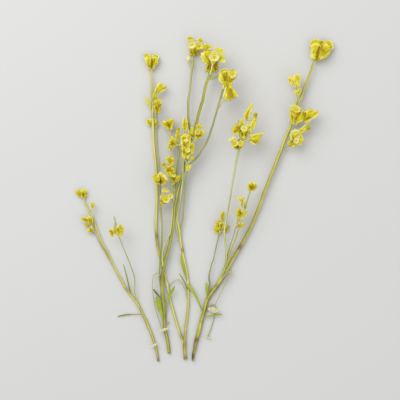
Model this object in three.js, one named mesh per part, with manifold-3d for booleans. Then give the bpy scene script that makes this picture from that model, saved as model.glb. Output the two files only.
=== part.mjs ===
// Loose bunch of dried everlasting stems lying flat: four cut stems with their side branches,
// narrow leaves, papery folded florets and spent heads nodding on thread-thin stalks.
// Millimetres, +Z up, the bunch's long way along Y, its lowest points on z = 0.
import * as THREE from "three";
import { mergeVertices } from "three/addons/utils/BufferGeometryUtils.js";
import Module from "manifold-3d";

const wasm = await Module();
wasm.setup();
const { Manifold, Mesh: SolidMesh } = wasm;

// ---- driving dimensions (mm) ----
const PLAN_UNIT = 1.1; // one plan unit of the tables below
const PLAN_CENTRE = [200, 200]; // plan point that the routes are measured from
const PLAN_TAPER_HEIGHT = 1300; // height at which the plan narrows to a point
const PART_OFFSET = [-4.666, -1.035, 0.001]; // brings the centre of the outer box over the origin and the lowest point to z = 0
const CLEARANCE = 0.5; // air kept between two neighbouring stems or leaves
const HEAD_CLEARANCE = 0.62; // and between two neighbouring heads
const STEM_SIDES = 7;
const STEM_STEP = 9; // spacing of the sections along a stem
const STALK_SIDES = 5; // sides of the thin stalks that lie free
const HEAD_STALK_SIDES = 4; // sides of the short stalks inside a head
const LEAF_THICKNESS = 0.8;
const SPENT_THICKNESS = 1.9;
const SECTION = 0.2; // radius of the round section that is drawn out along a route before it gets its own radii
const OUTLINE_TOLERANCE = 0.42; // plan units, how closely a head part's solid follows its margin
const FAN_FRONT = 0.92; // front face of a folded head part over its middle plane, as a share of its half depth
const FAN_BACK = 0.7; // and its back face under it
const FAN_EDGE = 0.5; // rounding of a thick head part's edge, as a share of its half depth
const FAN_FOOT = 0.4; // share of the thickness left at its narrow foot
const THIN_PETAL = 1.5; // half depth under which a head part is one flat petal
const DISC_PROFILE = [[0, 0.3], [0.5, 0.66], [1, 1]]; // open floret from base to rim: rise and radius as shares
const DISC_SIDES = 9;
const DISC_DISH = 0.3; // depth of its mouth, as a share of the rim's radius
const BUD_PROFILE = [[0, 0.4], [0.25, 0.82], [0.75, 1], [1, 0.45]]; // bud from base to tip: rise and radius as shares
const BUD_SIDES = 7;
const SMALLEST_DETAIL = 0.1; // facets finer than this are merged
const LINK_RADIUS = 0.55; // thin links that hold a loose petal to its floret

// ---- stems and branches: name, parent, then [across, along, width, height mm] from base to tip ----
const STEMS = [
  ["stem_a","",[[158.3,361.0,2.2,1.5],[157.8,358.0,2.21,1.51],[156.4,350.0,2.24,1.54],[155.0,345.0,2.25,1.55],[153.6,340.0,2.27,1.57],[152.0,335.0,2.29,1.59],[150.2,330.0,2.3,1.62],[148.2,325.0,2.3,1.68],[146.0,320.0,2.3,1.73],[143.4,315.0,2.3,1.79],[141.0,310.0,2.3,1.84],[138.0,304.5,2.3,1.9],[131.0,295.5,2.26,2.02],[125.5,288.0,2.23,2.11],[119.5,277.0,2.19,2.23],[113.0,265.0,2.14,2.32],[106.5,251.0,2.08,2.39],[103.3,245.0,2.04,2.37],[101.3,241.0,2.01,2.35],[99.0,235.0,1.96,2.33],[96.5,229.0,1.92,2.31],[94.8,223.0,1.87,2.29],[93.0,219.0,1.82,2.27],[91.3,216.0,1.79,2.26],[89.8,213.0,1.75,2.25],[88.3,210.0,1.72,2.24],[86.8,207.0,1.69,2.23],[85.3,204.0,1.65,2.22],[84.4,201.0,1.62,2.21],[84.3,198.8,1.6,2.2]]],
  ["branch_a_side","stem_a",[[138.6,305.2,1.3,2.4],[137.2,302.0,1.29,2.92],[136.3,299.0,1.27,3.4],[135.4,296.0,1.26,3.87],[134.7,293.0,1.25,4.33],[134.4,289.0,1.23,4.93],[134.7,285.0,1.21,5.53],[134.8,281.0,1.2,6.19],[134.6,278.0,1.18,6.82],[133.9,275.0,1.17,7.46],[133.0,272.0,1.16,8.11],[132.0,269.0,1.14,8.77],[130.8,266.0,1.13,9.45],[129.7,263.0,1.12,10.11],[128.5,260.0,1.1,10.79],[127.3,257.0,1.09,11.56],[126.2,254.0,1.08,12.36],[124.8,251.0,1.06,13.18],[123.6,248.0,1.05,13.99],[122.4,245.0,1.04,14.8],[121.2,242.0,1.02,15.61],[120.0,239.0,1.01,16.42],[119.3,236.8,1.0,17.0]]],
  ["strand_a_pale","stem_a",[[112.6,264.6,0.9,3.2],[109.5,260.0,0.9,2.92],[107.0,256.0,0.9,2.68],[105.0,252.2,0.9,2.47],[102.6,248.2,0.9,2.23],[100.4,244.5,0.88,2.42],[98.5,241.0,0.86,2.66],[97.1,238.0,0.84,2.86],[95.9,235.5,0.83,3.03],[94.5,232.5,0.81,3.23],[93.6,229.8,0.8,3.4]]],
  ["stem_b","",[[169.2,353.2,2.9,1.9],[168.7,350.0,2.92,1.99],[168.2,345.0,2.95,2.13],[167.3,340.0,2.98,2.27],[166.3,335.0,3.01,2.42],[165.2,330.0,3.05,2.6],[164.5,325.0,3.08,2.83],[164.3,320.0,3.11,3.08],[164.0,315.0,3.14,3.42],[163.5,310.0,3.17,3.8],[163.3,305.0,3.2,4.22],[162.8,300.0,3.23,4.65],[162.3,295.0,3.26,5.09],[162.0,290.0,3.29,5.52],[162.0,280.0,3.27,5.83],[162.2,275.0,3.26,5.95],[163.2,270.0,3.24,6.08],[163.9,265.0,3.22,6.2],[165.2,260.0,3.21,6.33],[166.8,255.0,3.19,6.47],[168.2,250.0,3.18,6.63],[169.4,245.0,3.16,6.79],[170.7,240.0,3.14,6.95],[171.3,235.0,3.13,7.11],[172.5,230.0,3.11,7.27],[173.3,225.0,3.1,7.43],[173.8,220.0,3.08,7.58],[174.3,215.0,3.07,7.74],[174.6,210.0,3.05,7.89],[175.2,205.0,3.04,8.05],[176.5,200.0,3.02,8.21],[177.3,195.0,3.0,8.36],[178.5,190.0,3.0,8.6],[179.8,185.0,3.0,8.85],[180.9,180.0,3.0,9.11],[182.2,175.0,3.0,9.36],[183.8,170.0,3.0,9.62],[185.2,165.0,3.0,9.88],[186.6,160.0,3.0,10.17],[187.9,155.0,3.0,10.49],[189.1,150.0,3.0,10.81],[190.3,145.0,3.0,11.13],[191.3,140.0,3.0,11.44],[192.8,135.0,3.0,11.77],[194.5,130.0,3.0,12.09],[195.8,125.0,3.0,12.41],[197.3,120.0,3.0,12.74],[198.3,115.0,3.0,13.05],[199.8,110.0,3.0,13.38],[201.2,105.0,3.0,13.7],[202.8,100.0,2.99,14.02],[204.7,90.0,2.84,14.49],[206.8,82.0,2.71,14.87],[208.0,79.0,2.66,15.02],[209.0,76.0,2.61,15.17],[209.7,73.0,2.56,15.31],[210.2,69.0,2.5,15.5]]],
  ["branch_s1","stem_b",[[191.4,141.0,2.0,11.0],[190.8,137.0,2.06,10.9],[190.3,133.0,2.11,10.81],[190.0,130.0,2.16,10.74],[189.3,125.0,2.23,10.62],[188.7,120.0,2.3,10.5],[188.4,115.0,2.28,10.03],[188.3,110.0,2.25,9.55],[188.3,105.0,2.23,9.08],[188.6,98.0,2.19,8.41],[189.2,95.0,2.14,8.08],[189.8,90.0,2.07,7.53],[190.3,85.0,2.0,6.98],[190.8,80.0,1.93,6.44],[191.2,75.0,1.9,6.07],[191.8,70.0,1.9,5.83],[192.2,68.0,1.9,5.73],[192.6,65.0,1.9,5.59],[193.1,60.0,1.9,5.35],[193.4,56.8,1.9,5.2]]],
  ["branch_k","stem_b",[[163.2,268.0,2.0,6.23],[162.5,260.0,2.0,7.58],[162.4,255.0,2.0,8.36],[163.0,250.0,2.0,8.76],[164.7,245.0,1.87,8.83],[166.8,240.0,1.73,9.18],[168.3,237.0,1.64,9.46],[169.6,235.0,1.58,9.62],[170.4,232.0,1.5,9.76],[171.1,228.0,1.48,9.88],[171.7,222.0,1.44,10.08],[172.2,216.0,1.41,10.38],[172.6,210.0,1.38,10.7],[172.7,203.0,1.34,11.08],[172.3,200.0,1.33,11.24],[172.0,195.0,1.3,11.51],[171.7,190.0,1.27,11.77],[171.2,185.0,1.25,12.04],[170.9,180.0,1.22,12.31],[170.6,176.5,1.2,12.5]]],
  ["branch_e","stem_b",[[160.8,287.5,1.4,5.4],[160.1,283.0,1.42,5.55],[159.8,280.0,1.43,5.64],[159.6,275.0,1.45,5.8],[159.6,270.0,1.47,5.96],[159.9,265.0,1.49,6.12],[160.3,260.0,1.53,6.26],[161.0,255.0,1.59,6.38],[161.5,250.0,1.65,6.51],[161.7,245.0,1.71,6.63],[162.0,240.0,1.77,6.75],[162.1,230.0,1.83,6.99],[162.0,225.0,1.85,7.11],[161.6,220.0,1.87,7.23],[161.2,215.0,1.89,7.35],[160.7,210.0,1.87,7.47],[160.5,205.0,1.81,7.59],[160.0,195.0,1.68,7.83],[160.0,185.0,1.56,8.07],[159.8,178.0,1.48,8.24],[159.6,170.0,1.38,8.43],[159.5,165.0,1.32,8.55],[159.0,160.0,1.3,8.67],[158.3,155.0,1.3,8.79],[157.9,150.0,1.3,8.91],[157.5,145.0,1.3,9.04],[157.4,140.0,1.3,9.16],[157.2,135.0,1.34,9.25],[157.2,130.0,1.4,9.33],[157.2,125.0,1.46,9.41],[157.3,120.0,1.52,9.49],[157.2,115.0,1.58,9.57],[157.3,113.2,1.6,9.6]]],
  ["stem_c","",[[185.2,357.5,3.2,2.3],[184.8,354.0,3.09,2.26],[184.4,350.0,2.96,2.21],[184.4,345.0,2.8,2.15],[184.7,340.0,2.65,2.09],[185.0,335.0,2.49,2.03],[185.3,330.0,2.38,1.97],[185.8,325.0,2.34,1.91],[186.5,320.0,2.3,1.85],[187.2,315.0,2.26,1.79],[187.8,310.0,2.22,1.74],[188.2,305.0,2.22,1.72],[188.3,300.0,2.26,1.76],[188.3,290.0,2.33,1.83],[188.2,285.0,2.37,1.87],[187.7,280.0,2.41,1.93],[187.0,275.0,2.43,2.03],[186.3,270.0,2.45,2.13],[185.3,265.0,2.47,2.23],[184.2,260.0,2.49,2.33],[183.2,255.0,2.5,2.46],[182.3,250.0,2.5,2.62],[181.3,245.0,2.5,2.78],[180.5,240.0,2.5,2.94],[180.0,235.0,2.5,3.1],[179.3,230.0,2.49,3.25],[178.2,225.0,2.47,3.42],[177.4,220.0,2.45,3.58],[177.0,215.0,2.43,3.73],[176.6,210.0,2.41,3.89],[176.0,200.0,2.37,4.21],[175.2,195.0,2.35,4.37],[174.8,190.0,2.33,4.53],[174.6,185.0,2.31,4.68],[174.3,180.0,2.28,4.84],[174.0,170.0,2.17,5.16],[173.8,165.0,2.11,5.32],[173.3,160.0,2.05,5.48],[172.3,156.0,2.0,5.61],[171.5,152.0,1.9,5.75],[170.9,148.0,1.8,5.89],[170.8,140.0,1.61,6.18],[170.4,135.0,1.5,6.36],[169.8,131.0,1.4,6.5]]],
  ["stem_c_left","stem_c",[[183.9,344.0,2.2,2.0],[182.3,340.0,2.23,1.96],[180.5,335.0,2.26,1.91],[178.8,330.0,2.3,1.86],[177.2,325.0,2.33,1.8],[175.8,320.0,2.36,1.75],[174.4,315.0,2.4,1.7],[173.0,310.0,2.42,1.68],[171.5,305.0,2.43,1.67],[170.2,300.0,2.45,1.69],[168.7,293.0,2.47,2.27],[168.1,290.0,2.48,2.81],[167.2,285.0,2.5,3.16],[165.8,280.0,2.52,2.38],[164.8,275.0,2.53,1.81],[163.2,270.0,2.55,1.75],[161.8,265.0,2.57,1.8],[160.7,260.0,2.58,1.85],[159.5,255.0,2.6,1.9],[158.2,250.0,2.58,1.98],[157.4,245.0,2.57,2.06],[156.8,240.0,2.55,2.14],[156.5,235.0,2.54,2.22],[156.0,230.0,2.52,2.31],[155.9,225.0,2.5,2.39],[156.0,220.0,2.5,2.47],[156.4,215.0,2.5,2.55],[156.6,210.0,2.5,2.63],[156.8,205.0,2.5,2.71],[157.1,200.0,2.5,2.79],[157.0,190.0,2.51,2.95],[157.0,185.0,2.53,3.03],[156.7,175.0,2.56,3.2],[156.3,170.0,2.58,3.28],[156.0,165.0,2.59,3.36],[155.5,160.0,2.62,3.45],[155.0,155.0,2.65,3.55],[154.4,150.0,2.68,3.64],[154.0,145.0,2.71,3.74],[153.6,140.0,2.75,3.84],[153.3,135.0,2.78,3.94],[153.0,130.0,2.79,4.03],[153.0,125.0,2.76,4.13],[152.8,120.0,2.72,4.23],[152.6,115.0,2.69,4.33],[152.5,110.0,2.66,4.42],[152.2,105.0,2.63,4.52],[152.0,100.0,2.57,4.61],[151.8,90.0,2.18,4.67],[151.4,80.0,1.79,4.74],[151.3,75.0,1.59,4.77],[151.3,72.0,1.48,4.79],[151.4,70.0,1.4,4.8]]],
  ["branch_hj","stem_c",[[181.2,247.0,1.3,2.63],[179.5,241.0,1.33,3.61],[178.2,236.0,1.35,4.36],[177.0,231.0,1.37,4.89],[176.2,226.0,1.39,5.46],[176.0,222.0,1.41,5.96],[176.8,218.0,1.43,6.48],[178.0,213.5,1.45,7.07],[178.9,210.0,1.47,7.53],[179.7,205.0,1.49,8.17],[180.4,200.0,1.52,8.77],[181.0,195.0,1.57,9.37],[181.6,190.0,1.61,10.11],[182.0,185.0,1.65,10.97],[182.5,180.0,1.7,11.81],[182.9,175.0,1.76,12.49],[183.1,170.0,1.83,12.92],[183.2,165.0,1.89,13.19],[183.0,160.0,1.96,13.65],[183.0,157.0,2.0,14.01]]],
  ["branch_i","stem_c",[[179.8,236.5,1.3,3.0],[180.5,230.0,1.33,3.75],[181.4,225.0,1.34,4.34],[182.4,220.0,1.36,4.92],[182.8,215.0,1.38,5.5],[183.2,210.0,1.4,6.08],[183.6,205.0,1.42,6.65],[183.9,200.0,1.44,7.23],[184.4,195.0,1.46,7.81],[184.6,190.0,1.48,8.38],[184.9,185.0,1.5,8.96],[185.5,180.0,1.55,9.54],[186.3,175.0,1.61,10.12],[187.3,170.0,1.67,10.71],[189.0,166.0,1.72,11.21],[191.5,162.3,1.77,11.72],[194.0,160.0,1.8,12.15],[196.5,158.0,1.8,12.64],[199.0,155.0,1.8,13.24],[202.0,150.0,1.8,14.13],[205.3,145.0,1.8,15.05],[207.8,140.0,1.8,15.91],[209.7,135.0,1.8,16.73],[211.2,130.0,1.8,17.53],[213.0,125.0,1.8,18.34],[214.3,120.0,1.8,19.14],[215.8,115.0,1.8,19.94],[217.2,110.0,1.78,20.73],[218.6,105.0,1.76,21.53],[219.8,101.0,1.75,22.17],[221.0,97.0,1.73,22.81],[222.0,93.0,1.71,23.44],[223.0,89.5,1.7,24.0]]],
  ["branch_t","stem_c",[[175.4,199.0,1.5,5.0],[175.9,190.0,1.64,5.96],[176.3,185.0,1.72,6.5],[176.6,180.0,1.8,7.03],[177.0,173.0,1.88,7.78],[177.4,168.0,1.93,8.32],[178.2,160.0,2.0,9.18],[178.6,155.0,2.0,9.71],[179.0,150.0,2.0,10.25],[179.3,146.0,2.0,10.68],[179.4,143.0,2.0,11.0]]],
  ["stem_d","",[[192.7,360.5,2.3,2.2],[193.0,357.0,2.52,2.2],[193.2,354.0,2.71,2.2],[194.2,350.0,2.96,2.2],[195.2,345.0,3.28,2.2],[196.3,340.0,3.6,2.2],[197.9,335.0,3.93,2.2],[199.2,330.0,4.0,2.2],[200.3,325.0,4.0,2.2],[201.6,320.0,4.0,2.2],[203.0,315.0,4.0,2.2],[204.3,310.0,4.0,2.2],[205.6,305.0,3.98,2.24],[207.1,300.0,3.94,2.32],[209.0,296.5,3.91,2.37],[211.0,293.5,3.89,2.43],[213.0,291.0,3.86,2.47],[215.0,288.3,3.84,2.52],[217.0,285.5,3.81,2.57],[219.0,282.2,3.77,2.63],[221.0,279.0,3.71,2.69],[223.2,275.7,3.66,2.74],[225.3,272.3,3.6,2.8],[227.5,269.0,3.54,2.86],[229.8,265.0,3.47,2.93],[232.0,261.0,3.4,3.0],[234.5,256.7,3.37,3.07],[237.0,252.3,3.33,3.14],[239.5,248.0,3.29,3.22],[242.0,243.8,3.26,3.29],[244.5,239.0,3.22,3.37],[247.0,234.0,3.19,3.48],[249.3,230.0,3.17,3.58],[251.0,226.0,3.15,3.67],[252.7,222.0,3.14,3.77],[254.5,218.0,3.12,3.87],[256.3,213.5,3.1,3.97],[258.2,209.0,3.11,4.08],[260.0,204.5,3.13,4.19],[261.6,200.0,3.15,4.29],[263.3,195.0,3.17,4.41],[265.3,190.0,3.19,4.53],[267.3,185.0,3.21,4.65],[269.2,180.0,3.23,4.76],[271.2,175.0,3.25,4.88],[273.3,170.0,3.27,5.0],[275.2,165.0,3.29,5.12],[277.2,160.0,3.29,5.24],[279.1,155.0,3.27,5.36],[281.2,150.0,3.25,5.48],[282.8,145.0,3.23,5.59],[284.6,140.5,3.22,5.7],[286.3,136.5,3.2,5.8],[288.0,132.5,3.17,5.86],[289.8,128.0,3.13,5.93],[291.0,124.5,3.11,5.99],[292.3,120.0,3.07,6.06],[294.3,114.0,3.03,6.15],[296.5,108.0,2.98,6.24],[298.0,104.0,2.95,6.3],[299.5,101.0,2.92,6.35],[301.0,98.0,2.9,6.4],[302.2,95.0,2.87,6.45],[303.2,92.0,2.85,6.5],[304.4,88.0,2.82,6.56],[305.6,85.0,2.79,6.61],[306.9,82.0,2.68,6.67],[308.1,79.0,2.57,6.73],[309.2,76.0,2.47,6.79],[310.4,73.0,2.36,6.85],[311.4,70.0,2.25,6.9],[312.2,67.0,2.15,6.96],[312.9,64.0,2.05,7.02],[313.8,62.0,1.98,7.06],[315.0,60.0,1.9,7.1]]],
  ["branch_x","stem_d",[[221.0,278.0,2.4,3.2],[223.0,272.0,2.33,3.99],[224.5,269.0,2.3,4.4],[225.5,266.0,2.26,4.8],[226.1,263.0,2.23,5.18],[226.3,260.0,2.2,5.56],[226.3,255.0,2.14,6.23],[226.1,250.0,2.09,6.91],[225.6,245.0,2.03,7.59],[225.0,240.0,1.98,8.24],[224.6,236.0,1.93,8.72],[224.3,232.0,1.89,9.2],[224.6,229.0,1.86,9.55],[225.0,226.0,1.83,9.91],[225.8,222.0,1.79,10.36],[226.3,218.0,1.77,10.76],[227.0,214.0,1.75,11.15],[228.0,210.0,1.72,11.55],[229.0,205.0,1.7,12.04],[229.8,200.0,1.67,12.45],[230.6,195.0,1.64,12.86],[231.3,190.0,1.62,13.27],[232.1,186.0,1.61,13.6],[233.3,179.0,1.69,14.18],[234.7,172.0,1.77,14.76],[235.6,167.0,1.86,15.17],[236.4,162.0,1.99,15.58],[237.5,157.0,2.13,16.0],[238.4,153.5,2.23,16.29],[238.9,151.0,2.3,16.5]]],
  ["branch_d_mid","branch_x",[[226.2,267.5,1.9,6.46],[227.2,264.0,1.85,7.54],[227.9,262.0,1.81,7.9],[228.5,259.0,1.77,8.09],[229.5,256.0,1.72,8.18],[230.5,253.0,1.68,8.4],[231.4,250.0,1.63,8.75],[232.5,247.0,1.58,9.19],[233.8,244.0,1.53,9.67],[235.0,241.0,1.5,10.14],[236.0,238.0,1.5,10.61],[237.0,235.0,1.5,11.08],[238.0,231.0,1.5,11.69],[238.6,229.0,1.5,12.0]]],
  ["strand_d_thin","branch_x",[[226.7,263.0,0.9,5.8],[227.3,258.0,0.9,5.91],[228.0,254.0,0.9,5.99],[228.9,250.0,0.9,6.08],[230.0,246.0,0.9,6.17],[231.0,243.0,0.9,6.39],[232.2,240.0,0.9,6.73],[233.3,236.0,0.9,7.17],[234.5,232.0,0.9,7.62],[235.4,229.0,0.9,7.95],[236.2,226.8,0.9,8.2]]],
  ["branch_d_left","stem_d",[[208.0,299.0,1.8,5.04],[208.4,294.0,1.74,4.89],[209.0,290.0,1.69,4.34],[209.4,287.0,1.65,4.07],[209.8,283.0,1.6,4.05],[209.2,280.0,1.55,4.12],[209.0,277.0,1.5,4.21],[209.5,273.0,1.42,4.36],[210.3,270.0,1.37,4.47],[211.0,267.0,1.31,4.58],[212.0,263.0,1.26,4.64],[213.3,260.0,1.22,4.68],[214.3,255.0,1.15,4.75],[215.5,250.0,1.1,4.79],[216.5,245.0,1.06,4.73],[217.7,240.0,1.03,4.67],[218.5,237.0,1.01,4.63],[218.9,234.6,1.0,4.6]]],
  ["pedicel_a","stem_a",[[138.4,306.2,1.0,3.82],[139.4,310.2,0.96,4.06],[141.0,314.0,0.92,4.2],[142.6,317.0,0.89,4.43],[144.0,320.0,0.85,4.61],[145.8,324.5,0.81,4.6],[147.4,328.0,0.8,4.6],[149.0,331.5,0.8,4.6],[150.2,334.5,0.8,4.65],[151.3,338.0,0.8,4.7],[152.6,341.8,0.8,4.76],[153.4,344.2,0.8,4.8]]],
  ["pedicel_n","branch_e",[[160.0,276.0,1.0,7.66],[158.5,273.4,0.99,7.58],[157.0,273.0,0.99,7.4],[155.3,273.7,0.98,7.17],[153.9,275.5,0.97,6.96],[153.0,278.0,0.96,6.88],[152.5,281.0,0.96,6.94],[152.3,285.0,0.94,6.71],[152.4,290.0,0.93,6.08],[153.0,295.0,0.91,5.46],[153.6,300.0,0.9,5.0],[154.8,305.0,0.9,5.0],[156.0,311.0,0.9,5.0],[157.4,316.0,0.9,5.16],[159.0,320.0,0.9,5.53],[160.2,324.0,0.9,5.9],[161.4,327.6,0.9,6.23],[162.2,329.4,0.9,6.4]]],
  ["pedicel_m","stem_c",[[187.6,298.5,1.2,2.4],[186.4,294.0,1.14,3.28],[185.7,291.0,1.11,3.86],[184.5,288.0,1.07,4.47],[183.0,284.7,1.03,4.34],[181.5,282.0,0.99,4.21],[180.0,280.5,0.98,4.11],[178.0,279.6,0.97,4.01],[176.0,279.8,0.96,3.63],[174.5,280.5,0.95,3.27],[172.5,282.0,0.93,2.73],[170.5,284.3,0.91,2.07],[169.1,286.0,0.9,1.6]]],
  ["pedicel_m2","stem_b",[[164.6,299.5,1.0,4.4],[166.3,302.0,0.98,3.96],[166.7,306.0,0.95,3.37],[166.4,310.0,0.92,2.45],[166.2,318.0,0.9,1.35],[166.4,322.0,0.9,1.4],[167.3,323.6,0.9,1.56],[168.5,323.2,0.9,1.67],[168.9,321.7,0.9,1.8]]],
  ["pedicel_d1","stem_d",[[222.4,278.0,1.6,5.56],[225.6,274.3,1.49,5.53],[228.0,272.0,1.41,5.22],[229.8,270.8,1.36,5.16],[231.3,270.5,1.33,5.21],[231.2,272.3,1.29,5.26],[230.0,274.6,1.23,5.17],[226.6,281.0,1.1,5.04],[224.3,285.0,1.02,4.86],[222.1,290.0,0.92,4.44],[219.8,294.5,0.9,4.06],[217.7,299.0,0.9,3.87],[216.2,302.0,0.9,3.77],[215.2,305.0,0.9,3.67],[214.9,307.4,0.9,3.6]]],
  ["pedicel_d2","stem_d",[[205.6,312.4,1.0,1.9],[208.6,308.2,0.97,1.58],[210.6,306.2,0.95,1.4],[212.3,304.5,0.93,1.25],[213.8,304.6,0.92,1.19],[214.9,306.3,0.91,1.18],[215.4,309.5,0.89,1.15],[215.0,313.5,0.86,1.11],[214.3,317.0,0.83,1.1],[213.5,320.0,0.81,1.1],[212.4,323.5,0.8,1.1],[211.3,327.0,0.8,1.19],[210.0,331.0,0.8,1.43],[208.8,334.0,0.8,1.62],[208.1,336.2,0.8,1.75]]],
];

// ---- leaves: name, parent, then [across, along, width, height mm] from base to tip ----
const LEAVES = [
  ["leaf_b_dark","stem_b",[[161.2,298.2,0.7,4.6],[158.5,295.6,1.29,3.99],[156.5,293.3,1.56,3.04],[154.8,291.0,1.27,2.3],[153.0,289.0,0.4,1.6]]],
  ["leaf_b_lime","stem_b",[[163.1,319.0,1.2,6.91],[162.0,315.0,2.16,6.86],[160.8,311.0,3.32,6.48],[159.6,307.0,4.58,5.93],[158.5,303.0,5.16,4.99],[157.7,300.0,4.4,4.13],[157.2,298.0,2.78,3.45],[156.9,296.8,1.8,3.04]]],
  ["leaf_b_right","stem_b",[[164.6,303.6,0.9,5.18],[166.2,301.0,1.35,5.83],[167.6,298.8,2.16,6.21],[169.2,296.0,2.82,6.61],[171.0,293.0,3.1,6.94],[172.6,290.5,2.82,7.21],[174.0,288.0,1.71,7.08],[174.9,286.2,0.6,7.0]]],
  ["leaf_c_lime","stem_c",[[186.8,279.0,0.8,4.4],[185.4,275.0,1.87,4.59],[184.1,270.0,2.5,4.77],[182.9,266.0,2.95,4.58],[181.9,262.0,2.88,4.39],[181.4,258.0,2.0,4.04],[181.2,255.5,1.19,3.83],[181.2,253.5,0.5,3.65]]],
  ["leaf_c_thin","stem_c",[[187.0,289.0,0.7,2.6],[185.2,284.0,0.95,4.34],[184.0,281.0,1.0,5.44],[182.5,278.5,0.94,6.44],[181.0,276.0,0.75,7.44],[179.2,273.5,0.4,8.5]]],
  ["leaf_c_long","stem_c",[[188.5,284.3,2.4,3.2],[190.0,286.7,3.11,3.91],[192.0,289.5,3.15,4.76],[194.0,292.8,2.76,5.57],[196.0,296.3,2.31,6.27],[197.8,299.8,1.99,6.75],[199.2,303.0,1.79,7.01],[200.5,306.5,1.58,7.14],[201.6,310.0,1.35,6.95],[202.4,313.0,1.0,6.8]]],
  ["leaf_d_tip","stem_d",[[208.2,298.6,1.5,3.0],[207.9,294.5,2.97,2.22],[207.5,290.5,3.6,1.78],[207.1,287.0,3.04,1.73],[206.6,284.5,1.89,2.02],[206.2,283.0,1.0,2.2]]],
  ["leaf_d_right","stem_d",[[203.6,317.8,0.8,2.6],[206.5,316.8,1.08,2.98],[210.0,316.0,1.51,3.42],[213.5,315.3,1.7,3.97],[217.0,314.8,1.63,4.4],[220.0,314.5,1.27,4.4],[222.8,314.4,0.5,4.4]]],
  ["leaf_a_olive","stem_a",[[130.9,295.2,1.4,2.8],[129.8,290.0,1.37,3.49],[129.0,287.0,1.29,3.9],[128.2,283.0,1.2,4.43],[127.3,279.0,1.19,4.97],[126.3,275.0,1.1,5.51],[125.3,271.0,1.08,5.98],[124.3,267.0,0.87,6.45],[123.3,264.0,0.4,6.8]]],
  ["leaf_a_stray","stem_a",[[142.9,314.4,0.55,2.0],[138.0,314.3,0.5,1.77],[132.5,314.4,0.66,1.52],[129.0,314.5,1.01,1.35],[126.0,314.8,1.22,1.21],[123.0,315.4,1.22,1.14],[120.0,315.9,0.93,1.06],[117.3,316.6,0.4,1.0]]],
];

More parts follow.
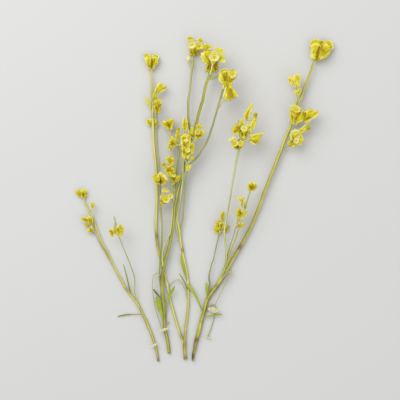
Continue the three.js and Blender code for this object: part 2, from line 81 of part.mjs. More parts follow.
// ---- heads: name, carrying stem, root [across, along, height mm], then the pieces ----
// fan: base, then the margin from left to right, half depth mm, heights of base and margin over the root, gape, petals, shade
// disc: mouth centre, radii and turn, base, height of the base over the root, rise to the mouth mm, lobes, shade
// bud: base, tip, radius, height over the root, shade
// stalk: [across, along, height over the root], width, shade
const HEADS = [
  ["florets_s1", "branch_s1", [193.4, 56.2, 5.2], [
    ["fan",[193.4,46.8],[[189.2,47.4],[189.5,51.0],[189.1,54.0],[190.2,56.0],[192.0,55.9],[193.4,55.1],[194.8,55.9],[196.6,56.1],[198.0,54.4],[198.1,50.4],[198.0,47.4]],3.6,-0.25,-3.05,0.05,[-0.3,0.2],"ochre"],
    ["fan",[193.0,50.5],[[189.4,48.8],[188.0,46],[187.9,42.6],[189.4,40.6],[192,39.9],[194.4,40.6],[195.8,43.4],[195.6,47.4]],3.2,0.14,1.55,0.3,4,"pale"],
    ["disc",[191.8,44.4],[3.7,4.1,0],[193.2,52.5],1.4,3.75,5,"pale"],
    ["fan",[194.8,51.5],[[195.2,48.6],[195.4,43.6],[196.6,41.7],[199,41.0],[201.4,42.0],[202.6,45.5],[201.7,48.8],[198.8,50.4]],3.2,0.49,1.35,0.3,4,"bright"],
    ["disc",[198.8,45.7],[3.5,4.2,-8],[195.0,52.5],1.26,4.29,5,"bright"],
    ["fan",[190.4,40.4],[[186.0,40.3],[186.9,38.2],[188.6,36.8],[190.2,35.9],[192.4,37.0],[194.6,38.9],[192.8,39.7]],0.7,3.15,4.55,0,3,"bright"],
    ["fan",[199.9,42.0],[[195.8,39.9],[197.6,38.4],[200.6,38.1],[202.6,39.7],[203.9,42.7],[202.2,42.4]],0.7,4.15,5.35,0,3,"bright"],
    ["fan",[188.8,62.6],[[187.0,59.8],[185.8,56.6],[187.8,55.9],[189.6,56.4],[190.0,60.0]],1.4,-1.8,-1.05,0.3,3,"pale"],
    ["stalk",[[191.8,67.8,0.6],[189.9,64.5,1.2],[188.6,61.0,1.7]],1.7,"lime"],
  ]],
  ["florets_s2", "stem_b", [210.3, 68.2, 15.8], [
    ["fan",[211.6,59.0],[[205.9,61.6],[206.2,66],[205.0,70],[205.4,72.6],[207.4,72.2],[209.2,73.0],[210.8,72.0],[212.2,72.6],[214,72.0],[216.2,73.2],[217.8,71.4],[218.0,68.6],[219.0,65.6],[219.0,61.6]],4.2,3.0,0.6,0.05,[-0.3,0.35],"ochre"],
    ["fan",[211.6,65.6],[[207.4,65.6],[205.6,63.4],[203.8,63.2],[203.0,61.2],[201.2,60.6],[201.4,58.4],[200.2,56.8],[201.0,54.6],[200.4,52.8],[202.2,51.8],[202.8,49.8],[205.2,50.4],[207.4,49.4],[210.0,50.4],[212.6,49.9],[214.4,51.6],[215.4,55.4]],3.6,2.2,5.6,0.06,[-0.62,0.1],"bright"],
    ["disc",[214.0,57.0],[5.3,4.2,8],[212.4,65.0],3.4,7.0,6,"cream"],
    ["fan",[215.6,58.6],[[214.8,53.8],[217.2,52.2],[220.6,52.8],[223.2,55.4],[225.4,58.8],[226.0,61.4],[224.6,63.2],[221.8,62.4],[219,61.0],[217.2,60.4]],1.2,6.4,8.2,0.03,[0.85],"bright"],
    ["fan",[206.0,49.8],[[202.0,49.2],[201.7,46.4],[203.2,44.9],[206.0,43.6],[208.4,44.4],[210.4,45.4],[213.2,46.5],[210.4,48.5],[208.6,49.4]],0.8,6.4,8.2,0,[0.15],"bright"],
    ["fan",[218.4,52.0],[[213.4,48.4],[216.4,47.0],[219.6,47.7],[222,48.4],[223.9,50.3],[225.7,53.4],[222.6,52.8]],0.7,7.6,9.0,0,[0.2],"pale"],
    ["fan",[214.6,54.4],[[212.2,52.8],[213.6,51.0],[216.4,51.2],[218.4,53.0]],0.6,7.4,8.6,0,2,"cream"],
    ["stalk",[[213.4,60.4,8.6],[212.6,64.2,7.0],[211.4,69.4,4.4],[210.2,74.4,1.6]],1.5,"cream"],
    ["stalk",[[209.4,78.4,-0.8],[211.4,78.2,0.2],[214.6,77.6,2.0],[217.2,76.8,4.2],[219.6,76.0,6.8]],1.9,"stem"],
    ["stalk",[[209.9,76.0,-0.8],[211.6,75.2,0],[213.6,73.4,0.6]],1.3,"stem"],
  ]],
  ["florets_s3_upper", "branch_i", [225.6, 86.6, 25.0], [
    ["fan",[226.6,85.0],[[223.6,84.4],[221.8,82.4],[219.6,81.8],[218.3,79.2],[218.5,74.8],[219.5,71.2],[221.4,68.8],[224,67.9],[226.6,68.6],[228.6,70.4],[229.2,75.4]],3.8,-0.8,3.4,0.14,[0.25],"bright"],
    ["fan",[227.0,90.6],[[222.8,89.0],[222.4,86.0],[222.8,82.6],[225.2,80.6],[228.4,80.0],[231.6,80.6],[232.3,83.8],[231.4,88.4]],2.6,-1.6,1.2,0.03,[0.15],"bright"],
    ["fan",[228.6,86.4],[[227.2,78.0],[228.4,71.6],[230.2,69.2],[233.4,68.6],[236.4,71.2],[236.9,75.4],[235.4,79.2],[233.2,81.4],[232.2,84.6]],3.6,-0.8,3.0,0.08,[-0.3],"bright"],
    ["disc",[232.6,73.6],[3.7,4.3,0],[229.4,82.0],1.6,6.2,5,"bright"],
    ["stalk",[[223.4,88.8,-0.8],[224.4,87.4,-0.3],[225.8,85.6,0]],2.4,"lime"],
    ["stalk",[[223.6,90.0,-1.0],[224.4,86.0,0.6],[224.6,82.0,2.4]],1.6,"lime"],
  ]],
  ["florets_s3_lower", "branch_i", [227.6, 88.6, 21.2], [
    ["fan",[228.4,84.8],[[225.0,86.0],[224.4,89.4],[223.8,92.4],[222.6,95.2],[222.4,97.8],[224.2,99.2],[225.4,100.8],[227.8,101.4],[229.6,100.6],[231.6,100.4],[233.6,99.0],[235.4,98.4],[235.8,96.2],[237.6,95.4],[237.0,92.8],[235.4,90.4],[233.4,88.4],[231.8,85.6]],4.2,2.4,3.0,0.05,[-0.35,0.3],"bright"],
    ["fan",[230.6,88.4],[[232.6,88.0],[235.0,90.6],[237.6,93.2],[238.7,96.9],[236.0,96.2],[233.6,96.8]],0.7,6.2,5.2,0,2,"bright"],
    ["stalk",[[219.5,107.0,-2.0],[221.2,104.2,-1.9],[223.0,101.8,-1.0],[225.4,99.2,0.4]],1.6,"lime"],
    ["stalk",[[222.3,91.0,-1.2],[224.6,89.0,0.6],[227.6,86.8,2.2]],1.6,"lime"],
  ]],
  ["florets_z1", "stem_c_left", [151.4, 69.3, 4.8], [
    ["fan",[151.5,66.6],[[151.2,69.3],[149.4,69.7],[147.8,68.6],[147.2,66.4],[146.3,63.8],[144.8,61.4],[144.8,58.4],[142.8,57.2],[143.6,54.9],[145.2,53.2],[146.8,52.7],[148.4,53.0],[149.8,54.1],[151.0,55.6],[152.2,55.0],[153.9,54.8],[155.5,53.6],[157.5,54.2],[159.5,56.4],[158.6,58.4],[158.6,60.8],[158.4,63.0],[157.2,64.7],[155.7,65.5],[155.1,67.6],[154.2,69.3],[152.6,69.6]],4.6,-0.55,-1.0,0.16,[-0.28,-0.02,0.3],"bright"],
    ["fan",[150.4,66.0],[[145.3,61.6],[145.0,58.4],[147.4,57.2],[150.4,57.6],[151.2,60.4]],1.0,2.53,3.2,0,[0.3],"pale"],
    ["fan",[153.2,66.0],[[153.2,60.4],[153.2,57.6],[156.0,57.0],[158.2,58.6],[157.9,62.8]],1.0,2.4,3.0,0,[-0.3],"bright"],
  ]],
  ["florets_z2", "stem_c_left", [153.6, 103.5, 6.2], [
    ["fan",[156.9,93.8],[[155.0,92.4],[154.6,90.4],[155.2,88.6],[156.6,87.2],[156.4,85.2],[157.6,83.4],[159.4,82.5],[161.4,82.8],[162.8,84.2],[163.6,86.0],[165.2,84.5],[166.6,85.6],[167,87.2],[165.8,89.2],[164.2,90.4],[162.4,90.4],[161.4,91.8],[159.5,92.6]],1.9,2.4,3.2,0.04,[-0.55,0.42],"bright"],
    ["fan",[154.4,100.0],[[152.8,97.8],[152.6,95],[153.8,92.8],[155.6,92.6],[156.7,94.4],[156.5,97.2],[155.4,99.6]],1.3,1.2,2.0,0,2,"bright"],
    ["stalk",[[153.3,104.4,-0.6],[154.2,101.5,0.4],[156.2,98.6,1.4],[158.3,96.2,2.0],[157.6,94.4,2.3],[157.0,92.6,2.6]],1.6,"lime"],
  ]],
  ["florets_z5", "branch_e", [157.4, 112.6, 9.8], [
    ["fan",[157.2,109.0],[[157.2,112.9],[155.9,113.3],[155.0,111.8],[154.6,109.6],[153.5,106.8],[153.6,104.0],[154.6,101.9],[157,101.2],[159.4,101.6],[160.4,103.4],[162.0,104.6],[161.2,106.4],[161.0,109],[160.4,111.6],[159.4,113.4],[158.0,113.0]],2.9,0.6,1.6,0.1,[-0.3,0.3],"ochre"],
    ["fan",[157.6,104.2],[[154.4,102.4],[154.8,100.4],[156.6,99.8],[158.4,98.6],[160.2,98.9],[161.6,100.3],[163.2,101.7],[161.0,102.6],[159.6,103.2]],0.8,3.6,4.6,0,3,"bright"],
    ["stalk",[[157.0,119.6,-0.8],[156.6,117.2,-0.4],[155.6,115.0,0.2],[154.6,112.8,0.8]],0.9,"stem"],
  ]],
  ["petals_z4", "stem_c_left", [151.2, 108.5, 5.4], [
    ["fan",[150.9,110.4],[[150.0,109.8],[149.0,107],[148.0,104.3],[146.6,101.4],[145.2,98.9],[144.9,96.8],[146.4,98.3],[148.2,98.2],[149.5,99.9],[150.3,102.2],[150.9,104.6],[151.0,108]],1.3,0.4,1.6,0.02,[0.85],"bright"],
  ]],
  ["florets_z6", "stem_c_left", [153.0, 126.5, 6.0], [
    ["fan",[153.0,126.9],[[150,126.3],[148,125.2],[146.8,123.6],[145.9,121.1],[146.4,119.3],[148,118.8],[150,119.3],[150.7,117.2],[152,116.6],[154.6,117.8],[156.4,120.0],[157.7,122.6],[158.2,125.1],[157.2,127.4],[155.2,127.4]],1.2,-3.4,-3.0,0.1,4,"olive"],
  ]],
  ["florets_c_mid", "branch_e", [160.6, 186.5, 12.0], [
    ["fan",[160.5,182.0],[[160.4,185.6],[158.2,184.3],[155.9,183.6],[154.1,181.8],[153.6,179.4],[151.8,177.9],[152.9,175.1],[155.2,173.7],[157.4,173.4],[158.5,172.1],[160,171.4],[161.6,172.0],[162.4,173.7],[164.4,174.1],[166.4,176.1],[168.2,179.7],[167.0,181.8],[166.0,184.1],[163.8,184.6],[161.8,185.7]],3.9,1.8,4.0,0.12,[-0.1],"bright"],
    ["fan",[159.2,181.6],[[154.6,180.6],[154.8,177.6],[157.0,176.0],[159.6,176.6],[160.2,179.0]],0.9,4.4,6.4,0,2,"pale"],
    ["fan",[162.2,181.6],[[161.4,178.6],[162.2,175.8],[164.6,175.6],[166.8,178.2],[166.0,181.2]],0.9,4.4,6.2,0,2,"pale"],
    ["fan",[156.6,176.2],[[152.4,177.6],[153.4,175.0],[155.6,173.9],[157.8,174.2]],0.6,6.0,6.6,0,2,"bright"],
  ]],
  ["florets_z7", "branch_e", [161.0, 205.5, 10.5], [
    ["disc",[166.0,199.2],[3.9,3.6,0],[164.0,203.6],2.2,5.6,5,"bright"],
    ["disc",[170.6,196.2],[2.7,2.7,0],[168.6,200.6],2.6,4.8,4,"bright"],
    ["fan",[161.9,202.2],[[160.4,199.6],[160.0,197.0],[161.0,195.0],[162.6,194.9],[163.4,197.0],[163.2,200.2]],1.6,1.6,2.6,0.15,[0.2],"pale"],
    ["fan",[161.6,206.2],[[160.6,204.4],[160.6,202.2],[161.8,201.2],[163.4,201.6],[163.9,203.6],[163.0,205.4]],1.3,0.4,1.2,0.1,[0.1],"olive"],
    ["fan",[164.4,193.2],[[162.2,192.0],[161.6,190.0],[162.8,188.3],[164.6,187.6],[166.2,188.0],[167.7,189.2],[169.0,191.6],[167,192.4]],1.4,4.6,5.8,0.35,4,"bright"],
    ["stalk",[[164.2,191.6,4.8],[163.9,193.8,4.4],[164.3,197.0,3.8],[164.2,201.0,2.8]],1.7,"bright"],
    ["stalk",[[161.0,206.0,0],[163.5,203.6,1.6],[168.3,200.8,2.5]],1.4,"lime"],
    ["stalk",[[161.0,206.2,0],[161.9,203.6,0.8],[163.2,202.6,2.0]],1.6,"ochre"],
  ]],
  ["florets_p1", "stem_c", [169.8, 130.4, 6.6], [
    ["fan",[169.0,127.0],[[169.4,130.2],[167.6,129.9],[166.6,128.4],[164.6,127.4],[163.2,125.8],[162.6,123.9],[161.4,122.4],[163,120.8],[166,120.3],[167.6,119.7],[169.2,119.3],[170.6,118.4],[172.2,118.2],[173.6,119.3],[175.2,120.5],[173.7,121.8],[173.4,124],[173.1,127],[172.6,129.6],[171.0,130.4]],3.5,0.8,2.4,0.03,[-0.45,0.45],"bright"],
  ]],
  ["florets_p2", "branch_t", [178.6, 142.2, 11.5], [
    ["fan",[173.6,143.6],[[176.0,146.6],[173.6,148.5],[170.9,147.8],[169.6,145.8],[168.4,144],[168.9,141],[169.8,138.4],[171,136.7],[172.6,136.0],[174.2,137.2],[175.8,138.5],[177.4,139.6],[177.6,142.4]],2.6,1.6,2.6,0.06,[-0.4,0.1,0.5],"bright"],
    ["fan",[174.6,143.4],[[170.2,141.2],[171.2,138.6],[173.4,138.0],[175.6,139.8],[176.2,142.2]],0.9,3.6,4.6,0,2,"bright"],
    ["fan",[171.4,146.2],[[170.2,148.6],[168.0,148.8],[167.2,146.8],[168.4,145.0],[170.4,144.8]],0.8,0.8,1.0,0,2,"bright"],
    ["bud",177.3,133.4,178.1,127.2,1.9,2.2,"bud"],
    ["fan",[177.7,140.4],[[175.8,138.2],[175.3,135.0],[175.9,132.2],[177.8,131.2],[179.4,132.4],[179.4,135.6],[179.0,138.4]],1.9,0.6,1.8,0.05,[0.2],"bright"],
    ["fan",[184.8,130.0],[[183.3,129.8],[182.2,127],[182.2,124],[182.9,120],[184.4,116.2],[185.7,118.6],[186.9,120.4],[188.2,120.9],[188.2,127],[187.2,129.3],[185.8,131.3],[184.4,131.5]],1.2,3.4,4.4,0,[-0.1,0.3],"bright"],
    ["stalk",[[179.4,138.5,0.8],[179.9,135.0,1.6],[180.9,131.5,2.4],[182.2,128.5,3.2],[183.0,125.4,4.2]],1.3,"lime"],
    ["stalk",[[184.6,131.4,3.4],[182.0,134.0,2.2],[180.0,137.0,1.2]],1.2,"lime"],
    ["stalk",[[179.4,145.5,-0.5],[178.4,145.0,-0.2],[176.0,145.4,0.4]],3.6,"lime"],
    ["stalk",[[179.2,143.2,0.0],[178.2,140.6,0.8],[177.3,137.0,1.2]],2.2,"lime"],
    ["stalk",[[178.9,143.0,0.0],[179.6,140.0,0.6],[179.6,137.6,0.8]],1.8,"lime"],
  ]],
  ["florets_centre", "branch_hj", [183.4, 156.3, 14.41], [
    ["fan",[198.4,134.8],[[195.0,134.0],[194.4,137.2],[195.4,139.6],[197.4,140.0],[199.8,139.2],[202.0,137.6],[202.6,134.4]],2.2,4.8,3.2,0.04,[0.1],"ochre"],
    ["fan",[198.4,136.6],[[194.8,134.8],[194.6,131.4],[195.6,129.0],[198.0,128.0],[200.2,129.2],[201.6,132.0],[201.2,134.8]],2.3,4.4,6.2,0.2,[0.2],"bright"],
    ["disc",[198.1,131.9],[2.3,2.8,0],[198.0,137.0],3.8,5.4,5,"bright"],
    ["fan",[199.0,128.6],[[195.8,127.2],[196.4,125.2],[198.4,123.8],[200.6,124.6],[202.6,126.8],[201.4,127.8]],0.7,8.4,9.6,0,3,"bright"],
    ["fan",[199.6,133.4],[[199.8,130.0],[202.2,128.8],[203.8,130.6],[205.4,134.0],[203.4,134.6],[201.4,135.4]],1.0,6.8,7.4,0,3,"bright"],
    ["fan",[192.6,131.4],[[190.9,130.6],[190.6,128.0],[192.0,126.8],[193.6,127.6],[193.8,130.2]],0.8,5.0,5.8,0,2,"pale"],
    ["fan",[193.0,135.4],[[191.0,134.0],[190.8,131.8],[192.2,130.8],[193.6,131.8],[194.0,134.0]],0.9,4.6,5.2,0,2,"bright"],
    ["fan",[184.8,141.6],[[181.4,141.4],[180.4,138.4],[181.0,135.6],[183.0,133.7],[185.4,133.6],[187.0,134.8],[187.4,138.4],[187.2,141.4]],2.2,2.6,3.6,0.1,[-0.3,0.3],"bright"],
    ["fan",[188.2,142.0],[[185.6,138.6],[186.0,135.4],[187.4,133.8],[189.6,133.2],[190.9,135.0],[191.0,138.4],[190.6,141.6]],2.2,3.0,4.2,0.15,[0.1],"bright"],
    ["fan",[189.6,134.8],[[188.1,133.4],[188.1,131.0],[189.4,129.8],[190.8,131.0],[190.9,133.8]],1.0,3.8,4.6,0,2,"bright"],
    ["fan",[185.8,147.6],[[181.8,147.6],[180.8,144.0],[181.4,141.0],[183.0,139.2],[185.4,138.6],[188.0,138.4],[190.4,139.2],[191.2,142.0],[191.1,146.0],[189.0,148.2]],2.4,3.6,4.8,0.08,[-0.35,0.25],"bright"],
    ["fan",[184.2,151.6],[[181.9,150.8],[181.4,147.8],[182.2,145.6],[184.2,145.0],[186.0,146.4],[186.2,149.4],[185.4,151.6]],1.5,3.4,4.6,0.1,[0.0],"pale"],
    ["disc",[188.2,145.4],[2.0,1.9,0],[187.2,149.6],4.6,4.0,5,"bright"],
    ["disc",[188.0,150.0],[2.5,2.4,0],[187.2,154.6],4.0,4.2,4,"pale"],
    ["fan",[186.4,155.2],[[184.8,159.9],[182.8,158.2],[181.6,155.0],[182.0,151.2],[184.0,149.0],[186.0,150.4],[188.2,151.6],[190.4,152.2],[190.5,155.4],[189.0,158.0],[187.6,159.8],[186.4,158.4]],2.0,2.4,3.2,0.05,[-0.3,0.3],"pale"],
    ["fan",[192.0,146.4],[[190.2,145.2],[190.8,143.2],[192.8,142.8],[194.8,144.8],[196.0,148.0],[193.8,147.6]],0.8,6.2,7.0,0,3,"bright"],
    ["fan",[191.8,147.4],[[190.2,148.8],[190.3,152.2],[191.8,154.6],[193.8,153.6],[194.4,150.0],[193.6,147.6]],0.9,5.6,5.8,0,2,"bright"],
    ["fan",[192.5,161.4],[[190.9,160.0],[190.5,157.4],[192.2,156.1],[194.2,157.3],[194.1,160.0]],1.3,2.8,3.8,0.15,3,"bright"],
    ["fan",[187.2,170.4],[[186.4,171.9],[185.6,169.4],[186.6,166.6],[188.4,165.0],[190.2,164.2],[191.8,165.8],[190.8,167.6],[189.6,169.6],[188.0,171.6]],1.4,2.2,2.8,0.1,[0.0],"pale"],
    ["stalk",[[184.0,157.0,0.6],[187.0,163.0,1.2],[190.0,161.6,2.0],[192.4,160.8,2.6]],1.2,"lime"],
    ["stalk",[[186.6,163.4,1.2],[186.0,167,1.6],[186.8,171.0,2.0]],1.2,"stem"],
    ["stalk",[[183.6,156.5,0.4],[187.6,151.0,3.0],[190.4,145.0,4.0],[194.4,140.8,3.8],[197.2,138.4,3.6]],1.6,"lime"],
    ["stalk",[[190.4,145.0,4.0],[191.2,149.0,4.8],[190.6,153.6,4.6]],1.3,"lime"],
    ["stalk",[[180.0,146.4,1.0],[181.0,141.5,1.6],[181.6,137.4,2.2]],2.0,"lime"],
    ["stalk",[[182.6,156.0,0.4],[180.6,150.0,0.8],[180.0,146.0,1.0]],1.2,"stem"],
  ]],
  ["florets_w", "branch_k", [170.6, 176.0, 12.6], [
    ["fan",[170.4,163.2],[[169.4,165.4],[167.6,163.0],[166.6,160.4],[166.0,157.6],[167.4,155.6],[169.4,155.4],[170.8,157.4],[172.4,157.2],[174.2,158.2],[174.6,161.4],[173.8,164.2],[172.4,165.8],[170.6,166.2]],1.9,3.8,5.0,0.08,[-0.05],"bright"],
    ["fan",[169.8,172.0],[[168.4,174.9],[165.8,173.0],[164.2,171.4],[164.6,168.8],[166.2,167.0],[168,165.6],[170.6,165.0],[172.0,166.2],[173.2,167.8],[175.2,168.2],[175.8,170.2],[175.2,172.6],[173.4,174.6],[171.4,175.2]],2.8,2.4,3.4,0.06,[-0.4,0.05,0.45],"bright"],
    ["bud",165.6,168.4,163.0,162.9,2.1,2.2,"bright"],
    ["fan",[169.4,177.2],[[167.2,175.6],[166.8,173.2],[168.4,171.4],[170.8,171.8],[171.8,174.6]],1.2,1.6,3.4,0,2,"pale"],
    ["stalk",[[169.6,173.0,2.0],[167.6,166.4,3.8],[167.8,161.5,4.6]],1.3,"lime"],
    ["stalk",[[170.6,175.0,1.4],[170.8,170.5,2.6],[171.0,166.0,3.4]],1.8,"olive"],
  ]],
  ["florets_w_low", "branch_k", [172.6, 184.0, 14.2], [
    ["fan",[173.8,179.4],[[173.6,182.8],[171.8,181.6],[170.6,179.4],[170.6,176.2],[171.8,174.0],[174.2,173.2],[176.6,174.6],[177.3,177.6],[176.9,180.6],[175.4,182.4]],2.6,1.2,2.2,0.1,[0.1],"ochre"],
    ["fan",[173.8,177.8],[[171.2,176.4],[172.4,174.6],[174.8,174.4],[176.4,176.2]],0.7,3.6,4.4,0,2,"cream"],
    ["fan",[177.0,181.2],[[176.6,179.6],[176.8,177.2],[178.2,175.6],[180.6,175.5],[180.0,178.0],[178.8,180.6]],1.0,2.8,3.8,0,2,"bright"],
    ["stalk",[[171.6,183.4,-1.2],[172.6,184.4,-0.4],[174.0,183.0,0.6]],1.2,"lime"],
  ]],
  ["florets_x", "branch_x", [239.2, 150.4, 16.8], [
    ["fan",[238.0,142.2],[[233.2,144.6],[234.0,147.4],[235.0,149.6],[236.6,149.7],[238.0,148.2],[239.4,148.6],[241.0,149.0],[242.0,147.0],[243.0,144.6]],2.8,2.2,0.4,0.03,[0.0],"ochre"],
    ["fan",[237.0,149.0],[[232.2,147.2],[231.4,144.0],[230.9,140.8],[233.2,140.0],[235.8,140.0],[237.8,141.2],[237.8,144.6]],2.4,1.0,4.0,0.3,[0.1],"bright"],
    ["fan",[239.4,149.0],[[238.2,145.0],[237.6,141.4],[239.4,140.2],[242.0,140.2],[243.9,141.8],[243.8,145.0],[242.4,147.8]],2.4,1.0,4.0,0.3,[-0.1],"bright"],
    ["disc",[234.8,143.4],[3.1,3.1,0],[237.2,148.8],1.2,4.6,5,"bright"],
    ["disc",[240.6,143.4],[2.8,2.9,0],[239.2,148.8],1.2,4.9,5,"bright"],
    ["fan",[235.4,140.8],[[230.4,141.0],[228.8,139.9],[230.8,137.9],[233.4,136.6],[235.8,137.2],[235.6,139.0]],0.7,4.4,5.2,0,[0.2],"pale"],
    ["fan",[239.0,140.6],[[237.8,140.4],[238.2,138.8],[240.2,138.4],[241.8,139.6],[241.4,140.9]],0.7,4.2,4.8,0,2,"ochre"],
    ["fan",[244.0,130.2],[[239.8,131.4],[239.6,134.8],[240.2,137.4],[241.6,139.3],[243.6,140.0],[245.8,139.4],[247.4,137.2],[248.2,134.0],[248.0,130.8]],3.0,5.4,2.6,0.04,[-0.4,0.35],"bright"],
    ["disc",[244.2,128.4],[3.4,3.0,0],[243.8,135.0],4.0,6.0,5,"cream"],
    ["fan",[242.4,135.6],[[239.0,135.4],[237.4,132.9],[235.4,133.6],[233.6,133.9],[231.6,132.4],[230.9,130.2],[232.4,128.0],[233.6,125.6],[235.2,123.9],[237.2,123.6],[238.6,122.0],[241.0,122.6],[243.4,123.6],[245.4,125.6]],3.4,2.2,4.6,0.08,[-0.3,0.35],"ochre"],
    ["fan",[242.0,126.2],[[239.8,124.8],[239.4,121.6],[240.2,119.4],[241.8,118.5],[243.0,120.6],[243.6,122.4],[244.9,124.0],[243.6,125.0]],1.2,6.4,7.4,0.1,[0.1],"bright"],
    ["fan",[238.9,123.0],[[238.1,122.4],[238.0,120.4],[238.4,118.6],[238.9,120.4],[239.3,122.4]],0.5,4.8,5.4,0,2,"olive"],
    ["fan",[249.6,133.8],[[247.4,131.4],[247.0,128.6],[247.8,126.9],[249.8,126.9],[251.6,128.2],[252.0,130.6],[251.2,132.8]],2.2,3.6,5.8,0.25,[0.0],"bright"],
    ["fan",[249.4,127.4],[[246.6,126.2],[246.5,124.4],[248.4,123.6],[250.4,124.4],[250.8,126.0]],0.7,6.2,6.8,0,2,"cream"],
    ["fan",[250.6,132.6],[[249.8,128.8],[250.4,124.4],[251.4,121.4],[253.2,119.8],[255.8,119.8],[256.8,122.4],[256.2,125.4],[254.4,127.8],[252.8,130.4]],2.1,3.4,5.2,0.05,[-0.1,0.4],"calyx"],
    ["bud",254.4,121.8,255.8,112.6,2.2,5.0,"bright"],
    ["fan",[247.6,120.8],[[244.6,120.6],[244.0,118.0],[244.4,114.8],[245.8,111.6],[247.6,109.2],[249.4,106.6],[250.6,104.0],[251.8,102.2],[252.9,104.6],[252.4,108.0],[251.0,111.6],[249.8,114.4],[249.0,117.4]],1.2,5.0,6.6,0,[-0.25],"bright"],
    ["stalk",[[252.0,127,4.6],[251.2,122,5.6],[250.6,117,6.2],[250.6,111.6,6.4]],1.2,"lime"],
    ["stalk",[[250.2,132.4,2.6],[250.6,128.0,3.8],[251.6,124.6,4.6],[253.0,122.0,5.0]],2.2,"lime"],
    ["fan",[249.4,139.2],[[250.0,135.8],[251.6,133.4],[254.0,134.2],[256.4,133.6],[259.4,132.8],[262.4,132.4],[264.4,133.4],[262.4,135.4],[261.2,137.4],[260.8,140.2],[259.2,142.6],[258.6,144.6],[256.4,145.8],[253.6,144.9],[251.4,143.6],[250.2,141.6]],3.1,2.4,3.6,0.06,[0.45],"bright"],
    ["stalk",[[243.4,141.2,1.8],[246.6,140.2,2.8],[249.8,138.8,3.6],[251.6,137.8,4.0]],2.5,"lime"],
    ["stalk",[[239.2,150.2,0.2],[240.8,145.2,0.6],[243.4,140.4,1.6],[247.4,134.8,3.2],[250.6,131.4,3.4]],2.0,"lime"],
    ["stalk",[[243.0,140.8,1.6],[240.4,136.4,3.6],[237.8,132.6,5.8]],1.8,"lime"],
  ]],
  ["florets_d_left", "branch_d_left", [218.8, 234.2, 4.4], [
    ["fan",[218.6,226.6],[[219.6,229.6],[217.0,229.2],[214.6,226.6],[215.6,223],[217.9,220.2],[220.4,219.5],[221.6,222],[222.2,225.6]],2.4,0.4,1.4,0.06,[-0.1,0.4],"bright"],
    ["fan",[221.4,226.2],[[220.2,229.4],[219.2,226.6],[219.0,223.6],[220.8,221.9],[224.3,222.2],[225.1,225.4],[224.0,228.4],[222.0,229.8]],1.9,1.4,2.4,0.1,[0.0],"bright"],
    ["fan",[218.3,231.6],[[218.7,234.6],[216.5,233.6],[215.6,231.2],[217.4,229.6],[220.0,230.0],[220.8,232.6],[219.8,234.4]],1.4,0.2,0.6,0.06,[0.0],"bright"],
    ["fan",[218.8,230.4],[[216.0,231.2],[213.4,230.4],[213.0,228.2],[216.5,227.5],[219.8,228.2]],0.8,1.8,2.4,0,3,"bright"],
    ["fan",[222.6,220.4],[[220.8,219.2],[219.6,216.0],[221.2,213.0],[223.6,210.2],[224.6,212.4],[224.2,216.0],[223.2,219.4]],1.0,2.2,3.2,0,2,"ochre"],
    ["stalk",[[223.4,217,2.2],[222.8,221.0,1.8],[221.6,225.0,0.8],[220.2,229.5,0.2],[218.9,233.8,0.0]],1.2,"lime"],
    ["fan",[225.9,231.6],[[224.4,231.4],[224.4,228],[225.4,226.2],[228.4,225.2],[229.7,225.9],[228.3,228.6],[227.9,231.8],[226.0,232.6]],1.0,-2.6,-2.2,0,2,"ochre"],
    ["stalk",[[219.4,232.6,0.0],[221.6,231.6,-1.2],[225.0,231.9,-2.5]],1.1,"lime"],
  ]],
  ["florets_d_mid", "branch_d_mid", [238.8, 228.2, 12.4], [
    ["fan",[242.6,203.4],[[241.2,202.2],[239.0,200.8],[237.5,198.8],[238.0,196.8],[239.8,196.2],[241.2,197.6],[242.2,196.2],[243.9,196.3],[244.6,198.4],[244.2,200.8],[243.4,202.8]],1.7,3.6,4.2,0.04,[0.0],"bright"],
    ["fan",[245.2,208.8],[[243.8,206.8],[243.4,204.6],[244.4,203.0],[246.2,203.2],[247.0,205.0],[246.4,207.4]],1.5,2.4,3.0,0.1,3,"ochre"],
    ["fan",[242.4,207.4],[[241.1,205.6],[240.9,203.6],[242.0,202.6],[243.1,204.6]],0.8,2.4,2.8,0,2,"olive"],
    ["fan",[241.0,214.4],[[241.4,217.8],[239.6,218.4],[237.2,218.2],[236.4,216.2],[236.8,214.0],[235.7,212.4],[235.8,210.6],[237.0,209.2],[237.4,208.0],[239.2,207.8],[240.4,208.8],[241.2,210.6],[242.8,210.9],[244.6,211.2],[244.8,213.6],[244.2,215.8],[243.0,217.4]],2.7,2.0,2.8,0.03,[0.1],"bright"],
    ["fan",[243.4,214.4],[[243.2,211.4],[246.0,210.8],[248.3,210.5],[247.2,212.6],[246.0,214.4],[244.4,215.6]],0.8,4.2,4.6,0,2,"bright"],
    ["fan",[241.4,220.0],[[240.6,218.4],[241.0,216.6],[242.6,215.8],[243.9,217.2],[243.2,219.0]],1.0,1.6,2.0,0,2,"pale"],
    ["fan",[239.8,222.8],[[238.4,221.8],[238.3,219.8],[239.6,218.6],[241.1,219.4],[241.2,221.4]],1.0,1.0,1.6,0,2,"bright"],
    ["fan",[241.0,227.6],[[240.7,224.8],[241.9,222.9],[243.9,222.6],[244.6,225],[243.3,227.5],[242.0,227.9]],1.3,1.2,1.8,0.05,2,"bright"],
    ["fan",[239.1,227.8],[[237.6,227.2],[237.2,225.2],[237.9,223.4],[239.4,222.7],[240.7,224.0],[240.6,226.4]],1.3,0.4,1.0,0.05,[0.1],"ochre"],
    ["stalk",[[238.7,228.6,0],[239.3,225.5,0.4],[240.0,222.5,0.8],[241.2,219.5,1.2],[242.4,216.5,1.8],[243.3,212.5,2.0],[243.5,208.8,2.2],[243.3,206,2.8],[242.9,202.8,3.2]],2.1,"lime"],
    ["stalk",[[237.0,228.0,-0.2],[237.1,224.5,0],[237.6,221,0.4],[238.2,218.0,1.0],[239.2,216.2,1.6]],1.0,"stem"],
  ]],
  ["floret_251", "branch_d_mid", [250.0, 191.9, 20.3], [
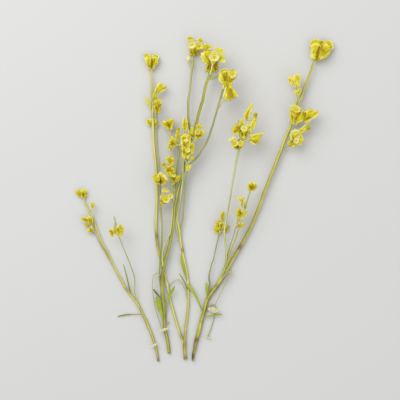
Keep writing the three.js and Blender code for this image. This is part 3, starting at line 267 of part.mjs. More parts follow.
    ["stalk",[[244.9,206.6,-5.6],[246.0,204.2,-4.4],[247.4,200,-2.6],[248.6,196.4,-1.2],[250.1,191.8,0]],1.5,"stem"],
    ["fan",[252.2,188.4],[[250.6,192.0],[249.0,190.8],[247.5,188.6],[247.4,185.4],[248.2,182.8],[250.4,181.6],[252.8,182.2],[255.0,182.8],[256.4,184.4],[257.8,186.2],[256.6,188.4],[255.0,190.0],[253.4,191.2],[251.8,191.8]],3.2,1.6,2.6,0.03,[-0.5,0.5],"bright"],
  ]],
  ["florets_d_top", "stem_d", [315.2, 59.4, 7.1], [
    ["fan",[316.2,61.0],[[313.8,59.2],[311.6,58.6],[310.5,56.6],[310.3,50],[311.0,46.8],[309.3,43.5],[311.0,40.6],[313.8,39.3],[316.5,38.8],[319.4,39.6],[322.6,39.8],[324.2,40.8],[325.4,40.1],[329,40.0],[332.0,41.6],[334.0,47.8],[331.4,49.2],[329.8,50.2],[330.9,52.2],[328.5,56.5],[325,57.8],[322,57.4],[319.7,60.3]],6.0,-1.1,-1.6,0.2,[-0.5,-0.08,0.42],"bright"],
    ["fan",[315.0,59.6],[[312.0,57.8],[311.2,52.0],[311.9,47.6],[313.4,45.2],[316.6,44.6],[319.2,45.6],[318.4,50.0],[316.8,55.0]],1.3,3.1,1.8,0,[-0.2,0.3],"calyx"],
    ["fan",[318.2,58.6],[[320.4,51.0],[323.0,48.2],[326.4,48.6],[329.8,49.8],[330.2,52.4],[328.6,54.8],[326.8,56.2],[323.6,56.7],[321.4,57.0]],1.3,2.67,1.2,0,[-0.1,0.4],"calyx"],
    ["fan",[319.4,54.0],[[319.8,49.0],[321.0,44.4],[323.2,43.0],[325.4,45.0],[325.0,48.4],[322.4,51.6]],1.1,0.27,2.2,0,2,"ochre"],
  ]],
  ["florets_d5", "stem_d", [296.0, 106.5, 7.4], [
    ["fan",[296.6,87.8],[[293.4,86.0],[289.9,83.4],[288.0,80.6],[287.8,78],[290.5,75.0],[292.8,77.6],[294.4,80.6]],1.1,3.2,4.6,0,3,"bright"],
    ["fan",[297.4,88.2],[[295.0,87.0],[293.6,82],[293.1,78],[293.9,74.8],[296,73.7],[299.2,73.7],[300.5,76],[300.5,84],[299.1,87.0]],1.3,3.4,5.0,0.06,3,"bright"],
    ["fan",[297.0,96.8],[[295.0,94.6],[294.2,91.6],[295.4,89.4],[297.0,88.8],[298.4,91.0],[298.2,94.6]],1.5,2.0,2.8,0.1,2,"pale"],
    ["fan",[297.6,95.6],[[297.2,92.6],[297.8,89.8],[299.4,88.0],[301.0,87.4],[301.0,91.0],[299.8,93.8],[298.6,95.4]],1.3,2.4,3.6,0.1,2,"bright"],
    ["stalk",[[295.6,107.0,0.2],[296.2,102.5,1.2],[296.7,97.5,1.8],[297.0,92.0,2.4],[297.2,87.2,3.0]],1.7,"lime"],
  ]],
  ["florets_d2", "stem_d", [293.6, 122.0, 10.6], [
    ["fan",[295.6,120.0],[[294.0,125.6],[292,123.6],[290.4,120.6],[289.3,117],[289.3,113.4],[290.8,111.4],[294,111.0],[298,111.2],[301.5,112.4],[304.2,114.4],[304.6,118],[303.0,121.0],[300.2,122.8],[297.8,123.6],[295.6,126.4]],4.2,0.8,2.0,0.04,[-0.45,0.1],"bright"],
    ["disc",[296.2,109.6],[4.4,2.8,10],[295.4,117.0],1.6,5.6,5,"bright"],
    ["fan",[294.6,108.2],[[289.4,106.5],[291.0,105.1],[294.0,104.5],[297.0,105.3],[299.8,107.2],[302.0,109.4],[299.2,109.4]],0.7,5.8,6.8,0,4,"cream"],
    ["fan",[293.6,112.6],[[290.4,112.6],[288.4,111.3],[290.2,109.7],[292.4,108.4],[294.4,109.2]],0.7,4.4,5.0,0,2,"bright"],
    ["fan",[303.6,121.0],[[303.0,122.6],[301.4,119.6],[300.6,115.6],[300.8,111.4],[302.2,109.4],[304.4,109.8],[306,110.5],[308.2,109.0],[310.2,108.3],[311.8,108.9],[313.0,110.8],[315,111.4],[317.9,110.0],[318.7,112.8],[318.1,115.2],[316.5,117.3],[314.2,118.6],[312.1,119.6],[310,121.4],[307.4,122.8],[304.8,123.0]],3.4,1.4,2.8,0.03,[-0.35,0.3],"bright"],
    ["fan",[310.4,117.6],[[310.2,113.4],[313.0,111.4],[317.9,110.0],[318.7,113],[318.1,115.3],[314.6,118.2]],0.9,4.8,5.4,0,[0.1],"bright"],
    ["stalk",[[293.0,124.4,2.4],[293.7,119.5,3.4],[294.4,116.0,3.8]],1.0,"bright"],
  ]],
  ["florets_d4", "stem_d", [290.6, 133.8, 7.6], [
    ["bud",302.6,130.6,310.4,126.6,2.4,3.2,"bright"],
    ["fan",[297.2,131.4],[[296.6,133.8],[299.8,134.2],[302.8,133.0],[304.8,131.4],[304.4,128.8],[301.8,128.0],[298.8,129.2],[296.4,129.6]],2.2,2.0,2.8,0.03,[0.0],"calyx"],
    ["stalk",[[291.0,132.4,0.8],[294.6,131.3,1.8],[299.4,131.0,2.6]],3.4,"lime"],
    ["fan",[296.2,131.2],[[292.8,131.6],[293.4,129.4],[295.0,128.4],[297.2,129.6]],0.9,2.4,3.0,0,2,"cream"],
    ["stalk",[[297.6,131.0,2.6],[301.5,128.4,3.4],[304,126.3,3.8],[306.6,123.7,4.2],[309.2,121,4.8],[311.6,118.6,5.2]],1.5,"lime"],
    ["fan",[294.4,139.8],[[291.4,142.6],[290.2,139.2],[289.8,135.8],[290.2,132.8],[293.2,132.2],[296.4,132.5],[298.8,134.0],[300.2,136.8],[299.8,140.0],[298.4,142.6]],2.8,2.8,3.6,0.05,[-0.2,0.3],"bright"],
    ["disc",[296.4,140.6],[2.7,2.9,0],[293.6,144.4],3.0,5.2,5,"pale"],
    ["fan",[292.4,143.6],[[290.6,140.6],[288.4,141.2],[287.5,143.1],[288.3,145.1],[290.3,145.3],[290.8,147],[292.8,147.8],[295.2,147.1],[296.2,145.2],[295.6,143.0],[293.6,141.8]],1.8,3.4,3.8,0.04,[-0.1],"bright"],
    ["fan",[298.4,140.0],[[299.2,138.4],[301.4,139.0],[302.5,141.5],[301.9,144.4],[300,146.1],[298.3,144.8],[297.7,142]],1.1,5.2,5.8,0,2,"bright"],
    ["fan",[300.8,136.6],[[299.6,134.2],[301.6,134.6],[303.6,137.4],[304.4,141.6],[302.6,140.4],[300.8,138.4]],0.7,5.0,5.6,0,2,"bright"],
    ["stalk",[[284.8,148.8,-1.6],[287.4,147.0,0.4],[290.4,145.4,1.8]],1.6,"stem"],
    ["stalk",[[291.4,145.2,2.2],[296.6,141.0,4.0],[298.8,138.8,4.8],[300.4,135.6,5.0]],1.2,"lime"],
    ["stalk",[[292.0,144.0,2.2],[293.2,138.0,2.4],[293.6,133.0,2.0]],1.6,"lime"],
  ]],
  ["florets_a_top", "stem_a", [84.3, 198.4, 2.2], [
    ["fan",[83.6,195.2],[[83.6,199.0],[82.2,198.0],[81.0,196.0],[80.4,193.4],[81.0,191.4],[83,190.8],[85.2,191.0],[86.5,193.1],[86.5,195.6],[85.9,197.6],[84.6,199.0]],2.3,0.14,-0.2,0.04,[-0.05],"bright"],
    ["fan",[80.6,195.6],[[79.4,197.0],[77.6,196.1],[76.7,193.9],[74.8,192.6],[76.1,190.3],[78,189.4],[79.9,189.9],[81.1,191.6],[81.6,195.0]],2.0,-0.33,0.4,0.1,[-0.1,0.4],"bright"],
    ["fan",[83.4,194.0],[[80.4,192.4],[81.0,189.8],[83,188.5],[85.4,189.0],[87.2,191.3],[85.8,192.8]],0.9,2.5,2.8,0,3,"bright"],
    ["stalk",[[84.3,198.8,0.2],[82.8,197.8,0.4],[81.0,197.0,0.6]],1.3,"lime"],
  ]],
  ["florets_a_mid", "stem_a", [91.6, 222.0, 5.4], [
    ["fan",[91.0,222.6],[[87,223.0],[84,221.9],[81.3,219.8],[79.9,217.1],[83,217.4],[86,217.6],[88.6,218.8]],1.1,0.6,1.6,0,3,"ochre"],
    ["fan",[91.4,224.2],[[89.4,224.2],[87.6,222.2],[87.0,219],[87.7,216.4],[90,215.6],[91.9,216.3],[93.0,219.7],[93.2,222.6]],1.6,0,1.4,0.1,3,"bright"],
    ["fan",[92.7,232.4],[[91.3,233.1],[89.5,232.2],[86.9,231.9],[86.9,229.3],[88.6,227.7],[89.9,225.7],[92.3,226.1],[93.6,229],[93.4,231.8]],1.6,-2.0,-1.2,0.1,4,"bright"],
    ["fan",[90.6,225.8],[[88.4,226.3],[85.6,225.8],[82.8,224.6],[85.6,223.9],[88.6,224.4]],0.6,-0.8,-0.4,0,2,"ochre"],
    ["fan",[92.2,208.6],[[90.9,206.8],[90.3,204.5],[91.1,202.9],[93,202.4],[95.0,203.3],[94.8,205.6],[93.4,207.8]],1.4,1.2,1.8,0.2,3,"bright"],
    ["stalk",[[92.1,208.4,1.4],[92.2,212,1.2],[92.0,216.5,0.8],[91.6,221.0,0.2]],1.6,"lime"],
    ["stalk",[[91.6,222.0,0],[92.0,226.0,-1.0],[92.6,229.0,-1.8],[92.6,231.8,-2.0]],1.1,"lime"],
    ["stalk",[[92.0,226.0,-1.0],[90.6,225.7,-1.0]],0.9,"lime"],
  ]],
  ["florets_a_side", "branch_a_side", [119.3, 236.5, 17.2], [
    ["fan",[119.4,233.2],[[119.2,237.2],[117.3,236.0],[116.6,233],[115.2,230.4],[115.2,227.0],[117.4,226.6],[119.4,228.2],[121.8,228.6],[123.2,231.6],[122.4,234.5],[120.7,236.9]],2.4,1.0,1.8,0.03,[0.1],"bright"],
    ["fan",[120.4,230.6],[[118.4,227.8],[119.0,224.6],[120.4,223.8],[121.8,225.8],[124.4,228.6],[122.8,231.0]],0.9,3.4,4.4,0,3,"bright"],
    ["fan",[112.8,233.2],[[113.6,236.2],[112.4,237.5],[110.9,235.7],[109.4,232.9],[108.4,229.7],[111.5,229.2],[114.4,229.4],[115.2,232.3],[114.6,234.6]],1.6,1.4,1.8,0.05,[0.0],"bright"],
    ["stalk",[[118.6,235.4,0.4],[116.2,233.6,0.8],[113.8,234.0,1.0]],1.4,"lime"],
    ["stalk",[[115.6,233.4,0.8],[114.6,230,1.6],[114.6,226,2.4],[115.1,223,3],[114.9,220,3.4],[114.2,216.8,3.8]],1.4,"olive"],
    ["stalk",[[115.4,226.0,2.6],[116.6,224.8,2.8],[115.6,221.8,3.2]],0.9,"olive"],
  ]],
];

// ---- spent heads at the ends of the thread-thin stalks: stalk, then [across, along, width, height] ----
const SPENT = [
  ["pedicel_a",[[150.9,346.6,1.4,0],[152.6,345.9,2.4,0.3],[154.2,345.2,2.6,0.4],[155.8,344.3,2.0,0.3],[157.2,343.2,0.9,0.2]]],
  ["pedicel_n",[[158.8,331.0,1.6,0],[160.6,330.6,2.6,0.3],[163.2,330.0,3.0,0.5],[165.6,329.2,2.8,0.3],[167.8,328.2,1.2,0.1]]],
  ["pedicel_d1",[[207.9,309.0,1.6,0.8],[209.8,309.1,3.4,0.8],[212.0,309.5,4.2,0.8],[214.4,310.3,5.4,0.6],[216.2,310.5,4.8,0.4],[217.9,310.8,2.2,0.3]]],
  ["pedicel_d2",[[204.9,336.1,1.0,0],[206.4,336.7,1.9,0.1],[208.1,337.4,2.2,0.2],[209.5,338.0,1.8,0.1],[210.6,338.5,0.9,0]]],
];

// ---- helpers ----
const at = (u, v, z) => {
  const k = PLAN_UNIT * (1 - z / PLAN_TAPER_HEIGHT);
  return new THREE.Vector3((u - PLAN_CENTRE[0]) * k, (PLAN_CENTRE[1] - v) * k, z);
};
const UP = new THREE.Vector3(0, 0, 1);

// Solid from a closed geometry: shared vertices merged, faces pointing out.
function solid(geometry) {
  for (const key of Object.keys(geometry.attributes)) if (key !== "position") geometry.deleteAttribute(key);
  const g = mergeVertices(geometry, 1e-3);
  const tris = [];
  for (let i = 0; i < g.index.count; i += 3) {
    const [p, q, r] = [0, 1, 2].map((k) => g.index.getX(i + k));
    if (p !== q && q !== r && r !== p) tris.push([p, q, r]);
  }
  const P = (i) => new THREE.Vector3().fromBufferAttribute(g.attributes.position, i);
  const first = P(0);
  let volume = 0;
  for (const [p, q, r] of tris) volume += P(p).sub(first).dot(P(q).sub(first).cross(P(r).sub(first)));
  const triVerts = new Uint32Array(tris.flatMap(([p, q, r]) => (volume < 0 ? [p, r, q] : [p, q, r])));
  return new Manifold(new SolidMesh({ numProp: 3, vertProperties: new Float32Array(g.attributes.position.array), triVerts }));
}

function fromSolid(m) {
  const g = m.getMesh();
  const out = new THREE.BufferGeometry();
  out.setAttribute("position", new THREE.BufferAttribute(new Float32Array(g.vertProperties), g.numProp));
  out.setIndex(new THREE.BufferAttribute(new Uint32Array(g.triVerts), 1));
  return out;
}

// Moves every vertex of a geometry by a function of its position.
function reshape(geometry, move) {
  const pos = geometry.attributes.position;
  const p = new THREE.Vector3();
  for (let i = 0; i < pos.count; i++) {
    p.fromBufferAttribute(pos, i);
    move(p);
    pos.setXYZ(i, p.x, p.y, p.z);
  }
  return geometry;
}

// Smooth route through points with widths, sampled about every `step` mm.
function route(points, step) {
  const P = points.map(([u, v, w, z]) => ({ p: at(u, v, z), r: (w * PLAN_UNIT) / 2 }));
  const curve = new THREE.CatmullRomCurve3(P.map((q) => q.p), false, "centripetal");
  const lengths = [0];
  for (let i = 1; i < P.length; i++) lengths.push(lengths[i - 1] + P[i].p.distanceTo(P[i - 1].p));
  const total = lengths[lengths.length - 1];
  const n = Math.max(3, Math.round(total / step) + 1);
  const out = [];
  for (let i = 0; i < n; i++) {
    const s = (total * i) / (n - 1);
    let k = 0;
    while (k < lengths.length - 2 && lengths[k + 1] < s) k++;
    const f = (s - lengths[k]) / (lengths[k + 1] - lengths[k]);
    out.push({ p: curve.getPoint((k + f) / (P.length - 1)), r: P[k].r * (1 - f) + P[k + 1].r * f });
  }
  return out;
}

// Round tapering tube: a round section drawn out along the route, then widened to the radius there;
// grow adds to its radius and its ends.
function tube(samples, sides, grow = 0) {
  const curve = new THREE.CatmullRomCurve3(samples.map((q) => q.p), false, "centripetal");
  const steps = samples.length - 1;
  const section = new THREE.Shape(Array.from({ length: sides }, (_, k) => new THREE.Vector2(SECTION * Math.cos((2 * Math.PI * (k + 0.5)) / sides), SECTION * Math.sin((2 * Math.PI * (k + 0.5)) / sides))));
  const g = new THREE.ExtrudeGeometry(section, { steps, extrudePath: curve, bevelEnabled: false, curveSegments: 1 });
  const centres = curve.getSpacedPoints(steps);
  const lengths = [0];
  for (let i = 1; i <= steps; i++) lengths.push(lengths[i - 1] + samples[i].p.distanceTo(samples[i - 1].p));
  const radii = centres.map((_, i) => {
    const d = (lengths[steps] * i) / steps;
    let k = 0;
    while (k < steps - 1 && lengths[k + 1] < d) k++;
    const f = (d - lengths[k]) / Math.max(1e-6, lengths[k + 1] - lengths[k]);
    return samples[k].r * (1 - f) + samples[k + 1].r * f + grow;
  });
  const start = curve.getTangentAt(0).multiplyScalar(-grow), end = curve.getTangentAt(1).multiplyScalar(grow);
  return reshape(g, (p) => {
    let k = 0;
    for (let i = 1; i <= steps; i++) if (centres[i].distanceToSquared(p) < centres[k].distanceToSquared(p)) k = i;
    p.sub(centres[k]).multiplyScalar(radii[k] / SECTION).add(centres[k]);
    if (k === 0) p.add(start);
    if (k === steps) p.add(end);
  });
}

// Leaf or flat spent head: its outline along the route, extruded and lifted to the route's height.
function blade(samples, thickness, grow = 0) {
  const left = [], right = [];
  samples.forEach((q, i) => {
    const t = samples[Math.min(samples.length - 1, i + 1)].p.clone().sub(samples[Math.max(0, i - 1)].p).setZ(0).normalize();
    const w = Math.max(q.r, 0.35) + grow;
    const c = q.p.clone().addScaledVector(t, i === 0 ? -grow : i === samples.length - 1 ? grow : 0);
    left.push(new THREE.Vector2(c.x - t.y * w, c.y + t.x * w));
    right.unshift(new THREE.Vector2(c.x + t.y * w, c.y - t.x * w));
  });
  const full = thickness + 2 * grow;
  const g = new THREE.ExtrudeGeometry(new THREE.Shape([...left, ...right]), { depth: full, bevelEnabled: false, curveSegments: 1 });
  return reshape(g, (p) => {
    let near = samples[0].p;
    for (const q of samples) if (Math.hypot(q.p.x - p.x, q.p.y - p.y) < Math.hypot(near.x - p.x, near.y - p.y)) near = q.p;
    p.z += near.z - full / 2;
  });
}

// Fewest points that keep an outline within the tolerance.
function thinned(points, tolerance) {
  if (points.length < 3) return points;
  const a = points[0], b = points[points.length - 1];
  let far = 0, index = 0;
  for (let i = 1; i < points.length - 1; i++) {
    const line = new THREE.Line3(new THREE.Vector3(...a, 0), new THREE.Vector3(...b, 0));
    const p = new THREE.Vector3(...points[i], 0);
    const d = line.closestPointToPoint(p, true, new THREE.Vector3()).distanceTo(p);
    if (d > far) { far = d; index = i; }
  }
  if (far < tolerance) return [a, b];
  return [...thinned(points.slice(0, index + 1), tolerance), ...thinned(points.slice(index), tolerance).slice(1)];
}

// Folded papery head part: its outline extruded with a rounded edge, thin at its foot and tilted from the foot to the margin.
function fanSolid(root, [, base, outline, depth, dz0, dz1], grow = 0) {
  const margin = thinned(outline, OUTLINE_TOLERANCE);
  let swept = 0;
  for (let i = 0; i + 1 < outline.length; i++) {
    const a = new THREE.Vector2(outline[i][0] - base[0], outline[i][1] - base[1]), b = new THREE.Vector2(outline[i + 1][0] - base[0], outline[i + 1][1] - base[1]);
    swept += Math.atan2(a.cross(b), a.dot(b));
  }
  const around = Math.abs(swept) > 4;
  const zb = root[2] + dz0, zm = root[2] + dz1;
  const plan = (u, v) => { const p = at(u, v, zm); return new THREE.Vector2(p.x, p.y); };
  const foot = plan(...base);
  const corners = margin.map((q) => plan(...q));
  if (!around) corners.push(foot.clone());
  const heart = corners.reduce((m, p) => m.add(p), new THREE.Vector2()).multiplyScalar(1 / corners.length);
  const way = heart.clone().sub(foot);
  const reach = Math.max(...corners.map((p) => p.distanceTo(foot)));
  const edge = depth < THIN_PETAL ? 0 : Math.min(FAN_EDGE * depth, 0.16 * reach);
  const front = depth * FAN_FRONT, back = depth * FAN_BACK;
  const size = edge + grow;
  const g = new THREE.ExtrudeGeometry(new THREE.Shape(corners), {
    depth: front + back - 2 * edge, steps: 1, curveSegments: 1,
    bevelEnabled: size > 0, bevelSegments: 1, bevelThickness: size, bevelSize: edge ? edge : grow, bevelOffset: edge ? grow - edge : 0,
  });
  way.normalize();
  return reshape(g, (p) => {
    const t = THREE.MathUtils.clamp(new THREE.Vector2(p.x, p.y).sub(foot).dot(way) / (0.9 * reach), 0, 1);
    const thin = around ? 1 : FAN_FOOT + (1 - FAN_FOOT) * Math.min(1, t / 0.5);
    const z = p.z + edge - back;
    const cover = z > 0 ? grow : -grow;
    p.z = (around ? zm : zb + (zm - zb) * t) + (grow ? (z - cover) * thin + cover : z * thin);
  });
}

// Open floret: a turned body whose mouth faces up, with a shallow dish.
function discSolid(root, [, centre, [rx, ry, turn], base, dz0, height], grow = 0) {
  const B = at(base[0], base[1], root[2] + dz0), C = at(centre[0], centre[1], root[2] + dz0 + height);
  const plan = C.clone().sub(B).setZ(0);
  const elev = Math.atan2(C.z - B.z, Math.max(1e-6, plan.length()));
  if (plan.length() < 0.2) plan.set(0, 1, 0);
  plan.normalize();
  const side = plan.clone().cross(UP).normalize();
  const mean = ((rx + ry) / 2) * PLAN_UNIT;
  const profile = [new THREE.Vector2(0, 0), ...DISC_PROFILE.map(([t, share]) => new THREE.Vector2(share, t)), new THREE.Vector2(0, grow ? 1 : 1.5)];
  const g = new THREE.LatheGeometry(profile, DISC_SIDES);
  return reshape(g, (p) => {
    const t = Math.min(1, p.y), share = Math.hypot(p.x, p.z), a = Math.atan2(p.z, p.x);
    const th = elev + (Math.PI / 2 - elev) * t ** 1.5;
    const up = plan.clone().multiplyScalar(-Math.sin(th)).addScaledVector(UP, Math.cos(th));
    const c = B.clone().lerp(C, t);
    if (t === 0) c.addScaledVector(C.clone().sub(B).normalize(), -grow);
    if (t === 1) c.z += grow;
    if (p.y > 1.2) c.z -= DISC_DISH * mean;
    const d = side.clone().multiplyScalar(Math.cos(a)).addScaledVector(plan, -Math.sin(a));
    const phi = Math.atan2(-d.y, d.x) - (turn * Math.PI) / 180;
    const rim = ((rx * ry) / Math.hypot(ry * Math.cos(phi), rx * Math.sin(phi))) * PLAN_UNIT;
    const r = share < 1e-6 ? 0 : (mean * (1 - t) + rim * t) * share + grow;
    p.copy(c).addScaledVector(side, Math.cos(a) * r).addScaledVector(up, Math.sin(a) * r);
  });
}

// Closed bud: a turned body from its base to its tip.
function budSolid(root, [, bu, bv, tu, tv, radius, dz], grow = 0) {
  const a = at(bu, bv, root[2] + dz), b = at(tu, tv, root[2] + dz + 0.4);
  const way = b.clone().sub(a), length = way.length() + 2 * grow;
  const profile = [new THREE.Vector2(0, -grow), ...BUD_PROFILE.map(([t, share]) => new THREE.Vector2(share * radius * PLAN_UNIT + grow, t * length - grow)), new THREE.Vector2(0, length - grow)];
  return new THREE.LatheGeometry(profile, BUD_SIDES).applyQuaternion(new THREE.Quaternion().setFromUnitVectors(new THREE.Vector3(0, 1, 0), way.normalize())).translate(a.x, a.y, a.z);
}

const stalkRoute = (root, pts, width) => pts.map(([u, v, dz]) => ({ p: at(u, v, root[2] + dz), r: Math.max(0.5, (width * PLAN_UNIT) / 2) }));

function pieceOf(root, el, grow = 0) {
  if (el[0] === "fan") return fanSolid(root, el, grow);
  if (el[0] === "disc") return discSolid(root, el, grow);
  if (el[0] === "bud") return budSolid(root, el, grow);
  return tube(stalkRoute(root, el[1], el[2]), HEAD_STALK_SIDES, grow);
}

const surfacePoints = (m) => {
  const pos = fromSolid(m).attributes.position;
  return Array.from({ length: pos.count }, (_, i) => new THREE.Vector3().fromBufferAttribute(pos, i));
};

// One connected body: loose pieces are tied to the largest by a thin link at their nearest points.
let links = [];
function connect(m, keepOver = 1.5) {
  for (let pass = 0; pass < 12; pass++) {
    const parts = m.decompose().filter((q) => q.volume() > 1e-3).sort((a, b) => b.volume() - a.volume());
    if (parts.length === 1) return parts[0];
    const main = parts[0];
    const mine = surfacePoints(main);
    let all = main;
    for (const p of parts.slice(1)) {
      if (p.volume() < keepOver) continue;
      let best = null;
      for (const q of surfacePoints(p))
        for (const r of mine) {
          const d = q.distanceToSquared(r);
          if (!best || d < best.d) best = { d, q, r };
        }
      const c = new THREE.Vector3();
      for (const q of surfacePoints(p)) c.add(q);
      c.multiplyScalar(1 / surfacePoints(p).length);
      const into = c.sub(best.q).normalize();
      const dir = best.q.clone().sub(best.r).normalize();
      const samples = [
        { p: best.r.clone().addScaledVector(dir, -0.9), r: LINK_RADIUS },
        { p: best.q.clone(), r: LINK_RADIUS },
        { p: best.q.clone().addScaledVector(into, 0.9), r: LINK_RADIUS * 0.8 },
      ];
      all = all.add(p).add(solid(tube(samples, HEAD_STALK_SIDES)));
      links.push(samples);
    }
    m = all;
  }
  return m.decompose().sort((a, b) => b.volume() - a.volume())[0];
}

// ---- colours ----
const COLOURS = {
  stem: 0xb5a552, stem_b: 0x8f9440, leaf: 0x93a63a, leaf_dry: 0x8d8a4c, floret: 0xd9c21e, thread: 0xc9bb84,
};
const looks = {};
function look(kind) {
  looks[kind] ??= new THREE.MeshStandardMaterial({ name: kind, color: COLOURS[kind], roughness: 0.8, metalness: 0 });
  return looks[kind];
}

const bunch = new THREE.Group();
bunch.name = "everlasting_bunch";
function place(name, m, kind) {
  const mesh = new THREE.Mesh(fromSolid(m), look(kind));
  mesh.name = name;
  mesh.geometry.translate(PART_OFFSET[0], PART_OFFSET[1], PART_OFFSET[2]);
  bunch.add(mesh);
}

// ---- stems, branches and stalks ----
const sampled = {};
for (const [name, , pts] of STEMS) {
  const step = name.startsWith("pedicel") || name.startsWith("strand") ? 7 : STEM_STEP;
  sampled[name] = route(pts, step);
}
for (const [name, , pts] of LEAVES) sampled[name] = route(pts, 6);

// The part of a branch that is clear of its parent's surface.
function freeOf(name, parent) {
  const own = route([...STEMS, ...LEAVES].find((s) => s[0] === name)[2], 1);
  const other = route(STEMS.find((s) => s[0] === parent)[2], 1);
  const leaf = LEAVES.some((s) => s[0] === name);
  let first = 0;
  for (let i = 0; i < own.length; i++) {
    let gap = Infinity;
    for (const q of other) gap = Math.min(gap, q.p.distanceTo(own[i].p) - q.r - (leaf ? Math.min(own[i].r, 0.9) : own[i].r));
    if (gap > CLEARANCE) { first = i; break; }
  }
  const step = leaf ? 6 : name.startsWith("pedicel") || name.startsWith("strand") ? 7 : STEM_STEP;
  const rest = own.slice(first);
  const n = Math.max(3, Math.round(rest.length / step) + 1);
  return Array.from({ length: n }, (_, i) => rest[Math.round(((rest.length - 1) * i) / (n - 1))]);
}

const tubes = {};
for (const [name, parent] of STEMS) {
  const samples = parent ? freeOf(name, parent) : sampled[name];
  const sides = name.startsWith("pedicel") || name.startsWith("strand") ? STALK_SIDES : STEM_SIDES;
  tubes[name] = { samples, sides };
}

// The cut foot that carries the right and left stems of the forked pair ends in two stubs.
const forkFoot = [
  [[184.9, 356], [184.2, 358.6], 2.0],
  [[185.6, 356], [186.6, 358.4], 1.6],
];

const spentHead = (rows, tip, grow = 0) => solid(blade(rows.map(([u, v, w, dz]) => ({ p: at(u, v, tip + dz), r: (w * PLAN_UNIT) / 2 })), SPENT_THICKNESS, grow));

for (const [name] of STEMS) {
  const { samples, sides } = tubes[name];
  const spent = SPENT.find((s) => s[0] === name);
  let m = solid(tube(samples, sides));
  if (name === "stem_c") {
    for (const [a, b, w] of forkFoot) {
      const z = samples[0].p.z;
      m = m.add(solid(tube([{ p: at(a[0], a[1], z), r: (w * PLAN_UNIT) / 2 }, { p: at(b[0], b[1], z), r: (w * PLAN_UNIT) / 2 * 0.85 }], 6)));
    }
    m = connect(m);
  }
  if (spent) m = connect(m.add(spentHead(spent[1], samples[samples.length - 1].p.z)));
  place(name, m, name === "stem_b" ? "stem_b" : name.startsWith("pedicel") || name.startsWith("strand") ? "thread" : "stem");
}
const driedOut = (name) => name.includes("stray") || name.includes("olive") || name.includes("dark") || name.includes("thin");
for (const [name, parent] of LEAVES) place(name, solid(blade(freeOf(name, parent), LEAF_THICKNESS)), driedOut(name) ? "leaf_dry" : "leaf");

// ---- heads: pieces joined into one body, cut back from every stem and head already in place ----
const grown = Object.entries(tubes).map(([name, { samples, sides }]) => {
  let m = solid(tube(samples, sides, CLEARANCE));
  const spent = SPENT.find((s) => s[0] === name);
  if (spent) m = m.add(spentHead(spent[1], samples[samples.length - 1].p.z, CLEARANCE));
  return { name, m, box: m.boundingBox() };
});
for (const [name, parent] of LEAVES) {
  const m = solid(blade(freeOf(name, parent), LEAF_THICKNESS, CLEARANCE));
  grown.push({ name, m, box: m.boundingBox() });
}
const apart = (a, b) => [0, 1, 2].some((k) => a.max[k] < b.min[k] || b.max[k] < a.min[k]);

for (const [name, , root, pieces] of HEADS) {
  links = [];
  let m = Manifold.union(pieces.map((el) => solid(pieceOf(root, el))));
  m = connect(m);
  for (const other of grown) if (!apart(m.boundingBox(), other.box)) m = m.subtract(other.m);
  m = connect(m, 3);
  for (const other of grown) if (!apart(m.boundingBox(), other.box)) m = m.subtract(other.m);
  m = m.simplify(SMALLEST_DETAIL);
  m = m.decompose().sort((a, b) => b.volume() - a.volume())[0];
  place(name, m, "floret");
  const fat = Manifold.union([...pieces.map((el) => solid(pieceOf(root, el, HEAD_CLEARANCE))), ...links.map((s) => solid(tube(s, HEAD_STALK_SIDES, HEAD_CLEARANCE)))]);
  grown.push({ name, m: fat, box: fat.boundingBox() });
}

export default bunch;
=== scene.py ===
import math
import bpy
import numpy as np
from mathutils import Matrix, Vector


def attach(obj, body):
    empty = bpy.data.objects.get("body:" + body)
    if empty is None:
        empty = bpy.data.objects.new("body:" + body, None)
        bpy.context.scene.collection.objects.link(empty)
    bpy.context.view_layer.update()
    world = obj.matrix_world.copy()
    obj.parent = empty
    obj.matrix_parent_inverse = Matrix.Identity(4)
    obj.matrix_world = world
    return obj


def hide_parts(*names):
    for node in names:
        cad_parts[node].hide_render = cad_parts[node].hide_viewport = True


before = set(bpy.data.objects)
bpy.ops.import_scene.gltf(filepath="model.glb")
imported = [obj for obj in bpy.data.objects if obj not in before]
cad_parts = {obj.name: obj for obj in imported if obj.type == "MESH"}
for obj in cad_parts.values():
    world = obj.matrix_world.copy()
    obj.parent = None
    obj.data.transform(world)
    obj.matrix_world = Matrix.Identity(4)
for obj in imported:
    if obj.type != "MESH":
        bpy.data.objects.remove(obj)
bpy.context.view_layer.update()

# ------------------------------------------------------------------ driving dimensions
PLAN_UNIT = 1.1            # mm, one plan unit of the tables
PLAN_CENTRE = (200.0, 200.0)
TAPER_HEIGHT = 1300.0      # mm, the camera's height over the surface
OFFSET = (-4.666, -1.035, 0.001)  # mm, the same shift as the solids have
MM = 0.001

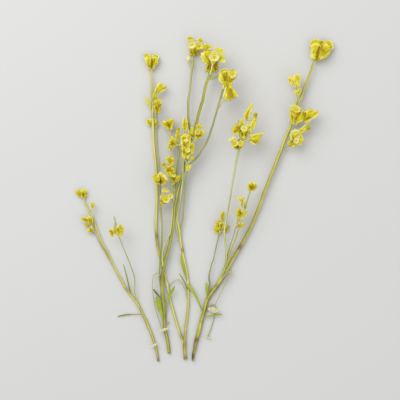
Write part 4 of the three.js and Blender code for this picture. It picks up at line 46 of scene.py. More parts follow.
# name, parent, [across, along, width, height mm] from base to tip
STEMS = [
  ["stem_a","",[[158.3,361.0,2.2,1.5],[157.8,358.0,2.21,1.51],[156.4,350.0,2.24,1.54],[155.0,345.0,2.25,1.55],[153.6,340.0,2.27,1.57],[152.0,335.0,2.29,1.59],[150.2,330.0,2.3,1.62],[148.2,325.0,2.3,1.68],[146.0,320.0,2.3,1.73],[143.4,315.0,2.3,1.79],[141.0,310.0,2.3,1.84],[138.0,304.5,2.3,1.9],[131.0,295.5,2.26,2.02],[125.5,288.0,2.23,2.11],[119.5,277.0,2.19,2.23],[113.0,265.0,2.14,2.32],[106.5,251.0,2.08,2.39],[103.3,245.0,2.04,2.37],[101.3,241.0,2.01,2.35],[99.0,235.0,1.96,2.33],[96.5,229.0,1.92,2.31],[94.8,223.0,1.87,2.29],[93.0,219.0,1.82,2.27],[91.3,216.0,1.79,2.26],[89.8,213.0,1.75,2.25],[88.3,210.0,1.72,2.24],[86.8,207.0,1.69,2.23],[85.3,204.0,1.65,2.22],[84.4,201.0,1.62,2.21],[84.3,198.8,1.6,2.2]]],
  ["branch_a_side","stem_a",[[138.6,305.2,1.3,2.4],[137.2,302.0,1.29,2.92],[136.3,299.0,1.27,3.4],[135.4,296.0,1.26,3.87],[134.7,293.0,1.25,4.33],[134.4,289.0,1.23,4.93],[134.7,285.0,1.21,5.53],[134.8,281.0,1.2,6.19],[134.6,278.0,1.18,6.82],[133.9,275.0,1.17,7.46],[133.0,272.0,1.16,8.11],[132.0,269.0,1.14,8.77],[130.8,266.0,1.13,9.45],[129.7,263.0,1.12,10.11],[128.5,260.0,1.1,10.79],[127.3,257.0,1.09,11.56],[126.2,254.0,1.08,12.36],[124.8,251.0,1.06,13.18],[123.6,248.0,1.05,13.99],[122.4,245.0,1.04,14.8],[121.2,242.0,1.02,15.61],[120.0,239.0,1.01,16.42],[119.3,236.8,1.0,17.0]]],
  ["strand_a_pale","stem_a",[[112.6,264.6,0.9,3.2],[109.5,260.0,0.9,2.92],[107.0,256.0,0.9,2.68],[105.0,252.2,0.9,2.47],[102.6,248.2,0.9,2.23],[100.4,244.5,0.88,2.42],[98.5,241.0,0.86,2.66],[97.1,238.0,0.84,2.86],[95.9,235.5,0.83,3.03],[94.5,232.5,0.81,3.23],[93.6,229.8,0.8,3.4]]],
  ["stem_b","",[[169.2,353.2,2.9,1.9],[168.7,350.0,2.92,1.99],[168.2,345.0,2.95,2.13],[167.3,340.0,2.98,2.27],[166.3,335.0,3.01,2.42],[165.2,330.0,3.05,2.6],[164.5,325.0,3.08,2.83],[164.3,320.0,3.11,3.08],[164.0,315.0,3.14,3.42],[163.5,310.0,3.17,3.8],[163.3,305.0,3.2,4.22],[162.8,300.0,3.23,4.65],[162.3,295.0,3.26,5.09],[162.0,290.0,3.29,5.52],[162.0,280.0,3.27,5.83],[162.2,275.0,3.26,5.95],[163.2,270.0,3.24,6.08],[163.9,265.0,3.22,6.2],[165.2,260.0,3.21,6.33],[166.8,255.0,3.19,6.47],[168.2,250.0,3.18,6.63],[169.4,245.0,3.16,6.79],[170.7,240.0,3.14,6.95],[171.3,235.0,3.13,7.11],[172.5,230.0,3.11,7.27],[173.3,225.0,3.1,7.43],[173.8,220.0,3.08,7.58],[174.3,215.0,3.07,7.74],[174.6,210.0,3.05,7.89],[175.2,205.0,3.04,8.05],[176.5,200.0,3.02,8.21],[177.3,195.0,3.0,8.36],[178.5,190.0,3.0,8.6],[179.8,185.0,3.0,8.85],[180.9,180.0,3.0,9.11],[182.2,175.0,3.0,9.36],[183.8,170.0,3.0,9.62],[185.2,165.0,3.0,9.88],[186.6,160.0,3.0,10.17],[187.9,155.0,3.0,10.49],[189.1,150.0,3.0,10.81],[190.3,145.0,3.0,11.13],[191.3,140.0,3.0,11.44],[192.8,135.0,3.0,11.77],[194.5,130.0,3.0,12.09],[195.8,125.0,3.0,12.41],[197.3,120.0,3.0,12.74],[198.3,115.0,3.0,13.05],[199.8,110.0,3.0,13.38],[201.2,105.0,3.0,13.7],[202.8,100.0,2.99,14.02],[204.7,90.0,2.84,14.49],[206.8,82.0,2.71,14.87],[208.0,79.0,2.66,15.02],[209.0,76.0,2.61,15.17],[209.7,73.0,2.56,15.31],[210.2,69.0,2.5,15.5]]],
  ["branch_s1","stem_b",[[191.4,141.0,2.0,11.0],[190.8,137.0,2.06,10.9],[190.3,133.0,2.11,10.81],[190.0,130.0,2.16,10.74],[189.3,125.0,2.23,10.62],[188.7,120.0,2.3,10.5],[188.4,115.0,2.28,10.03],[188.3,110.0,2.25,9.55],[188.3,105.0,2.23,9.08],[188.6,98.0,2.19,8.41],[189.2,95.0,2.14,8.08],[189.8,90.0,2.07,7.53],[190.3,85.0,2.0,6.98],[190.8,80.0,1.93,6.44],[191.2,75.0,1.9,6.07],[191.8,70.0,1.9,5.83],[192.2,68.0,1.9,5.73],[192.6,65.0,1.9,5.59],[193.1,60.0,1.9,5.35],[193.4,56.8,1.9,5.2]]],
  ["branch_k","stem_b",[[163.2,268.0,2.0,6.23],[162.5,260.0,2.0,7.58],[162.4,255.0,2.0,8.36],[163.0,250.0,2.0,8.76],[164.7,245.0,1.87,8.83],[166.8,240.0,1.73,9.18],[168.3,237.0,1.64,9.46],[169.6,235.0,1.58,9.62],[170.4,232.0,1.5,9.76],[171.1,228.0,1.48,9.88],[171.7,222.0,1.44,10.08],[172.2,216.0,1.41,10.38],[172.6,210.0,1.38,10.7],[172.7,203.0,1.34,11.08],[172.3,200.0,1.33,11.24],[172.0,195.0,1.3,11.51],[171.7,190.0,1.27,11.77],[171.2,185.0,1.25,12.04],[170.9,180.0,1.22,12.31],[170.6,176.5,1.2,12.5]]],
  ["branch_e","stem_b",[[160.8,287.5,1.4,5.4],[160.1,283.0,1.42,5.55],[159.8,280.0,1.43,5.64],[159.6,275.0,1.45,5.8],[159.6,270.0,1.47,5.96],[159.9,265.0,1.49,6.12],[160.3,260.0,1.53,6.26],[161.0,255.0,1.59,6.38],[161.5,250.0,1.65,6.51],[161.7,245.0,1.71,6.63],[162.0,240.0,1.77,6.75],[162.1,230.0,1.83,6.99],[162.0,225.0,1.85,7.11],[161.6,220.0,1.87,7.23],[161.2,215.0,1.89,7.35],[160.7,210.0,1.87,7.47],[160.5,205.0,1.81,7.59],[160.0,195.0,1.68,7.83],[160.0,185.0,1.56,8.07],[159.8,178.0,1.48,8.24],[159.6,170.0,1.38,8.43],[159.5,165.0,1.32,8.55],[159.0,160.0,1.3,8.67],[158.3,155.0,1.3,8.79],[157.9,150.0,1.3,8.91],[157.5,145.0,1.3,9.04],[157.4,140.0,1.3,9.16],[157.2,135.0,1.34,9.25],[157.2,130.0,1.4,9.33],[157.2,125.0,1.46,9.41],[157.3,120.0,1.52,9.49],[157.2,115.0,1.58,9.57],[157.3,113.2,1.6,9.6]]],
  ["stem_c","",[[185.2,357.5,3.2,2.3],[184.8,354.0,3.09,2.26],[184.4,350.0,2.96,2.21],[184.4,345.0,2.8,2.15],[184.7,340.0,2.65,2.09],[185.0,335.0,2.49,2.03],[185.3,330.0,2.38,1.97],[185.8,325.0,2.34,1.91],[186.5,320.0,2.3,1.85],[187.2,315.0,2.26,1.79],[187.8,310.0,2.22,1.74],[188.2,305.0,2.22,1.72],[188.3,300.0,2.26,1.76],[188.3,290.0,2.33,1.83],[188.2,285.0,2.37,1.87],[187.7,280.0,2.41,1.93],[187.0,275.0,2.43,2.03],[186.3,270.0,2.45,2.13],[185.3,265.0,2.47,2.23],[184.2,260.0,2.49,2.33],[183.2,255.0,2.5,2.46],[182.3,250.0,2.5,2.62],[181.3,245.0,2.5,2.78],[180.5,240.0,2.5,2.94],[180.0,235.0,2.5,3.1],[179.3,230.0,2.49,3.25],[178.2,225.0,2.47,3.42],[177.4,220.0,2.45,3.58],[177.0,215.0,2.43,3.73],[176.6,210.0,2.41,3.89],[176.0,200.0,2.37,4.21],[175.2,195.0,2.35,4.37],[174.8,190.0,2.33,4.53],[174.6,185.0,2.31,4.68],[174.3,180.0,2.28,4.84],[174.0,170.0,2.17,5.16],[173.8,165.0,2.11,5.32],[173.3,160.0,2.05,5.48],[172.3,156.0,2.0,5.61],[171.5,152.0,1.9,5.75],[170.9,148.0,1.8,5.89],[170.8,140.0,1.61,6.18],[170.4,135.0,1.5,6.36],[169.8,131.0,1.4,6.5]]],
  ["stem_c_left","stem_c",[[183.9,344.0,2.2,2.0],[182.3,340.0,2.23,1.96],[180.5,335.0,2.26,1.91],[178.8,330.0,2.3,1.86],[177.2,325.0,2.33,1.8],[175.8,320.0,2.36,1.75],[174.4,315.0,2.4,1.7],[173.0,310.0,2.42,1.68],[171.5,305.0,2.43,1.67],[170.2,300.0,2.45,1.69],[168.7,293.0,2.47,2.27],[168.1,290.0,2.48,2.81],[167.2,285.0,2.5,3.16],[165.8,280.0,2.52,2.38],[164.8,275.0,2.53,1.81],[163.2,270.0,2.55,1.75],[161.8,265.0,2.57,1.8],[160.7,260.0,2.58,1.85],[159.5,255.0,2.6,1.9],[158.2,250.0,2.58,1.98],[157.4,245.0,2.57,2.06],[156.8,240.0,2.55,2.14],[156.5,235.0,2.54,2.22],[156.0,230.0,2.52,2.31],[155.9,225.0,2.5,2.39],[156.0,220.0,2.5,2.47],[156.4,215.0,2.5,2.55],[156.6,210.0,2.5,2.63],[156.8,205.0,2.5,2.71],[157.1,200.0,2.5,2.79],[157.0,190.0,2.51,2.95],[157.0,185.0,2.53,3.03],[156.7,175.0,2.56,3.2],[156.3,170.0,2.58,3.28],[156.0,165.0,2.59,3.36],[155.5,160.0,2.62,3.45],[155.0,155.0,2.65,3.55],[154.4,150.0,2.68,3.64],[154.0,145.0,2.71,3.74],[153.6,140.0,2.75,3.84],[153.3,135.0,2.78,3.94],[153.0,130.0,2.79,4.03],[153.0,125.0,2.76,4.13],[152.8,120.0,2.72,4.23],[152.6,115.0,2.69,4.33],[152.5,110.0,2.66,4.42],[152.2,105.0,2.63,4.52],[152.0,100.0,2.57,4.61],[151.8,90.0,2.18,4.67],[151.4,80.0,1.79,4.74],[151.3,75.0,1.59,4.77],[151.3,72.0,1.48,4.79],[151.4,70.0,1.4,4.8]]],
  ["branch_hj","stem_c",[[181.2,247.0,1.3,2.63],[179.5,241.0,1.33,3.61],[178.2,236.0,1.35,4.36],[177.0,231.0,1.37,4.89],[176.2,226.0,1.39,5.46],[176.0,222.0,1.41,5.96],[176.8,218.0,1.43,6.48],[178.0,213.5,1.45,7.07],[178.9,210.0,1.47,7.53],[179.7,205.0,1.49,8.17],[180.4,200.0,1.52,8.77],[181.0,195.0,1.57,9.37],[181.6,190.0,1.61,10.11],[182.0,185.0,1.65,10.97],[182.5,180.0,1.7,11.81],[182.9,175.0,1.76,12.49],[183.1,170.0,1.83,12.92],[183.2,165.0,1.89,13.19],[183.0,160.0,1.96,13.65],[183.0,157.0,2.0,14.01]]],
  ["branch_i","stem_c",[[179.8,236.5,1.3,3.0],[180.5,230.0,1.33,3.75],[181.4,225.0,1.34,4.34],[182.4,220.0,1.36,4.92],[182.8,215.0,1.38,5.5],[183.2,210.0,1.4,6.08],[183.6,205.0,1.42,6.65],[183.9,200.0,1.44,7.23],[184.4,195.0,1.46,7.81],[184.6,190.0,1.48,8.38],[184.9,185.0,1.5,8.96],[185.5,180.0,1.55,9.54],[186.3,175.0,1.61,10.12],[187.3,170.0,1.67,10.71],[189.0,166.0,1.72,11.21],[191.5,162.3,1.77,11.72],[194.0,160.0,1.8,12.15],[196.5,158.0,1.8,12.64],[199.0,155.0,1.8,13.24],[202.0,150.0,1.8,14.13],[205.3,145.0,1.8,15.05],[207.8,140.0,1.8,15.91],[209.7,135.0,1.8,16.73],[211.2,130.0,1.8,17.53],[213.0,125.0,1.8,18.34],[214.3,120.0,1.8,19.14],[215.8,115.0,1.8,19.94],[217.2,110.0,1.78,20.73],[218.6,105.0,1.76,21.53],[219.8,101.0,1.75,22.17],[221.0,97.0,1.73,22.81],[222.0,93.0,1.71,23.44],[223.0,89.5,1.7,24.0]]],
  ["branch_t","stem_c",[[175.4,199.0,1.5,5.0],[175.9,190.0,1.64,5.96],[176.3,185.0,1.72,6.5],[176.6,180.0,1.8,7.03],[177.0,173.0,1.88,7.78],[177.4,168.0,1.93,8.32],[178.2,160.0,2.0,9.18],[178.6,155.0,2.0,9.71],[179.0,150.0,2.0,10.25],[179.3,146.0,2.0,10.68],[179.4,143.0,2.0,11.0]]],
  ["stem_d","",[[192.7,360.5,2.3,2.2],[193.0,357.0,2.52,2.2],[193.2,354.0,2.71,2.2],[194.2,350.0,2.96,2.2],[195.2,345.0,3.28,2.2],[196.3,340.0,3.6,2.2],[197.9,335.0,3.93,2.2],[199.2,330.0,4.0,2.2],[200.3,325.0,4.0,2.2],[201.6,320.0,4.0,2.2],[203.0,315.0,4.0,2.2],[204.3,310.0,4.0,2.2],[205.6,305.0,3.98,2.24],[207.1,300.0,3.94,2.32],[209.0,296.5,3.91,2.37],[211.0,293.5,3.89,2.43],[213.0,291.0,3.86,2.47],[215.0,288.3,3.84,2.52],[217.0,285.5,3.81,2.57],[219.0,282.2,3.77,2.63],[221.0,279.0,3.71,2.69],[223.2,275.7,3.66,2.74],[225.3,272.3,3.6,2.8],[227.5,269.0,3.54,2.86],[229.8,265.0,3.47,2.93],[232.0,261.0,3.4,3.0],[234.5,256.7,3.37,3.07],[237.0,252.3,3.33,3.14],[239.5,248.0,3.29,3.22],[242.0,243.8,3.26,3.29],[244.5,239.0,3.22,3.37],[247.0,234.0,3.19,3.48],[249.3,230.0,3.17,3.58],[251.0,226.0,3.15,3.67],[252.7,222.0,3.14,3.77],[254.5,218.0,3.12,3.87],[256.3,213.5,3.1,3.97],[258.2,209.0,3.11,4.08],[260.0,204.5,3.13,4.19],[261.6,200.0,3.15,4.29],[263.3,195.0,3.17,4.41],[265.3,190.0,3.19,4.53],[267.3,185.0,3.21,4.65],[269.2,180.0,3.23,4.76],[271.2,175.0,3.25,4.88],[273.3,170.0,3.27,5.0],[275.2,165.0,3.29,5.12],[277.2,160.0,3.29,5.24],[279.1,155.0,3.27,5.36],[281.2,150.0,3.25,5.48],[282.8,145.0,3.23,5.59],[284.6,140.5,3.22,5.7],[286.3,136.5,3.2,5.8],[288.0,132.5,3.17,5.86],[289.8,128.0,3.13,5.93],[291.0,124.5,3.11,5.99],[292.3,120.0,3.07,6.06],[294.3,114.0,3.03,6.15],[296.5,108.0,2.98,6.24],[298.0,104.0,2.95,6.3],[299.5,101.0,2.92,6.35],[301.0,98.0,2.9,6.4],[302.2,95.0,2.87,6.45],[303.2,92.0,2.85,6.5],[304.4,88.0,2.82,6.56],[305.6,85.0,2.79,6.61],[306.9,82.0,2.68,6.67],[308.1,79.0,2.57,6.73],[309.2,76.0,2.47,6.79],[310.4,73.0,2.36,6.85],[311.4,70.0,2.25,6.9],[312.2,67.0,2.15,6.96],[312.9,64.0,2.05,7.02],[313.8,62.0,1.98,7.06],[315.0,60.0,1.9,7.1]]],
  ["branch_x","stem_d",[[221.0,278.0,2.4,3.2],[223.0,272.0,2.33,3.99],[224.5,269.0,2.3,4.4],[225.5,266.0,2.26,4.8],[226.1,263.0,2.23,5.18],[226.3,260.0,2.2,5.56],[226.3,255.0,2.14,6.23],[226.1,250.0,2.09,6.91],[225.6,245.0,2.03,7.59],[225.0,240.0,1.98,8.24],[224.6,236.0,1.93,8.72],[224.3,232.0,1.89,9.2],[224.6,229.0,1.86,9.55],[225.0,226.0,1.83,9.91],[225.8,222.0,1.79,10.36],[226.3,218.0,1.77,10.76],[227.0,214.0,1.75,11.15],[228.0,210.0,1.72,11.55],[229.0,205.0,1.7,12.04],[229.8,200.0,1.67,12.45],[230.6,195.0,1.64,12.86],[231.3,190.0,1.62,13.27],[232.1,186.0,1.61,13.6],[233.3,179.0,1.69,14.18],[234.7,172.0,1.77,14.76],[235.6,167.0,1.86,15.17],[236.4,162.0,1.99,15.58],[237.5,157.0,2.13,16.0],[238.4,153.5,2.23,16.29],[238.9,151.0,2.3,16.5]]],
  ["branch_d_mid","branch_x",[[226.2,267.5,1.9,6.46],[227.2,264.0,1.85,7.54],[227.9,262.0,1.81,7.9],[228.5,259.0,1.77,8.09],[229.5,256.0,1.72,8.18],[230.5,253.0,1.68,8.4],[231.4,250.0,1.63,8.75],[232.5,247.0,1.58,9.19],[233.8,244.0,1.53,9.67],[235.0,241.0,1.5,10.14],[236.0,238.0,1.5,10.61],[237.0,235.0,1.5,11.08],[238.0,231.0,1.5,11.69],[238.6,229.0,1.5,12.0]]],
  ["strand_d_thin","branch_x",[[226.7,263.0,0.9,5.8],[227.3,258.0,0.9,5.91],[228.0,254.0,0.9,5.99],[228.9,250.0,0.9,6.08],[230.0,246.0,0.9,6.17],[231.0,243.0,0.9,6.39],[232.2,240.0,0.9,6.73],[233.3,236.0,0.9,7.17],[234.5,232.0,0.9,7.62],[235.4,229.0,0.9,7.95],[236.2,226.8,0.9,8.2]]],
  ["branch_d_left","stem_d",[[208.0,299.0,1.8,5.04],[208.4,294.0,1.74,4.89],[209.0,290.0,1.69,4.34],[209.4,287.0,1.65,4.07],[209.8,283.0,1.6,4.05],[209.2,280.0,1.55,4.12],[209.0,277.0,1.5,4.21],[209.5,273.0,1.42,4.36],[210.3,270.0,1.37,4.47],[211.0,267.0,1.31,4.58],[212.0,263.0,1.26,4.64],[213.3,260.0,1.22,4.68],[214.3,255.0,1.15,4.75],[215.5,250.0,1.1,4.79],[216.5,245.0,1.06,4.73],[217.7,240.0,1.03,4.67],[218.5,237.0,1.01,4.63],[218.9,234.6,1.0,4.6]]],
  ["pedicel_a","stem_a",[[138.4,306.2,1.0,3.82],[139.4,310.2,0.96,4.06],[141.0,314.0,0.92,4.2],[142.6,317.0,0.89,4.43],[144.0,320.0,0.85,4.61],[145.8,324.5,0.81,4.6],[147.4,328.0,0.8,4.6],[149.0,331.5,0.8,4.6],[150.2,334.5,0.8,4.65],[151.3,338.0,0.8,4.7],[152.6,341.8,0.8,4.76],[153.4,344.2,0.8,4.8]]],
  ["pedicel_n","branch_e",[[160.0,276.0,1.0,7.66],[158.5,273.4,0.99,7.58],[157.0,273.0,0.99,7.4],[155.3,273.7,0.98,7.17],[153.9,275.5,0.97,6.96],[153.0,278.0,0.96,6.88],[152.5,281.0,0.96,6.94],[152.3,285.0,0.94,6.71],[152.4,290.0,0.93,6.08],[153.0,295.0,0.91,5.46],[153.6,300.0,0.9,5.0],[154.8,305.0,0.9,5.0],[156.0,311.0,0.9,5.0],[157.4,316.0,0.9,5.16],[159.0,320.0,0.9,5.53],[160.2,324.0,0.9,5.9],[161.4,327.6,0.9,6.23],[162.2,329.4,0.9,6.4]]],
  ["pedicel_m","stem_c",[[187.6,298.5,1.2,2.4],[186.4,294.0,1.14,3.28],[185.7,291.0,1.11,3.86],[184.5,288.0,1.07,4.47],[183.0,284.7,1.03,4.34],[181.5,282.0,0.99,4.21],[180.0,280.5,0.98,4.11],[178.0,279.6,0.97,4.01],[176.0,279.8,0.96,3.63],[174.5,280.5,0.95,3.27],[172.5,282.0,0.93,2.73],[170.5,284.3,0.91,2.07],[169.1,286.0,0.9,1.6]]],
  ["pedicel_m2","stem_b",[[164.6,299.5,1.0,4.4],[166.3,302.0,0.98,3.96],[166.7,306.0,0.95,3.37],[166.4,310.0,0.92,2.45],[166.2,318.0,0.9,1.35],[166.4,322.0,0.9,1.4],[167.3,323.6,0.9,1.56],[168.5,323.2,0.9,1.67],[168.9,321.7,0.9,1.8]]],
  ["pedicel_d1","stem_d",[[222.4,278.0,1.6,5.56],[225.6,274.3,1.49,5.53],[228.0,272.0,1.41,5.22],[229.8,270.8,1.36,5.16],[231.3,270.5,1.33,5.21],[231.2,272.3,1.29,5.26],[230.0,274.6,1.23,5.17],[226.6,281.0,1.1,5.04],[224.3,285.0,1.02,4.86],[222.1,290.0,0.92,4.44],[219.8,294.5,0.9,4.06],[217.7,299.0,0.9,3.87],[216.2,302.0,0.9,3.77],[215.2,305.0,0.9,3.67],[214.9,307.4,0.9,3.6]]],
  ["pedicel_d2","stem_d",[[205.6,312.4,1.0,1.9],[208.6,308.2,0.97,1.58],[210.6,306.2,0.95,1.4],[212.3,304.5,0.93,1.25],[213.8,304.6,0.92,1.19],[214.9,306.3,0.91,1.18],[215.4,309.5,0.89,1.15],[215.0,313.5,0.86,1.11],[214.3,317.0,0.83,1.1],[213.5,320.0,0.81,1.1],[212.4,323.5,0.8,1.1],[211.3,327.0,0.8,1.19],[210.0,331.0,0.8,1.43],[208.8,334.0,0.8,1.62],[208.1,336.2,0.8,1.75]]],
]

LEAVES = [
  ["leaf_b_dark","stem_b",[[161.2,298.2,0.7,4.6],[158.5,295.6,1.29,3.99],[156.5,293.3,1.56,3.04],[154.8,291.0,1.27,2.3],[153.0,289.0,0.4,1.6]]],
  ["leaf_b_lime","stem_b",[[163.1,319.0,1.2,6.91],[162.0,315.0,2.16,6.86],[160.8,311.0,3.32,6.48],[159.6,307.0,4.58,5.93],[158.5,303.0,5.16,4.99],[157.7,300.0,4.4,4.13],[157.2,298.0,2.78,3.45],[156.9,296.8,1.8,3.04]]],
  ["leaf_b_right","stem_b",[[164.6,303.6,0.9,5.18],[166.2,301.0,1.35,5.83],[167.6,298.8,2.16,6.21],[169.2,296.0,2.82,6.61],[171.0,293.0,3.1,6.94],[172.6,290.5,2.82,7.21],[174.0,288.0,1.71,7.08],[174.9,286.2,0.6,7.0]]],
  ["leaf_c_lime","stem_c",[[186.8,279.0,0.8,4.4],[185.4,275.0,1.87,4.59],[184.1,270.0,2.5,4.77],[182.9,266.0,2.95,4.58],[181.9,262.0,2.88,4.39],[181.4,258.0,2.0,4.04],[181.2,255.5,1.19,3.83],[181.2,253.5,0.5,3.65]]],
  ["leaf_c_thin","stem_c",[[187.0,289.0,0.7,2.6],[185.2,284.0,0.95,4.34],[184.0,281.0,1.0,5.44],[182.5,278.5,0.94,6.44],[181.0,276.0,0.75,7.44],[179.2,273.5,0.4,8.5]]],
  ["leaf_c_long","stem_c",[[188.5,284.3,2.4,3.2],[190.0,286.7,3.11,3.91],[192.0,289.5,3.15,4.76],[194.0,292.8,2.76,5.57],[196.0,296.3,2.31,6.27],[197.8,299.8,1.99,6.75],[199.2,303.0,1.79,7.01],[200.5,306.5,1.58,7.14],[201.6,310.0,1.35,6.95],[202.4,313.0,1.0,6.8]]],
  ["leaf_d_tip","stem_d",[[208.2,298.6,1.5,3.0],[207.9,294.5,2.97,2.22],[207.5,290.5,3.6,1.78],[207.1,287.0,3.04,1.73],[206.6,284.5,1.89,2.02],[206.2,283.0,1.0,2.2]]],
  ["leaf_d_right","stem_d",[[203.6,317.8,0.8,2.6],[206.5,316.8,1.08,2.98],[210.0,316.0,1.51,3.42],[213.5,315.3,1.7,3.97],[217.0,314.8,1.63,4.4],[220.0,314.5,1.27,4.4],[222.8,314.4,0.5,4.4]]],
  ["leaf_a_olive","stem_a",[[130.9,295.2,1.4,2.8],[129.8,290.0,1.37,3.49],[129.0,287.0,1.29,3.9],[128.2,283.0,1.2,4.43],[127.3,279.0,1.19,4.97],[126.3,275.0,1.1,5.51],[125.3,271.0,1.08,5.98],[124.3,267.0,0.87,6.45],[123.3,264.0,0.4,6.8]]],
  ["leaf_a_stray","stem_a",[[142.9,314.4,0.55,2.0],[138.0,314.3,0.5,1.77],[132.5,314.4,0.66,1.52],[129.0,314.5,1.01,1.35],[126.0,314.8,1.22,1.21],[123.0,315.4,1.22,1.14],[120.0,315.9,0.93,1.06],[117.3,316.6,0.4,1.0]]],
]

